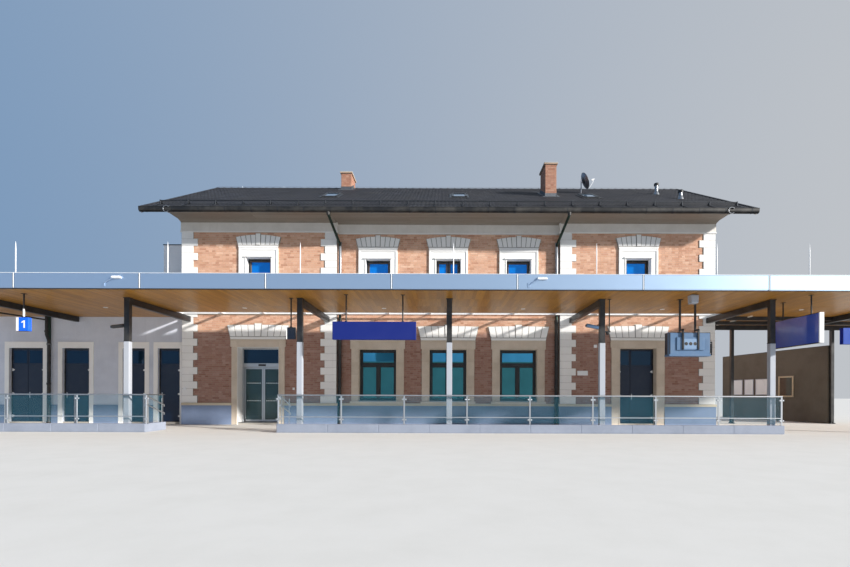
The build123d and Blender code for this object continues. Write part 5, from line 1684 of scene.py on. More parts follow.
@dataclass
class RoofFittings(Tiling):
    """Chimney crowns and flashings, roof windows, vents, the dish and the edges of the flat roofs."""

    stacks: tuple[tuple[float, float, float], ...] = ((4.39, -2.3, 11.1), (-4.82, 0.0, 11.75))
    stack_half: tuple[float, float] = (0.235, 0.5)
    vents: tuple[tuple[float, float, float], ...] = ((9.3, -1.9, 10.62), (9.64, -3.4, 9.68))
    guard_plate_count: int = 22
    flat_copings: tuple[tuple[Point, Point], ...] = (((-17.785, -4.82, 4.392), (-17.66, 1.19, 4.416)),
                                                     ((-17.785, 1.1, 4.392), (-10.19, 1.2, 4.416)),
                                                     ((-11.515, -3.945, 7.172), (-11.41, 0.905, 7.204)),
                                                     ((-11.515, -3.945, 7.172), (-10.19, -3.84, 7.204)),
                                                     ((-11.515, 0.8, 7.172), (-10.19, 0.905, 7.204)))
    flat_sheets: tuple[tuple[Point, float, float, float, int], ...] = (
        ((-17.66, -4.81, 4.398), 1.1, 0.95, 1.02, 8), ((-11.41, -3.84, 7.188), 0.8, 0.61, 0.66, 2))
    flat_skirts: tuple[tuple[Point, Point], ...] = (
        ((-11.5, -3.935, 4.4), (-11.484, 0.895, 4.52)), ((-11.5, -3.935, 4.4), (-10.19, -3.915, 4.52)),
        ((-11.5, 0.875, 4.4), (-10.19, 0.895, 4.52)))
    dish: Point = (6.12, -1.7, 10.8)
    dish_turn: float = math.radians(65)
    dish_radius: float = 0.355
    dish_pole: float = 6.0

    def build(self, repeater: Repeater) -> None:
        """Builds all fittings.

        Args:
            repeater: sets copies of one piece on a layout; not used.
        """
        self.chimney_parts()
        self.roof_windows()
        self.vent_parts()
        self.flat_roof_edges()
        self.guard_plates()
        self.dish_parts()

    def guard_plates(self) -> None:
        """Dark plates of the snow guards with a foot that hooks down the slope."""
        work = Workpiece("snow_guard_plates")
        inner = self.guard_reach - 0.024
        for side in (-1, 1):
            for x in spread(-inner, inner, self.guard_plate_count):
                foot = self.on_slope(side, x, self.guard_from_eave / math.cos(self.pitch))
                work.pad((x, foot.y + side * 0.016), (0.02, 0.008),
                         (foot.z + 0.03, foot.z + self.guard_high + 0.012), 0.003)
                place = Matrix.Translation(foot) @ spin(self.pitch if side < 0 else -self.pitch, "X")
                work.block((-0.02, -0.02 * side, 0.042), (0.02, 0.42 * side, 0.052), 0.002, place)
        work.fit(OLD_ZINC, "galvanised")

    def dish_parts(self) -> None:
        """The rolled rim, the ribbed back plate, the feed arm and the feed of the dish."""
        rim = self.dish_radius
        place = Matrix.Translation(self.dish) @ spin(self.dish_turn, "Y")
        edge = Workpiece("dish_rim")
        ring = [(rim * math.cos(2 * math.pi * step / 32), rim * math.sin(2 * math.pi * step / 32), 0.068)
                for step in range(33)]
        edge.tube(ring, 0.007, 8, place)
        edge.pad((0, 0), (0.09, 0.07), (-0.03, -0.008), 0.004, place)
        edge.fit(STEEL_COAT, "dark_steel", smooth=40)
        feed = Workpiece("dish_feed")
        feed.tube([(0.345, 0, 0.06), (0.36, 0, 0.12), (0.2, 0, 0.36), (0.14, 0, 0.4)], 0.011, 10, place)
        feed.lathe([(0.022, 0.33), (0.034, 0.335), (0.034, 0.4), (0.024, 0.42), (0.024, 0.47),
                    (0.012, 0.48)], place @ at(0.1, 0, 0), 16)
        feed.lathe([(0.034, -0.06), (0.034, 0.07), (0.027, 0.075)], at(self.dish_pole, *self.dish[1:]), 14)
        feed.fit(WHITE_COAT, "white_steel", smooth=40)

    def level(self, y: float) -> float:
        """The height of the roof slab at that depth."""
        return self.eave_top + (self.eave - abs(y)) * math.tan(self.pitch)

    def chimney_parts(self) -> None:
        """Concrete crowns with a drip edge and flue rings, and lead flashing in the slope."""
        crowns = Workpiece("chimney_crowns")
        flues = Workpiece("flue_rings")
        lead = Workpiece("chimney_flashing")
        half, deep = self.stack_half
        for x, y, top in self.stacks:
            crowns.pad((x, y), (half + 0.062, deep + 0.062), (top - 0.034, top + 0.004), 0.01)
            rings = [[(x - a, y - b, z), (x + a, y - b, z), (x + a, y + b, z), (x - a, y + b, z)]
                     for a, b, z in ((half + 0.05, deep + 0.05, top), (half - 0.04, deep - 0.04, top + 0.04))]
            crowns.skin(rings)
            for offset in (-0.26, 0.26):
                flues.lathe([(0.1, 0), (0.1, 0.05), (0.08, 0.055), (0.08, 0.02)],
                            at(x, y + offset, top + 0.025), 20)
            y0, y1 = y - deep - 0.03, y + deep + 0.03
            places = sorted({y0, y1, 0.0} if y0 < 0 < y1 else {y0, y1})
            low = [(place, self.level(place) + 0.03) for place in places]
            high = [(place, self.level(place) + 0.19) for place in reversed(places)]
            for side in (-1, 1):
                edge = x + side * half
                lead.prism(low + high, edge, edge + side * 0.02, "yzx")
                base = [(place, self.level(place) + 0.052) for place in places]
                under = [(place, self.level(place) + 0.03) for place in reversed(places)]
                lead.prism(base + under, edge, edge + side * 0.13, "yzx")
            for depth, side in ((y - deep, -1), (y + deep, 1)):
                z = self.level(depth)
                lead.block((x - half - 0.02, depth, z - 0.02),
                           (x + half + 0.02, depth + side * 0.02, z + 0.17), 0.004)
                far = depth + side * 0.16
                lead.prism([(depth, z + 0.05), (far, self.level(far) + 0.055), (far, self.level(far) + 0.02),
                            (depth, z)], x - half - 0.13, x + half + 0.13, "yzx")
        crowns.fit(CONCRETE, "concrete")
        flues.fit(BLACK_SHEET, "dark_sheet", smooth=40)
        lead.fit(LEAD_SHEET, "dark_sheet")

    def roof_windows(self) -> None:
        """Frames, panes, a hood and an apron of each roof window, in the plane of the slope."""
        frames = Workpiece("roof_window_frames")
        panes = Workpiece("roof_window_panes")
        start, end = (run / math.cos(self.pitch) for run in self.window_run)
        half, long = 0.275, end - start
        for x in self.windows:
            place = Matrix.Translation(self.on_slope(-1, x, start)) @ spin(self.pitch, "X")
            for low, high in (((-half - 0.05, -0.03, 0.0), (-half + 0.035, long + 0.04, 0.086)),
                              ((half - 0.035, -0.03, 0.0), (half + 0.05, long + 0.04, 0.086)),
                              ((-half + 0.036, -0.03, 0.0), (half - 0.036, 0.05, 0.08)),
                              ((-half - 0.055, long - 0.06, 0.0), (half + 0.055, long + 0.05, 0.094))):
                frames.block(low, high, 0.008, place)
            frames.block((-half - 0.14, -0.2, 0.02), (half + 0.14, -0.031, 0.05), 0.005, place)
            for side in (-1, 1):
                frames.block((side * (half + 0.051), -0.03, 0.02),
                             (side * (half + 0.13), long + 0.05, 0.052), 0.005, place)
            panes.block((-half + 0.037, 0.051, 0.04), (half - 0.037, long - 0.061, 0.07), 0.003, place)
        frames.fit(FRAME_COAT, "frame_coat")
        panes.fit(ROOF_PANE, "glass")

    def vent_parts(self) -> None:
        """Zinc pipes with a dark cowl and a flashing cone."""
        pipes = Workpiece("vent_pipes")
        cowls = Workpiece("vent_cowls")
        for x, y, top in self.vents:
            foot = self.level(y)
            place = at(x, y, 0)
            pipes.lathe([(0.13, foot - 0.02), (0.082, foot + 0.14), (0.07, foot + 0.15),
                         (0.07, top - 0.085)], place, 18)
            cowls.lathe([(0.098, top - 0.1), (0.104, top - 0.094), (0.104, top - 0.012),
                         (0.086, top + 0.01), (0.03, top + 0.024), (0.01, top + 0.025)], place, 20)
        pipes.fit(ZINC_STEEL, "galvanised", smooth=40)
        cowls.fit(BLACK_SHEET, "dark_sheet", smooth=40)

    def flat_roof_edges(self) -> None:
        """Folded copings of the wing and the annex, lapped sheets on them and a skirt at the walls."""
        work = Workpiece("flat_roof_copings")
        for low, high in self.flat_copings:
            work.block(low, high, 0.005)
        work.fit(BLACK_SHEET, "dark_sheet")
        sheets = Workpiece("flat_roof_sheets")
        for low, far, pitch, wide, count in self.flat_sheets:
            for number in range(count):
                x = low[0] + number * pitch
                lap = 0.004 * (number % 2)
                sheets.block((x, *low[1:]), (min(x + wide, -self.side), far, low[2] + 0.007 + lap), 0.002)
        for low, high in self.flat_skirts:
            sheets.block(low, high, 0.003)
        sheets.fit(ROOF_MEMBRANE, "deck_membrane")


@dataclass
class FlatArches(Elevations):
    """Wedge stones of the splayed flat arches over a plain fillet, each arch with a raised keystone."""

    stones: int = 9
    joint: float = 0.018
    bevel: float = 0.011
    face: float = 0.06
    key_face: float = 0.08
    proud: float = 0.008
    sunk: float = 0.01
    fillet: float = 0.095
    key_rise: float = 0.045
    lower_widths: tuple[float, float] = (2.1, 2.36)
    lower_arch: tuple[float, float] = (3.26, 3.79)
    lower_rise: float = 0.03
    upper_widths: tuple[float, float] = (1.5, 1.72)
    upper_arch: tuple[float, float] = (6.75, 7.17)
    upper_rise: float = 0.09

    def build(self, repeater: Repeater) -> None:
        """Sets the stones of all arches.

        Args:
            repeater: sets copies of one piece on a layout; not used.
        """
        work = Workpiece("arch_stones")
        for opening in self.lower_windows() + self.doors():
            self.arch(work, opening.place, self.lower_widths, self.lower_arch, self.lower_rise)
        for opening in self.upper_windows():
            self.arch(work, opening.place, self.upper_widths, self.upper_arch, self.upper_rise)
        work.fit(WHITE_STONE, "light_stone")

    def arch(self, work: Workpiece, place: Matrix, widths: Point, levels: Point, rise: float) -> None:
        """Adds one arch.

        Args:
            work: takes the stones.
            place: where the opening is.
            widths: the arch's width at its foot and at its top.
            levels: the levels of its foot and its springing top.
            rise: how far the crown lies over that top.
        """
        foot, top = levels

        def across(share: float, level: float) -> float:
            """A share of the arch's width at a level."""
            width = widths[0] + (widths[1] - widths[0]) * (level - foot) / (top - foot)
            return share * width

        start = foot + self.fillet
        corners = [(across(-0.5, foot), foot), (across(0.5, foot), foot), (across(0.5, start), start),
                   (across(-0.5, start), start)]
        work.prism(corners, -self.face + self.sunk, -self.face - self.proud, "xzy", place, self.bevel)
        gap = self.joint / 2
        low = start + self.joint
        for number in range(self.stones):
            left, right = number / self.stones - 0.5, (number + 1) / self.stones - 0.5
            crown = [top + rise * (1 - 4 * share ** 2) for share in (left, right)]
            face = self.face
            if number == self.stones // 2:
                crown = [top + rise + self.key_rise] * 2
                face = self.key_face
            outline = [(across(left, low) + gap, low), (across(right, low) - gap, low),
                       (across(right, crown[1]) - gap, crown[1]), (across(left, crown[0]) + gap, crown[0])]
            work.prism(outline, -face + self.sunk, -face - self.proud, "xzy", place, self.bevel)


@dataclass
class Joinery(Elevations):
    """Linings of the openings, casements with their beads, and folded sills."""

    frame: float = 0.07
    sash: float = 0.036
    bead: float = 0.014
    transom: float = 2.32
    lining: float = 0.012
    door_depths: tuple[float, float] = (0.42, 0.22)
    bevel: float = 0.003

    def build(self, repeater: Repeater) -> None:
        """Fits out every opening.

        Args:
            repeater: sets copies of one piece on a layout; not used.
        """
        self.linings()
        self.casements()
        self.sills()

    def line(self, work: Workpiece, place: Matrix, half: float, low: float, high: float,
             depth: float) -> None:
        """Lines the jambs and the head of one opening from its surround to its frame.

        Args:
            work: takes the lining.
            place: where the opening is.
            half: half of its width.
            low: its foot.
            high: its head.
            depth: how far back the lining reaches.
        """
        thick = self.lining
        for side in (-1, 1):
            work.block((side * (half + 0.002), -0.041, low), (side * (half - thick), depth, high), self.bevel,
                       place)
        work.block((-half, -0.041, high - thick), (half, depth, high + 0.002), self.bevel, place)

    def linings(self) -> None:
        """Stone linings: white above, sandstone on the ground floor and white in the deep entrance."""
        upper = Workpiece("upper_linings")
        for opening in self.upper_windows():
            self.line(upper, opening.place, self.upper_half, self.upper_sill, self.upper_head, self.reveal)
        entrance = self.doors()[0]
        self.line(upper, entrance.place, self.door_halves[0], 0.0, self.door_head, self.door_depths[0])
        upper.fit(WHITE_STONE, "light_stone")
        lower = Workpiece("lower_linings")
        for opening in self.lower_windows():
            self.line(lower, opening.place, self.lower_half, self.lower_sill, self.lower_head, self.reveal)
        self.line(lower, self.doors()[1].place, self.door_halves[1], 0.0, self.door_head, self.door_depths[1])
        lower.fit(SANDSTONE, "warm_stone")

    def casement(self, work: Workpiece, place: Matrix, left: float, right: float, low: float,
                 high: float) -> None:
        """Adds one casement of four bevelled members with a glazing bead inside.

        Args:
            work: takes the members.
            place: where the opening is.
            left: its left edge.
            right: its right edge.
            low: its foot.
            high: its head.
        """
        for width, front, back in ((self.sash, 0.01, 0.046), (self.sash + self.bead, 0.024, 0.046)):
            depths = (self.reveal + front, self.reveal + back)
            work.border((left, right, low, high), width, depths, self.bevel, place)

    def casements(self) -> None:
        """Casements of all windows."""
        gap = 0.004
        half_bar = self.frame / 2
        lower = Workpiece("lower_casements")
        inner = self.lower_half - self.frame - gap
        foot, head = self.lower_sill + self.frame + gap, self.lower_head - self.frame - gap
        for opening in self.lower_windows():
            place = opening.place
            self.casement(lower, place, -inner, inner, self.transom + half_bar + gap, head)
            self.casement(lower, place, -inner, -half_bar - gap, foot, self.transom - half_bar - gap)
            self.casement(lower, place, half_bar + gap, inner, foot, self.transom - half_bar - gap)
        lower.fit(FRAME_COAT, "frame_coat")
        upper = Workpiece("upper_casements")
        inner = self.upper_half - self.frame - gap
        foot, head = self.upper_sill + self.frame + gap, self.upper_head - self.frame - gap
        for number, opening in enumerate(self.upper_windows()):
            place = opening.place
            if number == self.axes.index(0.0):
                self.casement(upper, place, -inner, -half_bar - gap, foot, head)
                self.casement(upper, place, half_bar + gap, inner, foot, head)
            else:
                self.casement(upper, place, -inner, inner, foot, head)
        upper.fit(SASH_COAT, "frame_coat")

    def sills(self) -> None:
        """Folded sheet sills that drain each window over its stone sill."""
        work = Workpiece("folded_sills")
        for openings, half, level in ((self.lower_windows(), self.lower_half, self.lower_sill),
                                      (self.upper_windows(), self.upper_half, self.upper_sill)):
            outline = [(0.2, 0.032), (0.2, 0.026), (-0.098, 0.006), (-0.098, -0.022), (-0.102, -0.022),
                       (-0.102, 0.012)]
            sheet = [(y, level + z) for y, z in outline]
            for opening in openings:
                work.prism(sheet, -half + 0.013, half - 0.013, "yzx", opening.place)
                for side in (-1, 1):
                    work.block((side * (half - 0.012), -0.098, level),
                               (side * (half - 0.02), self.reveal, level + 0.05), 0.002, opening.place)
        work.fit(SILL_SHEET, "white_steel")


@dataclass
class Entrance(Elevations):
    """The sliding entrance's trim: transom cover, sensor, threshold, and the leaves' rails and marks."""

    frame_face: float = -4.5
    leaf_face: float = -4.39
    leaf_back: float = -4.344
    glass_face: float = -4.377
    leaf_width: float = 0.752
    meeting: float = 0.003
    leaf_foot: float = 0.088
    leaf_head: float = 2.212
    stile: float = 0.06
    mark_levels: tuple[float, float] = (1.6, 0.905)
    mark: float = 0.034
    mark_pitch: float = 0.062
    header: tuple[float, float] = (2.215, 2.375)
    trim_levels: tuple[float, float] = (0.09, 2.955)
    sill_bars: int = 9
    sill_front: float = -4.96
    sill_pitch: float = 0.05

    def build(self, repeater: Repeater) -> None:
        """Builds the fixed trim, then each leaf's.

        Args:
            repeater: sets copies of one piece on a layout; not used.
        """
        x = self.axes[0]
        half = self.door_halves[0]
        trim = Workpiece("entrance_trim")
        y = self.frame_face
        low, high = self.header
        foot, head = self.trim_levels
        trim.block((x - half + 0.012, y - 0.014, low), (x + half - 0.012, y + 0.01, high), 0.006)
        for side in (-1, 1):
            trim.block((x + side * (half - 0.012), y - 0.008, foot),
                       (x + side * (half - 0.05), y + 0.01, head), 0.004)
        trim.block((x - half + 0.05, y - 0.008, head - 0.035), (x + half - 0.05, y + 0.01, head), 0.004)
        trim.fit(ANODISED, "door_aluminium")
        pane = Workpiece("transom_pane")
        pane.block((x - half + 0.052, y + 0.012, high + 0.005), (x + half - 0.052, y + 0.018, head - 0.037),
                   0.001)
        pane.fit(DOOR_PANE, "glass")
        sill = Workpiece("entrance_threshold")
        for number in range(self.sill_bars):
            start = self.sill_front + number * self.sill_pitch
            sill.block((x - half + 0.015, start, 0.08), (x + half - 0.015, start + 0.042, 0.086), 0.002)
        sill.fit(ZINC_STEEL, "galvanised")
        sensor = Workpiece("door_sensor")
        sensor.prism([(y - 0.012, 2.262), (y - 0.05, 2.268), (y - 0.064, 2.3), (y - 0.05, 2.335),
                      (y - 0.012, 2.34)], x - 0.14, x + 0.14, "yzx", bevel=0.006)
        sensor.lathe([(0.02, 0), (0.02, 0.006), (0.012, 0.012)],
                     at(x, y - 0.06, 2.3) @ spin(math.pi / 2, "X"), 16)
        sensor.fit(FRAME_COAT, "frame_coat")
        for side, name in ((-1, "left"), (1, "right")):
            self.leaf(x, side, name)

    def leaf(self, x: float, side: int, name: str) -> None:
        """Trims one leaf: bevelled stiles and rails, rubber edge and rows of safety marks.

        Args:
            x: the middle of the entrance.
            side: -1 for the left leaf, 1 for the right one.
            name: the side's name in the leaf's body.
        """
        start, end = sorted((x + side * self.meeting, x + side * (self.meeting + self.leaf_width)))
        rails = Workpiece(f"leaf_rails_{name}")
        for front, back in ((self.leaf_face - 0.003, self.leaf_face + 0.01),
                            (self.leaf_back - 0.01, self.leaf_back + 0.003)):
            rails.block((start + 0.004, front, self.leaf_foot),
                        (start + self.stile - 0.004, back, self.leaf_head), 0.003)
            rails.block((end - self.stile + 0.004, front, self.leaf_foot),
                        (end - 0.004, back, self.leaf_head), 0.003)
            for low, high in ((self.leaf_foot, self.leaf_foot + 0.075),
                              (self.leaf_head - 0.062, self.leaf_head)):
                rails.block((start + self.stile, front, low), (end - self.stile, back, high), 0.003)
        rails.fit(ANODISED, "door_aluminium", f"entrance_leaf_{name}")
        seal = Workpiece(f"leaf_seal_{name}")
        edge = x + side * (self.meeting - 0.001)
        seal.block((edge, self.leaf_face + 0.006, self.leaf_foot),
                   (edge + side * 0.006, self.leaf_back - 0.006, self.leaf_head), 0.001)
        seal.fit(RUBBER, "frame_coat", f"entrance_leaf_{name}")
        marks = Workpiece(f"safety_marks_{name}")
        count = int((self.leaf_width - 2 * self.stile - 0.03) / self.mark_pitch)
        first = (start + end) / 2 - (count - 1) * self.mark_pitch / 2
        for level in self.mark_levels:
            for number in range(count):
                middle = first + number * self.mark_pitch
                marks.block((middle - self.mark / 2, self.glass_face - 0.0012, level - self.mark / 2),
                            (middle + self.mark / 2, self.glass_face + 0.001, level + self.mark / 2), 0.0005)
        marks.fit(WHITE_ENAMEL, "white_steel", f"entrance_leaf_{name}")


@dataclass(frozen=True)
class Leaf:
    """One hinged leaf: its body, edges, face, head, hinge side and whether it has the lever."""

    body: str
    left: float
    right: float
    face: float
    head: float
    hinge: int
    lever: bool = True


@dataclass
class DoorFurniture:
    """Glazed tops, weather bars, levers and hinge knuckles of the hinged doors."""

    foot: float = 0.088
    pane_low: float = 2.335
    hinge_levels: tuple[float, ...] = (0.3, 1.16, 2.08)
    hinge_offset: float = 0.013
    lever_level: float = 1.14
    lever_plate: tuple[float, float] = (1.0, 1.22)
    lock_level: float = 1.045
    leaves: tuple[Leaf, ...] = (
        Leaf("service_door_narrow", 6.623, 7.053, -4.7, 2.917, -1, False),
        Leaf("service_door_wide", 7.065, 7.917, -4.7, 2.917, 1),
        Leaf("wing_door_1_left", -16.857, -16.261, -4.72, 2.867, -1, False),
        Leaf("wing_door_1_right", -16.249, -15.653, -4.72, 2.867, 1),
        Leaf("wing_door_2", -14.807, -13.873, -4.72, 2.867, 1),
        Leaf("wing_door_3", -12.477, -11.733, -4.72, 2.867, 1),
        Leaf("wing_door_4", -11.127, -10.383, -4.72, 2.867, 1))

    def build(self, repeater: Repeater) -> None:
        """Fits out every leaf.

        Args:
            repeater: sets copies of one piece on a layout; not used.
        """
        for leaf in self.leaves:
            self.dress(leaf)
        self.hinges()

    def dress(self, leaf: Leaf) -> None:
        """Adds the pane, its beads, the raised field and the lever of one leaf.

        Args:
            leaf: the leaf.
        """
        y = leaf.face
        pane = Workpiece(f"pane_{leaf.body}")
        left, right, high = leaf.left + 0.045, leaf.right - 0.045, leaf.head - 0.045
        pane.block((left, y - 0.003, self.pane_low), (right, y + 0.012, high), 0.001)
        pane.fit(DOOR_PANE, "glass", leaf.body)
        beads = Workpiece(f"beads_{leaf.body}")
        width = 0.018
        beads.border((left - width, right + width, self.pane_low - width, high + width), width,
                     (y - 0.009, y + 0.005), 0.003)
        beads.block((leaf.left + 0.02, y - 0.004, self.foot + 0.02),
                    (leaf.right - 0.02, y + 0.01, self.pane_low - 0.075), 0.004)
        beads.prism([(y + 0.004, self.foot + 0.01), (y - 0.022, self.foot + 0.01),
                     (y - 0.022, self.foot + 0.02), (y + 0.004, self.foot + 0.05)], leaf.left + 0.01,
                    leaf.right - 0.01, "yzx")
        beads.fit(DOOR_COAT, "door_coat", leaf.body)
        straps = Workpiece(f"hinge_straps_{leaf.body}")
        edge = leaf.right if leaf.hinge > 0 else leaf.left
        for level in self.hinge_levels:
            outline = [(edge - leaf.hinge * 0.004, level - 0.052), (edge - leaf.hinge * 0.004, level + 0.052),
                       (edge - leaf.hinge * 0.075, level + 0.014), (edge - leaf.hinge * 0.075, level - 0.014)]
            straps.prism(outline, y + 0.002, y - 0.009, "xzy", bevel=0.002)
            for along, up in ((0.02, -0.026), (0.02, 0.026), (0.056, 0.0)):
                straps.lathe([(0.007, 0), (0.007, 0.002), (0.004, 0.004)],
                             at(edge - leaf.hinge * along, y - 0.009, level + up) @ spin(math.pi / 2, "X"),
                             10)
        straps.fit(WHITE_COAT, "galvanised", leaf.body)
        if leaf.lever:
            self.lever(leaf)

    def lever(self, leaf: Leaf) -> None:
        """Adds a lever on a long plate and a push-button lock beside the free edge.

        Args:
            leaf: the leaf.
        """
        free = leaf.left + 0.055 if leaf.hinge > 0 else leaf.right - 0.055
        inward = 1 if leaf.hinge > 0 else -1
        work = Workpiece(f"lever_{leaf.body}")
        y, z = leaf.face, self.lever_level
        low, high = self.lever_plate
        work.block((free - 0.018, y - 0.01, low), (free + 0.018, y + 0.005, high), 0.004)
        turn = spin(math.pi / 2, "X")
        work.lathe([(0.011, 0), (0.011, 0.03), (0.009, 0.034)], at(free, y - 0.008, z) @ turn, 14)
        work.tube([(free, y - 0.036, z), (free + inward * 0.02, y - 0.04, z),
                   (free + inward * 0.12, y - 0.04, z - 0.002), (free + inward * 0.13, y - 0.03, z - 0.002)],
                  0.008, 10)
        work.lathe([(0.008, 0), (0.008, 0.006), (0.005, 0.008)], at(free, y - 0.009, self.lock_level) @ turn,
                   14)
        work.fit(ANODISED, "door_aluminium", leaf.body)

    def hinges(self) -> None:
        """Light turned hinge knuckles with their pin heads, on the axis of each hinge."""
        work = Workpiece("hinge_knuckles")
        for leaf in self.leaves:
            edge = leaf.left - 0.004 if leaf.hinge < 0 else leaf.right + 0.004
            for level in self.hinge_levels:
                place = at(edge, leaf.face - self.hinge_offset, level - 0.055)
                work.lathe([(0.006, 0), (0.012, 0.004), (0.0125, 0.012), (0.0115, 0.054), (0.0105, 0.055),
                            (0.0115, 0.056), (0.0125, 0.098), (0.012, 0.106), (0.006, 0.11)], place, 14)
        work.fit(HINGE_STEEL, "galvanised", smooth=40)


@dataclass
class Canopy:
    """The platform canopy: ceiling boards, fascia cassettes, sheeted deck, glazed strip, posts and beams."""

    left: float = -17.725
    right: float = 17.975
    face: float = -9.72
    panels: int = 10
    low: float = 4.15
    high: float = 4.58
    ceiling: float = 4.13
    deck: float = 4.4
    side: float = 10.19
    hall_left: float = 10.4
    wing_back: float = -4.82
    strip_back: float = -6.02
    hall_back: float = -3.02
    board: float = 0.118
    board_gap: float = 0.004
    post_line: float = -8.52
    posts: tuple[float, ...] = (-14.28, -9.91, -4.6, 0.0, 4.7, 9.93, 14.4)
    hall_posts: tuple[float, ...] = (11.95, 16.155)
    sleeve_top: float = 2.77
    drains: tuple[float, ...] = (-15.3, -8.0, 0.0, 8.0, 15.6)
    rods: tuple[float, ...] = (-12.56, -8.16, -4.33, 0.1, 4.24, 7.72, 10.4)
    rod_line: float = -9.44
    wire_clips: int = 36
    post_half: tuple[float, float] = (0.08, 0.07)
    sleeve_seam: float = 1.1
    hall_line: float = -3.13
    beam_half: float = 0.06
    beam_low: float = 3.93
    downlights: tuple[float, float, int] = (-16.55, 16.875, 8)
    downlight_line: float = -6.85
    purlins: tuple[float, ...] = (-5.35, -4.25)
    light_bar: tuple[float, float, float] = (11.2, -5.6, -3.35)
    floodlights: tuple[float, ...] = (-9.55, 2.5)
    speaker: tuple[float, float] = (7.14, -9.25)

    def build(self, repeater: Repeater) -> None:
        """Builds every part of the canopy.

        Args:
            repeater: sets copies of one piece on a layout.
        """
        self.ceiling_boards(repeater)
        self.fascia()
        self.deck_sheets()
        self.glazed_strip()
        self.post_parts()
        self.beam_parts()
        self.lightning_rods()
        self.lamps()

    def zones(self) -> list[tuple[float, float, float]]:
        """Left edge, right edge and back of the ceiling's three parts."""
        return [(self.left, -self.side, self.wing_back), (-self.side, self.hall_left, self.strip_back),
                (self.hall_left, self.right, self.hall_back)]

    def ceiling_boards(self, repeater: Repeater) -> None:
        """Narrow laminate boards across the canopy, in rows that meet at a fine joint.

        Args:
            repeater: sets copies of one piece on a layout.
        """
        work = Workpiece("ceiling_boards")
        work.block((0.0, -0.5, -0.004), (1.0, 0.5, 0.004))
        layout = Layout()
        row = 1.2
        for left, right, back in self.zones():
            start = self.face + 0.055
            count = max(round((back - 0.004 - start) / row), 1)
            long = (back - 0.004 - start) / count
            for line in range(count):
                y = start + line * long
                place = left + 0.003
                while place < right - 0.02:
                    wide = min(self.board, right - 0.003 - place)
                    layout.add((place + wide / 2, y, self.ceiling - 0.004), (0, 0, math.pi / 2),
                               (long - self.board_gap, wide - self.board_gap, 1))
                    place += self.board
        repeater.fit(work, layout, CEILING_BOARDS, "ceiling_timber", seed=11)

    def fascia(self) -> None:
        """Rounded cassettes, light joint strips flanked by painted shadow lines, a coping and a dark drip
        rail.
        """
        pitch = (self.right - self.left) / self.panels
        joints = [self.left] + [self.left + (index + 0.5) * pitch
                                for index in range(self.panels)] + [self.right]
        sheets = Workpiece("fascia_cassettes")
        strips = Workpiece("fascia_cover_strips")
        joint_shadows = Workpiece("fascia_seams")
        gap = 0.012
        for left, right in zip(joints, joints[1:]):
            sheets.block((left + gap, self.face - 0.008, self.low + 0.012),
                         (right - gap, self.face + 0.004, self.high - 0.004), 0.006)
        for x in joints[1:-1]:
            # Dark strips either side of each cover strip: painted shadow lines over the real joint gap
            joint_shadows.block((x - 0.026, self.face - 0.01, self.low + 0.008),
                        (x + 0.026, self.face + 0.002, self.high - 0.003), 0.002)
            strips.block((x - 0.011, self.face - 0.015, self.low + 0.006),
                         (x + 0.011, self.face + 0.002, self.high), 0.004)
        rail = Workpiece("fascia_drip_rail")
        coping = Workpiece("fascia_coping")
        back = {self.left: self.wing_back, self.right: self.hall_back}
        for x, inward in ((self.left, 1), (self.right, -1)):
            depth = back[x]
            count = round((depth - self.face) / 2.4)
            for number in range(count):
                y0 = self.face + number * (depth - self.face) / count + gap
                y1 = self.face + (number + 1) * (depth - self.face) / count - gap
                sheets.block((x - inward * 0.058, y0, self.low + 0.012),
                             (x - inward * 0.046, y1, self.high - 0.004), 0.006)
            coping.block((x - inward * 0.056, self.face - 0.012, self.high - 0.002),
                         (x + inward * 0.006, depth, self.high + 0.012), 0.005)
            rail.block((x - inward * 0.046, self.face + 0.012, self.low - 0.022),
                       (x, depth, self.low + 0.006), 0.003)
        coping.block((self.left - 0.056, self.face - 0.014, self.high - 0.002),
                     (self.right + 0.056, self.face + 0.058, self.high + 0.012), 0.005)
        rail.block((self.left - 0.04, self.face + 0.004, self.low - 0.022),
                   (self.right + 0.04, self.face + 0.046, self.low + 0.006), 0.003)
        sheets.fit(FASCIA_PANEL, "panel_aluminium")
        strips.fit(COVER_STRIP, "panel_aluminium")
        joint_shadows.fit(STEEL_COAT, "dark_steel")
        coping.fit(COVER_STRIP, "panel_aluminium")
        rail.fit(STEEL_COAT, "dark_steel")

    def deck_sheets(self) -> None:
        """Lapped bitumen sheets with an upstand behind the fascia, and domed roof drains."""
        work = Workpiece("deck_sheets")
        wide, lap, thick = 1.0, 0.08, 0.005
        for left, right, back in self.zones():
            count = math.ceil((right - left) / wide)
            for number in range(count):
                x0 = left + number * wide
                x1 = min(x0 + wide + lap, right)
                lift = 0.004 * (number % 2)
                start, end = self.face + 0.05, back - 0.002
                work.prism([(start, self.deck), (end, self.deck), (end, self.deck + thick + lift),
                            (start + 0.07, self.deck + thick + lift), (start + 0.012, self.deck + 0.07),
                            (start, self.deck + 0.07)], x0, x1, "yzx")
        work.fit(ROOF_MEMBRANE, "deck_membrane")
        drains = Workpiece("roof_drains")
        for x in self.drains:
            place = at(x, -7.4, self.deck + 0.004)
            drains.lathe([(0.17, 0), (0.17, 0.012), (0.12, 0.018), (0.11, 0.05), (0.06, 0.075),
                          (0.012, 0.08)], place, 20)
            for step in range(10):
                turn = place @ spin(2 * math.pi * step / 10, "Z")
                drains.block((0.1, -0.006, 0.012), (0.125, 0.006, 0.062), 0.002, turn)
        drains.fit(BLACK_SHEET, "dark_sheet")

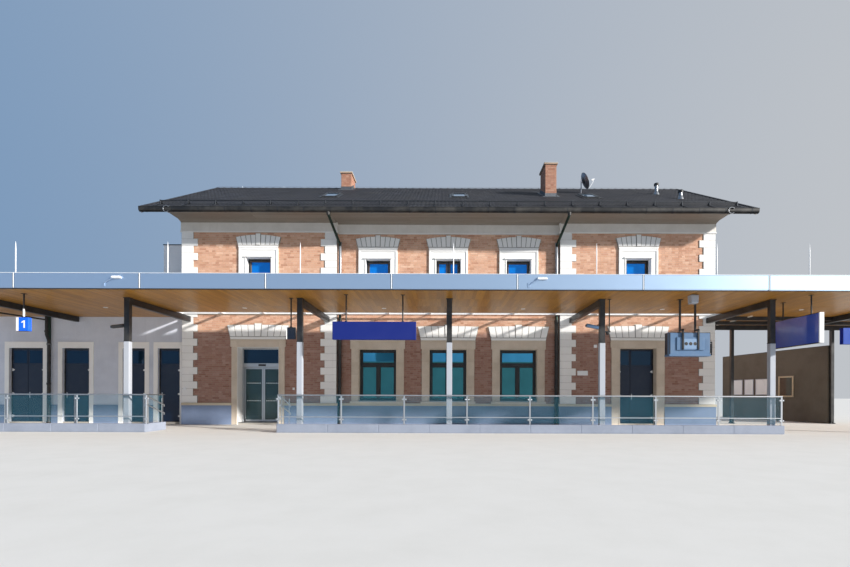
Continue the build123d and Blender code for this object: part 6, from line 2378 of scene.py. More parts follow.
    def glazed_strip(self) -> None:
        """White caps and dark gaskets over the glazing bars, a white edge channel and a wall flashing."""
        caps = Workpiece("glazing_caps")
        gaskets = Workpiece("glazing_gaskets")
        low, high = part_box("glazing_bars")
        left, right, top = low.x, high.x, 4.294
        count = round((right - left) / 1.6)
        for x in spread(left + 0.03, right - 0.03, count + 1):
            back = -4.94 if abs(x) > 4.3 else -4.76
            caps.prism([(x - 0.03, top + 0.004), (x - 0.024, top + 0.018), (x + 0.024, top + 0.018),
                        (x + 0.03, top + 0.004)], -6.0, back, "xzy")
            gaskets.block((x - 0.034, -6.0, top - 0.001), (x + 0.034, back, top + 0.005), 0.001)
            for y in (-5.85, -5.4, back - 0.12):
                caps.lathe([(0.009, 0), (0.009, 0.005), (0.004, 0.007)], at(x, y, top + 0.017), 8)
        caps.block((left, -6.022, 4.135), (right, -5.862, 4.285), 0.006)
        caps.block((left, -6.018, 4.28), (right, -5.9, top + 0.016), 0.004)
        caps.fit(WHITE_COAT, "white_steel")
        gaskets.fit(RUBBER, "frame_coat")
        flashing = Workpiece("wall_flashing")
        for x0, x1, y in ((left, -4.3, -4.92), (-4.3, 4.3, -4.74), (4.3, right, -4.92)):
            flashing.prism([(y + 0.004, 4.4), (y - 0.012, 4.4), (y - 0.012, 4.335), (y - 0.1, 4.312),
                            (y - 0.1, 4.298), (y + 0.004, 4.322)], x0, x1, "yzx")
        flashing.fit(SILL_SHEET, "white_steel")

    def post_parts(self) -> None:
        """Light sleeves on the lower part of the platform posts, head plates, base plates and their bolts."""
        sleeves = Workpiece("post_sleeves")
        plates = Workpiece("post_plates")
        bolts = Workpiece("anchor_bolts")
        half, deep = self.post_half
        for x in self.posts:
            y = self.post_line
            thick = 0.006
            for low, high in ((0.24, self.sleeve_seam), (self.sleeve_seam + thick, self.sleeve_top)):
                sleeves.pad((x, y), (half + thick, deep + thick), (low, high), 0.008)
            plates.pad((x, y), (half + 0.009, deep + 0.009), (self.sleeve_top, self.sleeve_top + 0.022),
                       0.003)
            self.foot(plates, bolts, x, y, 0.26)
            plates.pad((x, y), (half + 0.02, deep + 0.02), (4.108, 4.126), 0.002)
        for x in self.hall_posts:
            self.foot(plates, bolts, x, self.hall_line, 0.2)
        sleeves.fit(SLEEVE_COAT, "white_steel")
        plates.fit(STEEL_COAT, "dark_steel")
        bolts.fit(ZINC_STEEL, "galvanised", smooth=40)

    def foot(self, plates: Workpiece, bolts: Workpiece, x: float, y: float, size: float) -> None:
        """Adds a base plate with stiffening fins, four bolts, their nuts and washers.

        Args:
            plates: takes the plate and its fins.
            bolts: takes the bolts.
            x: where the post stands along the platform.
            y: where it stands across it.
            size: the width of the plate.
        """
        half = size / 2
        plates.pad((x, y), (half, half), (0.0, 0.021), 0.003)
        for turn in range(4):
            place = at(x, y, 0) @ spin(turn * math.pi / 2, "Z")
            plates.prism([(0.06, 0.02), (half - 0.006, 0.02), (0.075, 0.1), (0.06, 0.1)], -0.005, 0.005,
                         "xzy", place)
            spot = place @ at(half - 0.03, half - 0.03, 0.021)
            bolts.lathe([(0.018, 0), (0.018, 0.003)], spot, 12)
            bolts.lathe([(0.014, 0.003), (0.014, 0.013), (0.012, 0.015)], spot, 6)
            bolts.lathe([(0.007, 0.012), (0.007, 0.034), (0.005, 0.036)], spot, 8)

    def beam_parts(self) -> None:
        """Bevelled covers on the cross beams with end plates and bolts at the posts."""
        work = Workpiece("beam_covers")
        bolts = Workpiece("beam_bolts")
        half, low = self.beam_half, self.beam_low
        for x in self.posts:
            back = -4.97 if abs(x) < self.side else (-4.84 if x < 0 else -3.2)
            back = -4.76 if abs(x) < 4.3 else back
            front = self.post_line
            for side in (-1, 1):
                work.block((x + side * half, front + 0.07, low + 0.012),
                           (x + side * (half + 0.004), back, self.ceiling - 0.014), 0.002)
            work.block((x - half - 0.01, front + 0.07, low - 0.006), (x + half + 0.01, back, low + 0.01),
                       0.004)
            work.block((x - half - 0.01, front + 0.07, self.ceiling - 0.016),
                       (x + half + 0.01, back, self.ceiling - 0.004), 0.003)
            work.block((x - half - 0.022, front + 0.062, low - 0.02),
                       (x + half + 0.022, front + 0.082, self.ceiling - 0.004), 0.003)
            for dx in (-0.068, 0.068):
                for z in (low + 0.03, self.ceiling - 0.05):
                    place = at(x + dx, front + 0.082, z) @ spin(-math.pi / 2, "X")
                    bolts.lathe([(0.009, 0), (0.009, 0.008), (0.006, 0.01)], place, 6)
        for y in self.purlins:
            work.block((self.hall_left + 0.02, y - 0.05, 3.985),
                       (self.right - 0.02, y + 0.05, self.ceiling - 0.004), 0.004)
        work.fit(STEEL_COAT, "dark_steel")
        bolts.fit(ZINC_STEEL, "galvanised")

    def lightning_rods(self) -> None:
        """Slim white air rods behind the fascia, joined by a round conductor on clips."""
        rods = Workpiece("air_rods")
        y = self.rod_line
        for x in self.rods:
            place = at(x, y, self.deck + 0.004)
            rods.lathe([(0.1, 0), (0.1, 0.05), (0.085, 0.062), (0.02, 0.064), (0.02, 0.11),
                        (0.014, 0.115), (0.014, 0.95), (0.006, 1.1), (0.002, 1.16)], place, 12)
        rods.fit(WHITE_COAT, "white_steel", smooth=40)
        wire = Workpiece("roof_conductor")
        wire.tube([(self.left + 0.3, y + 0.12, self.deck + 0.04),
                   (self.right - 0.3, y + 0.12, self.deck + 0.04)], 0.004, 6)
        for x in spread(self.left + 0.4, self.right - 0.4, self.wire_clips):
            wire.prism([(x - 0.02, self.deck + 0.004), (x + 0.02, self.deck + 0.004),
                        (x + 0.006, self.deck + 0.045), (x - 0.006, self.deck + 0.045)], y + 0.1, y + 0.14,
                       "xzy")
        wire.fit(ZINC_STEEL, "galvanised")

    def lamps(self) -> None:
        """Downlights, a light bar, two floodlights over the fascia and a small box under the ceiling."""
        rings = Workpiece("downlight_rings")
        lenses = Workpiece("downlight_lenses")
        for x in spread(*self.downlights):
            place = at(x, self.downlight_line, self.ceiling - 0.009) @ spin(math.pi, "X")
            rings.lathe([(0.075, 0), (0.075, 0.004), (0.066, 0.008), (0.056, 0.008), (0.052, 0.002)], place,
                        24)
            lenses.lathe([(0.053, 0), (0.053, 0.004), (0.03, 0.007), (0.01, 0.008)], place, 20)
        rings.fit(WHITE_COAT, "white_steel", smooth=40)
        lenses.fit(LAMP_LENS, "white_steel", smooth=40)
        bars = Workpiece("light_bars")
        x, start, end = self.light_bar
        bars.prism([(x - 0.035, self.ceiling - 0.006), (x + 0.035, self.ceiling - 0.006),
                    (x + 0.028, self.ceiling - 0.045), (x - 0.028, self.ceiling - 0.045)], start, end, "xzy")
        bars.fit(LAMP_LENS, "white_steel")
        heads = Workpiece("floodlights")
        arms = Workpiece("floodlight_arms")
        for x in self.floodlights:
            arms.block((x - 0.3, self.face - 0.02, 4.2), (x - 0.22, self.face + 0.002, 4.34), 0.004)
            arms.tube([(x - 0.26, self.face - 0.012, 4.27), (x - 0.16, self.face - 0.04, 4.34),
                       (x + 0.02, self.face - 0.05, 4.43)], 0.018, 10)
            turn = at(x + 0.12, self.face - 0.02, 4.45) @ spin(math.radians(-12), "X")
            heads.block((-0.15, -0.045, -0.025), (0.13, 0.05, 0.025), 0.012, turn)
            for fin in range(7):
                heads.block((-0.13 + fin * 0.037, -0.03, 0.02), (-0.122 + fin * 0.037, 0.04, 0.045), 0.002,
                            turn)
        heads.fit(WHITE_COAT, "white_steel")
        arms.fit(FASCIA_PANEL, "panel_aluminium", smooth=40)
        box = Workpiece("ceiling_speaker")
        x, y, z = *self.speaker, self.ceiling - 0.004
        box.pad((x, y), (0.05, 0.03), (z - 0.03, z), 0.003)
        box.prism([(x - 0.115, z - 0.03), (x + 0.115, z - 0.03), (x + 0.1, z - 0.27), (x - 0.1, z - 0.27)],
                  y + 0.11, y - 0.11, "xzy", bevel=0.02)
        for row in range(7):
            box.block((x - 0.08, y - 0.115, z - 0.24 + row * 0.026),
                      (x + 0.08, y - 0.105, z - 0.232 + row * 0.026), 0.002)
        box.fit(SLEEVE_COAT, "white_steel")


@dataclass(frozen=True)
class Board:
    """A hung board: its edges, its middle depth and thickness, and where its rods are."""

    left: float
    right: float
    low: float
    high: float
    middle: float
    thick: float
    rods: tuple[float, ...]


@dataclass
class Signs:
    """Rims, blank plates and clamps of the hung signs, the display housing and the small boards."""

    name: Board = Board(-3.46, -1.0, 2.79, 3.31, -9.08, 0.12, (-3.07, -1.39))
    number: Board = Board(-12.805, -12.455, 3.005, 3.41, -9.08, 0.12, (-12.63,))
    side: Board = Board(11.63, 13.3, 2.7, 3.17, -9.08, 0.12, (12.02, 12.91))
    flag: Board = Board(-5.02, -4.74, 2.86, 3.22, -8.52, 0.04, (-4.88,))
    cabinet: Board = Board(6.715, 7.965, 2.37, 3.09, -8.52, 0.3, (7.105, 7.575))
    ceiling: float = 4.13
    cross_edges: tuple[float, ...] = (10.6, 0.055, -9.64, -7.69, 2.69, 3.55)
    corner_edges: tuple[float, ...] = (9.78, 10.08, 2.71, 3.22, -4.985)

    def build(self, repeater: Repeater) -> None:
        """Builds all signs.

        Args:
            repeater: sets copies of one piece on a layout; not used.
        """
        hangers = Workpiece("sign_hangers")
        for board, plate, finish in ((self.name, "name_plate", BLUE_ENAMEL),
                                     (self.side, "side_plate", SIGNAL_ENAMEL)):
            self.panel(board, plate, finish)
            self.hang(hangers, board)
        self.number_sign()
        self.hang(hangers, self.number)
        self.flag_sign()
        self.hang(hangers, self.flag)
        self.display()
        self.cross_panel(hangers)
        hangers.fit(STEEL_COAT, "dark_steel", smooth=40)
        self.wall_board()

    def panel(self, board: Board, name: str, finish: Finish) -> None:
        """Adds plates with rounded edges on both faces of a board and a dark rim around it.

        Args:
            board: the board.
            name: the name of the piece.
            finish: what the plates are made of.
        """
        work = Workpiece(name)
        for front in (-1, 1):
            face = board.middle + front * board.thick / 2
            work.block((board.left - 0.006, face - front * 0.004, board.low - 0.006),
                       (board.right + 0.006, face + front * 0.008, board.high + 0.006), 0.005)
        work.fit(finish, "blue_enamel")

    def hang(self, work: Workpiece, board: Board) -> None:
        """Adds the rods of a board with a plate at the ceiling and a clamp at the foot.

        Args:
            work: takes the rods.
            board: the board.
        """
        for x in board.rods:
            work.tube([(x, board.middle, board.high - 0.01), (x, board.middle, self.ceiling - 0.01)], 0.021,
                      10)
            work.pad((x, board.middle), (0.06, 0.05), (self.ceiling - 0.02, self.ceiling - 0.005), 0.003)
            work.pad((x, board.middle), (0.035, 0.04), (board.high - 0.004, board.high + 0.03), 0.004)

    def number_sign(self) -> None:
        """The platform number: a bright plate, white edges and a plain white figure one."""
        board = self.number
        field = board.left + 0.07
        plate = Workpiece("number_plate")
        rim = Workpiece("number_rim")
        figure = Workpiece("number_figure")
        for front in (-1, 1):
            face = board.middle + front * board.thick / 2
            inner, outer = face - front * 0.003, face + front * 0.006
            plate.block((field, inner, board.low + 0.004), (board.right + 0.002, outer, board.high - 0.004),
                        0.003)
            rim.block((board.left - 0.004, inner, board.low + 0.004),
                      (field - 0.004, outer, board.high - 0.004), 0.003)
            middle, level = (field + board.right) / 2, (board.low + board.high) / 2
            outline = [(0.012, -0.11), (0.048, -0.11), (0.048, 0.11), (0.016, 0.11), (-0.048, 0.068),
                       (-0.048, 0.034), (0.012, 0.066)]
            shape = [(middle - front * x, level + z) for x, z in outline]
            figure.prism(shape, face + front * 0.004, face + front * 0.009, "xzy")
        for work, edge, side in ((rim, board.left, -1), (plate, board.right, 1)):
            work.block((edge - side * 0.004, board.middle - 0.058, board.low + 0.004),
                       (edge + side * 0.006, board.middle + 0.058, board.high - 0.004), 0.003)
        rod = board.rods[0]
        rim.tube([(rod, board.middle, board.high + 0.02), (rod, board.middle, board.high + 0.26)], 0.026, 12)
        plate.fit(BRIGHT_ENAMEL, "blue_enamel")
        figure.fit(WHITE_ENAMEL, "white_steel")
        rim.fit(WHITE_ENAMEL, "white_steel")

    def flag_sign(self) -> None:
        """A small dark board with one white edge."""
        board = self.flag
        plate = Workpiece("flag_plate")
        y0, y1 = board.middle - board.thick / 2 - 0.006, board.middle + board.thick / 2 + 0.006
        plate.block((board.left + 0.02, y0, board.low - 0.004), (board.right + 0.004, y1, board.high + 0.004),
                    0.005)
        plate.fit(NIGHT_ENAMEL, "blue_enamel")
        edge = Workpiece("flag_edge")
        edge.block((board.left - 0.006, y0 - 0.002, board.low - 0.004),
                   (board.left + 0.02, y1 + 0.002, board.high + 0.004), 0.004)
        edge.fit(WHITE_ENAMEL, "white_steel")

    def display(self) -> None:
        """The display from behind: a sloped housing, a service door, louvres, cable ports and hangers."""
        board = self.cabinet
        front = board.middle - board.thick / 2
        back = board.middle + board.thick / 2
        shell = Workpiece("display_housing")
        wide, tall = (board.right - board.left) / 2, (board.high - board.low) / 2
        x, z = (board.left + board.right) / 2, (board.low + board.high) / 2
        shell.prism([(x - wide - 0.006, z - tall + 0.02), (x + wide + 0.006, z - tall + 0.02),
                     (x + wide + 0.006, z + tall + 0.006), (x - wide - 0.006, z + tall + 0.006)],
                    front + 0.12, front - 0.012, "xzy", bevel=0.035)
        shell.prism([(x - wide - 0.012, z - tall - 0.008), (x + wide + 0.012, z - tall - 0.008),
                     (x + wide + 0.012, z - tall + 0.055), (x - wide - 0.012, z - tall + 0.055)],
                    back, front - 0.02, "xzy", bevel=0.008)
        shell.block((x - 0.42, front - 0.04, z - 0.19), (x + 0.42, front - 0.008, z + 0.21), 0.012)
        for row in range(8):
            shell.block((x + 0.46, front - 0.018, z - 0.16 + row * 0.042),
                        (x + 0.58, front - 0.008, z - 0.148 + row * 0.042), 0.002)
        shell.fit(HOUSING_COAT, "board_coat")
        door = Workpiece("display_service_door")
        door.block((x - 0.2, front - 0.05, z - 0.15), (x + 0.2, front - 0.036, z + 0.16), 0.004)
        door.fit(PLATE_COAT, "board_coat")
        dark = Workpiece("display_ports")
        turn = spin(math.pi / 2, "X")
        for offset in (-0.135, 0.0, 0.135):
            dark.lathe([(0.052, 0), (0.052, 0.004), (0.04, 0.006), (0.034, 0.003)],
                       at(x + offset, front - 0.049, z + 0.01) @ turn, 20)
        for rod in board.rods:
            dark.block((rod - 0.026, front - 0.07, z - 0.17),
                       (rod + 0.026, front - 0.03, board.high + 0.1), 0.004)
            dark.block((rod - 0.026, front - 0.07, board.high + 0.05),
                       (rod + 0.026, board.middle + 0.02, board.high + 0.1), 0.004)
            dark.pad((rod, board.middle), (0.026, 0.026), (board.high + 0.05, self.ceiling - 0.008), 0.004)
            dark.pad((rod, board.middle), (0.08, 0.06), (self.ceiling - 0.022, self.ceiling - 0.005), 0.003)
        dark.fit(STEEL_COAT, "dark_steel")
        screen = Workpiece("display_screen")
        screen.block((board.left + 0.05, back - 0.004, board.low + 0.07),
                     (board.right - 0.05, back + 0.004, board.high - 0.05), 0.003)
        screen.fit(DARK_GLASS, "glass")
        bezel = Workpiece("display_bezel")
        side, foot, head = board.left + 0.05, board.low + 0.07, board.high - 0.05
        for low, high in (((board.left, board.low), (board.right, foot)),
                          ((board.left, head), (board.right, board.high)), ((board.left, foot), (side, head)),
                          ((board.right - 0.05, foot), (board.right, head))):
            bezel.block((low[0], back - 0.006, low[1]), (high[0], back + 0.008, high[1]), 0.004)
        bezel.fit(HOUSING_COAT, "board_coat")

    def cross_panel(self, hangers: Workpiece) -> None:
        """The panel across the platform: a violet-blue plate on each side and a white end.

        Args:
            hangers: takes the rods.
        """
        x, half, front, back, low, high = self.cross_edges
        plate = Workpiece("cross_plates")
        for side in (-1, 1):
            plate.block((x + side * (half - 0.004), front + 0.03, low + 0.01),
                        (x + side * (half + 0.008), back, high - 0.01), 0.005)
        plate.fit(VIOLET_ENAMEL, "blue_enamel")
        end = Workpiece("cross_panel_end")
        rim = Workpiece("cross_panel_rims")
        end.block((x - half - 0.012, front - 0.006, low - 0.006),
                  (x + half + 0.012, front + 0.03, high + 0.006), 0.006)
        for level, lift in ((low, -0.006), (high, 0.006)):
            rim.block((x - half - 0.01, front + 0.03, level + lift),
                      (x + half + 0.01, back + 0.006, level - lift * 1.6), 0.003)
        rim.fit(NIGHT_ENAMEL, "blue_enamel")
        end.fit(WHITE_ENAMEL, "white_steel")
        for y in (front + 0.39, back - 0.39):
            hangers.tube([(x, y, high - 0.01), (x, y, self.ceiling - 0.01)], 0.021, 10)
            hangers.pad((x, y), (0.05, 0.06), (self.ceiling - 0.02, self.ceiling - 0.005), 0.003)

    def wall_board(self) -> None:
        """The small dark board on the corner of the building."""
        left, right, low, high, face = self.corner_edges
        work = Workpiece("wall_board_face")
        work.block((left - 0.004, face - 0.008, low - 0.004), (right + 0.004, face + 0.006, high + 0.004),
                   0.006)
        work.fit(NIGHT_ENAMEL, "board_coat")
        strip = Workpiece("wall_board_strips")
        for level in (low + 0.05, high - 0.07):
            strip.block((left + 0.04, face - 0.011, level), (right - 0.04, face - 0.006, level + 0.022),
                        0.002)
        strip.fit(WHITE_ENAMEL, "white_steel")


@dataclass
class Balustrade:
    """Round-edged top rails, glass clamps, a lower rail, kerb copings and sloping handrails."""

    line: float = -8.69
    rail_top: float = 1.155
    kerb: float = 0.25
    runs: tuple[tuple[float, float], ...] = ((-17.725, -9.21), (-5.23, 10.15))
    pitch: float = 2.05
    kerb_lines: tuple[float, float] = (-8.79, -8.59)
    kerb_return: tuple[float, float] = (-9.41, -9.21)
    clamp_levels: tuple[float, float] = (0.4, 1.02)
    handrail_levels: tuple[float, float] = (1.1, 0.84)
    handrail_drop: float = 0.28
    stone: float = 1.5

    def build(self, repeater: Repeater) -> None:
        """Builds both runs, the return of the kerb and the handrails.

        Args:
            repeater: sets copies of one piece on a layout; not used.
        """
        rails = Workpiece("rail_profiles")
        clamps = Workpiece("glass_clamps")
        kerbs = Workpiece("kerb_copings")
        for left, right in self.runs:
            self.run(rails, clamps, kerbs, left, right)
        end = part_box("balustrade_kerbs")[1].y
        x0, x1 = self.kerb_return
        self.coping(kerbs, (x0, self.kerb_lines[1]), (x1, end), True)
        rails.block((x0 + 0.072, -8.66, self.rail_top - 0.038), (x1 - 0.072, end, self.rail_top + 0.003),
                    0.01)
        self.handrails(rails, x1 - 0.06, end)
        self.handrails(rails, self.runs[1][0] + 0.07, end)
        rails.fit(RAIL_STEEL, "galvanised", smooth=35)
        clamps.fit(RAIL_STEEL, "galvanised")
        kerbs.fit(KERB_STONE, "concrete")

    def run(self, rails: Workpiece, clamps: Workpiece, kerbs: Workpiece, left: float, right: float) -> None:
        """Adds one straight run along the platform.

        Args:
            rails: takes the rails and posts.
            clamps: takes the clamps of the glass.
            kerbs: takes the copings.
            left: where the run starts.
            right: where it ends.
        """
        y, top = self.line, self.rail_top
        outline = [(-0.027, -0.012), (-0.02, -0.037), (0.02, -0.037), (0.027, -0.012), (0.024, -0.002),
                   (0.014, 0.003), (-0.014, 0.003), (-0.024, -0.002)]
        rails.prism([(y + a, top + b) for a, b in outline], left, right, "yzx")
        rails.prism([(y - 0.012, 0.462), (y + 0.012, 0.462), (y + 0.012, 0.488), (y - 0.012, 0.488)], left,
                    right, "yzx")
        count = round((right - left) / self.pitch)
        for x in spread(left + 0.02, right - 0.02, count + 1):
            rails.pad((x, y), (0.022, 0.014), (self.kerb, top - 0.03), 0.004)
            rails.pad((x, y), (0.05, 0.045), (self.kerb, self.kerb + 0.012), 0.003)
            for level in self.clamp_levels:
                for side in (-1, 1):
                    clamps.pad((x + side * 0.045, y), (0.025, 0.02), (level - 0.025, level + 0.025), 0.005)
                    for front in (-1, 1):
                        spot = at(x + side * 0.045, y + front * 0.019, level)
                        clamps.lathe([(0.01, 0), (0.01, 0.004), (0.006, 0.006)],
                                     spot @ spin(-front * math.pi / 2, "X"), 10)
        self.coping(kerbs, (left, self.kerb_lines[0]), (right, self.kerb_lines[1]), False)

    def coping(self, work: Workpiece, low: Point, high: Point, across: bool) -> None:
        """Adds precast coping stones over a kerb.

        Args:
            work: takes the stones.
            low: the kerb's left front corner.
            high: its right rear corner.
            across: True if the kerb runs away from the platform's edge.
        """
        axis = 1 if across else 0
        length = high[axis] - low[axis]
        count = max(round(length / self.stone), 1)
        for number in range(count):
            start, end = list(low), list(high)
            start[axis] = low[axis] + number * length / count + 0.004
            end[axis] = low[axis] + (number + 1) * length / count - 0.004
            other = 1 - axis
            start[other] -= 0.006
            end[other] += 0.006
            work.block((*start, 0.006), (*end, self.kerb + 0.006), 0.01)

    def handrails(self, work: Workpiece, x: float, end: float) -> None:
        """Adds two sloping handrails on brackets beside the gateway.

        Args:
            work: takes the handrails.
            x: where they are along the platform.
            end: how far back they reach.
        """
        start = self.line + 0.02
        drop = self.handrail_drop
        for level in self.handrail_levels:
            work.tube([(x, start - 0.03, level - 0.06), (x, start, level), (x, start + 0.05, level),
                       (x, end - 0.06, level - drop), (x, end, level - drop - 0.01),
                       (x, end, level - drop - 0.07)], 0.02, 10)
        for y in (start + 0.15, end - 0.12):
            work.pad((x, y), (0.006, 0.02), (self.kerb if x < -9 else 0.02, 1.02), 0.002)


@dataclass
class WallFittings:
    """What hangs on walls and posts: ground pipes, cameras, small boxes and the passage wall's boards."""

    pipes: tuple[tuple[float, float], ...] = ((-4.158, -4.882), (4.158, -4.882), (-4.158, 4.882),
                                              (4.158, 4.882))
    wing_pipe: tuple[float, float] = (-15.3, -4.925)
    camera_long: float = 0.19
    boxes: tuple[tuple[Point, Point, float], ...] = (((4.95, -4.955, 1.92), (5.35, -4.92, 2.1), 0.006),
                                                     ((5.58, -4.955, 2.98), (5.7, -4.92, 3.1), 0.006),
                                                     ((-5.95, -4.95, 1.33), (-5.87, -4.92, 1.42), 0.004),
                                                     ((-10.12, -4.97, 1.32), (-10.02, -4.94, 1.42), 0.004))
    passage_line: tuple[Point, Point] = ((16.03, -3.07, 0), (15.2, 3.1, 0))
    passage_boards: tuple[tuple[float, float], ...] = ((3.06, 3.87), (4.0, 4.6), (4.735, 5.59))
    board_levels: tuple[float, float] = (1.21, 2.0)
    board_rim: float = 0.028
    screen_edges: tuple[float, float, float, float] = (1.646, 2.472, 1.11, 2.085)
    screen_rim: float = 0.075

    def build(self, repeater: Repeater) -> None:
        """Builds all fittings.

        Args:
            repeater: sets copies of one piece on a layout; not used.
        """
        self.ground_pipes()
        self.cameras()
        self.passage()

    def ground_pipes(self) -> None:
        """Black cast pipes on the ground floor with sockets, straps and boots; the wing's has an offset."""
        work = Workpiece("cast_ground_pipes")
        for x, y in self.pipes:
            place = at(x, y, 0.03)
            work.lathe([(0.08, 0), (0.08, 0.1), (0.066, 0.12), (0.066, 3.86), (0.078, 3.88), (0.078, 4.0),
                        (0.054, 4.02)], place, 18)
            for level in (1.45, 3.25):
                work.lathe([(0.072, 0), (0.076, 0.004), (0.076, 0.036), (0.072, 0.04)], at(x, y, level), 18)
        x, y = self.wing_pipe
        work.tube([(x, y, 0.03), (x, y, 3.1), (x, y - 0.005, 3.2), (x - 0.06, y - 0.03, 3.42),
                   (x - 0.06, y - 0.03, 3.56), (x - 0.06, y - 0.03, 4.12)], 0.058, 16)
        for level, dx, dy in ((0.03, 0, 0), (1.5, 0, 0), (3.02, 0, 0), (3.5, -0.06, -0.03)):
            work.lathe([(0.068, 0), (0.072, 0.006), (0.072, 0.07), (0.066, 0.08)], at(x + dx, y + dy, level),
                       18)
        work.tube([(x - 0.06, y - 0.03, 3.98), (x - 0.62, y - 0.72, 4.04), (x - 1.05, y - 1.25, 4.085)],
                  0.03, 10)
        work.fit(BLACK_SHEET, "dark_sheet", smooth=40)
        clips = Workpiece("ground_pipe_collars")
        clips.lathe([(0.074, 0), (0.078, 0.005), (0.078, 0.02), (0.074, 0.025)], at(x, y, 3.04), 18)
        clips.fit(ZINC_STEEL, "galvanised", smooth=40)

    def camera(self, shell: Workpiece, dark: Workpiece, x: float, y: float, z: float, side: int,
               tilt: float) -> None:
        """Adds a bullet camera on an arm from a post.

        Args:
            shell: takes the housing.
            dark: takes the arm and the front.
            x: where its arm is along the platform.
            y: where it is across it.
            z: how high.
            side: -1 if it looks left, 1 if right.
            tilt: how far it leans, in radians.
        """
        place = at(x + side * 0.3, y - 0.02, z) @ spin(side * tilt, "Y")
        long = self.camera_long
        shell.prism([(-0.058, -0.045), (0.058, -0.045), (0.068, 0.026), (0.0, 0.06), (-0.068, 0.026)],
                    -long * side, long * side, "yzx", place, 0.01)
        dark.prism([(-0.05, -0.038), (0.05, -0.038), (0.05, 0.03), (-0.05, 0.03)], long * side,
                   long * side + side * 0.014, "yzx", place)
        dark.tube([(x + side * 0.075, y, z + 0.05), (x + side * 0.13, y, z + 0.05),
                   (x + side * 0.16, y - 0.01, z + 0.02)], 0.015, 8)
        dark.pad((x + side * 0.08, y), (0.012, 0.04), (z, z + 0.1), 0.003)

    def cameras(self) -> None:
        """Bullet cameras on two posts, one with a small dome beside it, and small boxes on the wall."""
        shell = Workpiece("camera_shells")
        dark = Workpiece("camera_mounts")
        domes = Workpiece("camera_domes")
        self.camera(dark, shell, -9.91, -8.52, 3.24, -1, 0.1)
        self.camera(shell, dark, 4.7, -8.52, 3.28, -1, -0.2)
        dark.block((4.78, -8.58, 3.1), (4.95, -8.46, 3.135), 0.004)
        dark.tube([(4.93, -8.52, 3.12), (4.93, -8.52, 4.12)], 0.017, 10)
        dark.block((4.88, -8.57, 4.108), (4.98, -8.47, 4.126), 0.003)
        domes.lathe([(0.05, 0), (0.05, 0.03), (0.045, 0.05), (0.03, 0.07), (0.008, 0.078)],
                    at(4.875, -8.52, 3.1) @ spin(math.pi, "X"), 16)
        shell.fit(HOUSING_COAT, "board_coat")
        dark.fit(STEEL_COAT, "dark_steel", smooth=40)
        domes.fit(FRAME_COAT, "frame_coat", smooth=60)
        boxes = Workpiece("wall_boxes")
        for low, high, bevel in self.boxes:
            boxes.block(low, high, bevel)
        boxes.fit(WHITE_COAT, "white_steel")

    def passage(self) -> None:
        """Framed blank boards, a framed blank display and a coping on the wall beside the hall."""
        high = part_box("passage_wall")[1]
        start, end = (Vector(point) for point in self.passage_line)
        along = end - start
        place = Matrix.Translation(start) @ spin(math.atan2(along.y, along.x), "Z")
        rims = Workpiece("passage_board_rims")
        boards = Workpiece("passage_boards")
        for left, right in self.passage_boards:
            self.framed(rims, boards, place, (left, right, *self.board_levels), self.board_rim)
        rims.fit(SLEEVE_COAT, "white_steel")
        boards.fit(PALE_BOARD, "white_steel")
        frame_rims = Workpiece("passage_display_rim")
        screen = Workpiece("passage_display_screen")
        self.framed(frame_rims, screen, place, self.screen_edges, self.screen_rim)
        frame_rims.fit(BEIGE_COAT, "white_steel")
        screen.fit(DARK_GLASS, "glass")
        coping = Workpiece("passage_coping")
        stones = 5
        step = along.length / stones
        for number in range(stones):
            coping.block((number * step + 0.002, -0.262, high.z - 0.004),
                         ((number + 1) * step - 0.002, 0.012, high.z + 0.022), 0.006, place)
        coping.fit(BLACK_SHEET, "dark_sheet")

    def framed(self, rims: Workpiece, boards: Workpiece, place: Matrix,
               edges: tuple[float, float, float, float], border: float) -> None:
        """Adds a frame of four bars and the board inside it; the edges are left, right, low and high.

        Args:
            rims: takes the frame.
            boards: takes the board.
            place: where the wall is.
            edges: its left, right, low and high edge.
            border: the width of the frame.
        """
        left, right, low, high = edges
        rims.border(edges, border, (-0.004, 0.045), 0.006, place)
        boards.block((left + border, -0.004, low + border), (right - border, 0.028, high - border), 0.002,
                     place)


ASSEMBLIES = [Brickwork(), Masonry(), Tiling(), RoofEdge(), RoofFittings(), FlatArches(), Joinery(),
              Entrance(), DoorFurniture(), Canopy(), Signs(), Balustrade(), WallFittings()]


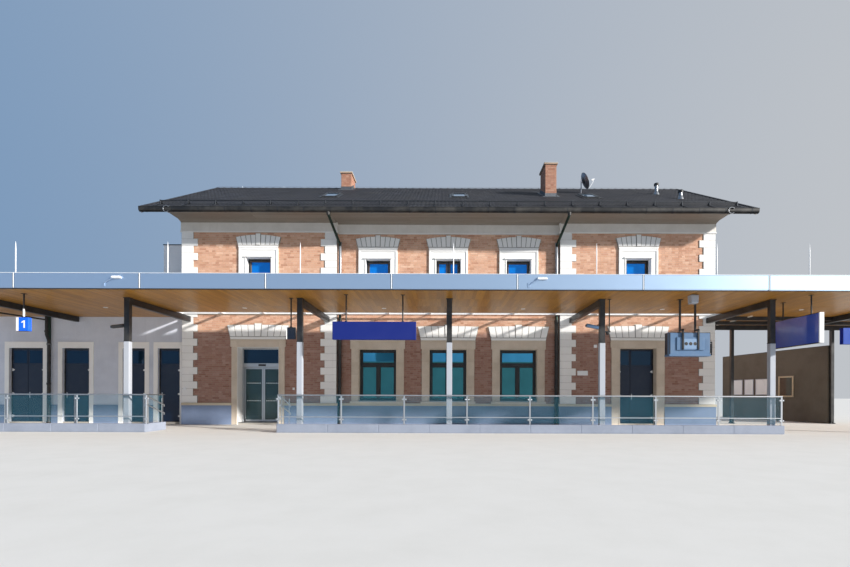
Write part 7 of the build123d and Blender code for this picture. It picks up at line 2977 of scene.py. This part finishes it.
@dataclass
class Studio:
    """The pale floor, the soft light and the camera at the photograph's place."""

    eye: tuple[float, float, float] = (-0.19, -23.32, 1.155)
    focal_px: float = 480.0
    horizon_px: tuple[float, float] = (443.0, 395.0)
    image_px: tuple[float, float] = (850.0, 567.0)
    roll: float = math.radians(0.19)
    floor_reach: float = 220.0
    sun_from: tuple[float, float, float] = (0.838, -0.43, 0.335)

    def build(self) -> None:
        """Sets up floor, light and camera."""
        self.lay_floor()
        self.light()
        self.aim()

    def lay_floor(self) -> None:
        """Lays a plain pale floor at ground level."""
        reach = self.floor_reach
        mesh = bpy.data.meshes.new("studio_floor")
        drop = -0.002
        mesh.from_pydata([(-reach, -reach, drop), (reach, -reach, drop), (reach, reach, drop),
                          (-reach, reach, drop)], [], [(0, 1, 2, 3)])
        floor = put("studio_floor", mesh)
        floor.data.materials.append(Mineral("pale_floor", "#D8D6D2", "#CFCDC8", grain=0.02).material())

    def light(self) -> None:
        """Puts a soft sun in front on the right and an even pale sky round everything."""
        bpy.context.scene.view_settings.view_transform = "Standard"
        world = bpy.data.worlds.new("pale_sky")
        bpy.context.scene.world = world
        world.use_nodes = True
        tree = world.node_tree
        backdrop = tree.nodes["Background"]
        view = add_node(tree, "ShaderNodeTexCoord").outputs["Generated"]
        across = add_node(tree, "ShaderNodeSeparateXYZ", {0: view}).outputs["X"]
        share = add_node(tree, "ShaderNodeMapRange", {"Value": across, "From Min": -0.9, "From Max": 0.7})
        sky = add_node(tree, "ShaderNodeMix",
                       {0: share.outputs[0], 6: linear("#8DBBEC"), 7: linear("#F6FAFF")},
                       data_type="RGBA").outputs[2]
        tree.links.new(sky, backdrop.inputs["Color"])
        backdrop.inputs["Strength"].default_value = 0.58
        lamp = bpy.data.lights.new("soft_sun", "SUN")
        lamp.energy = 7.0
        lamp.angle = math.radians(3.0)
        lamp.color = linear("#FFFAF3")[:3]
        sun = put("soft_sun", lamp)
        sun.rotation_euler = Vector(self.sun_from).to_track_quat("Z", "Y").to_euler()

    def aim(self) -> None:
        """Creates the camera; its shift only puts the horizon where the photograph has it."""
        lens = bpy.data.cameras.new("photo_camera")
        width, height = self.image_px
        lens.sensor_width = 36.0
        lens.lens = lens.sensor_width * self.focal_px / width
        lens.shift_x = (width / 2 - self.horizon_px[0]) / width
        lens.shift_y = (self.horizon_px[1] - height / 2) / width
        lens.clip_end = 1000.0
        camera = put("photo_camera", lens)
        camera.location = self.eye
        camera.rotation_euler = (math.radians(90), -self.roll, 0)
        bpy.context.scene.camera = camera


def main() -> None:
    """Dresses the frame, builds every sub-assembly in order and sets up the studio."""
    logging.basicConfig(level=logging.INFO, format="%(name)s %(message)s")
    dress_frame()
    repeater = Repeater()
    for assembly in ASSEMBLIES:
        assembly.build(repeater)
    Studio().build()


if __name__ == "__main__":
    main()
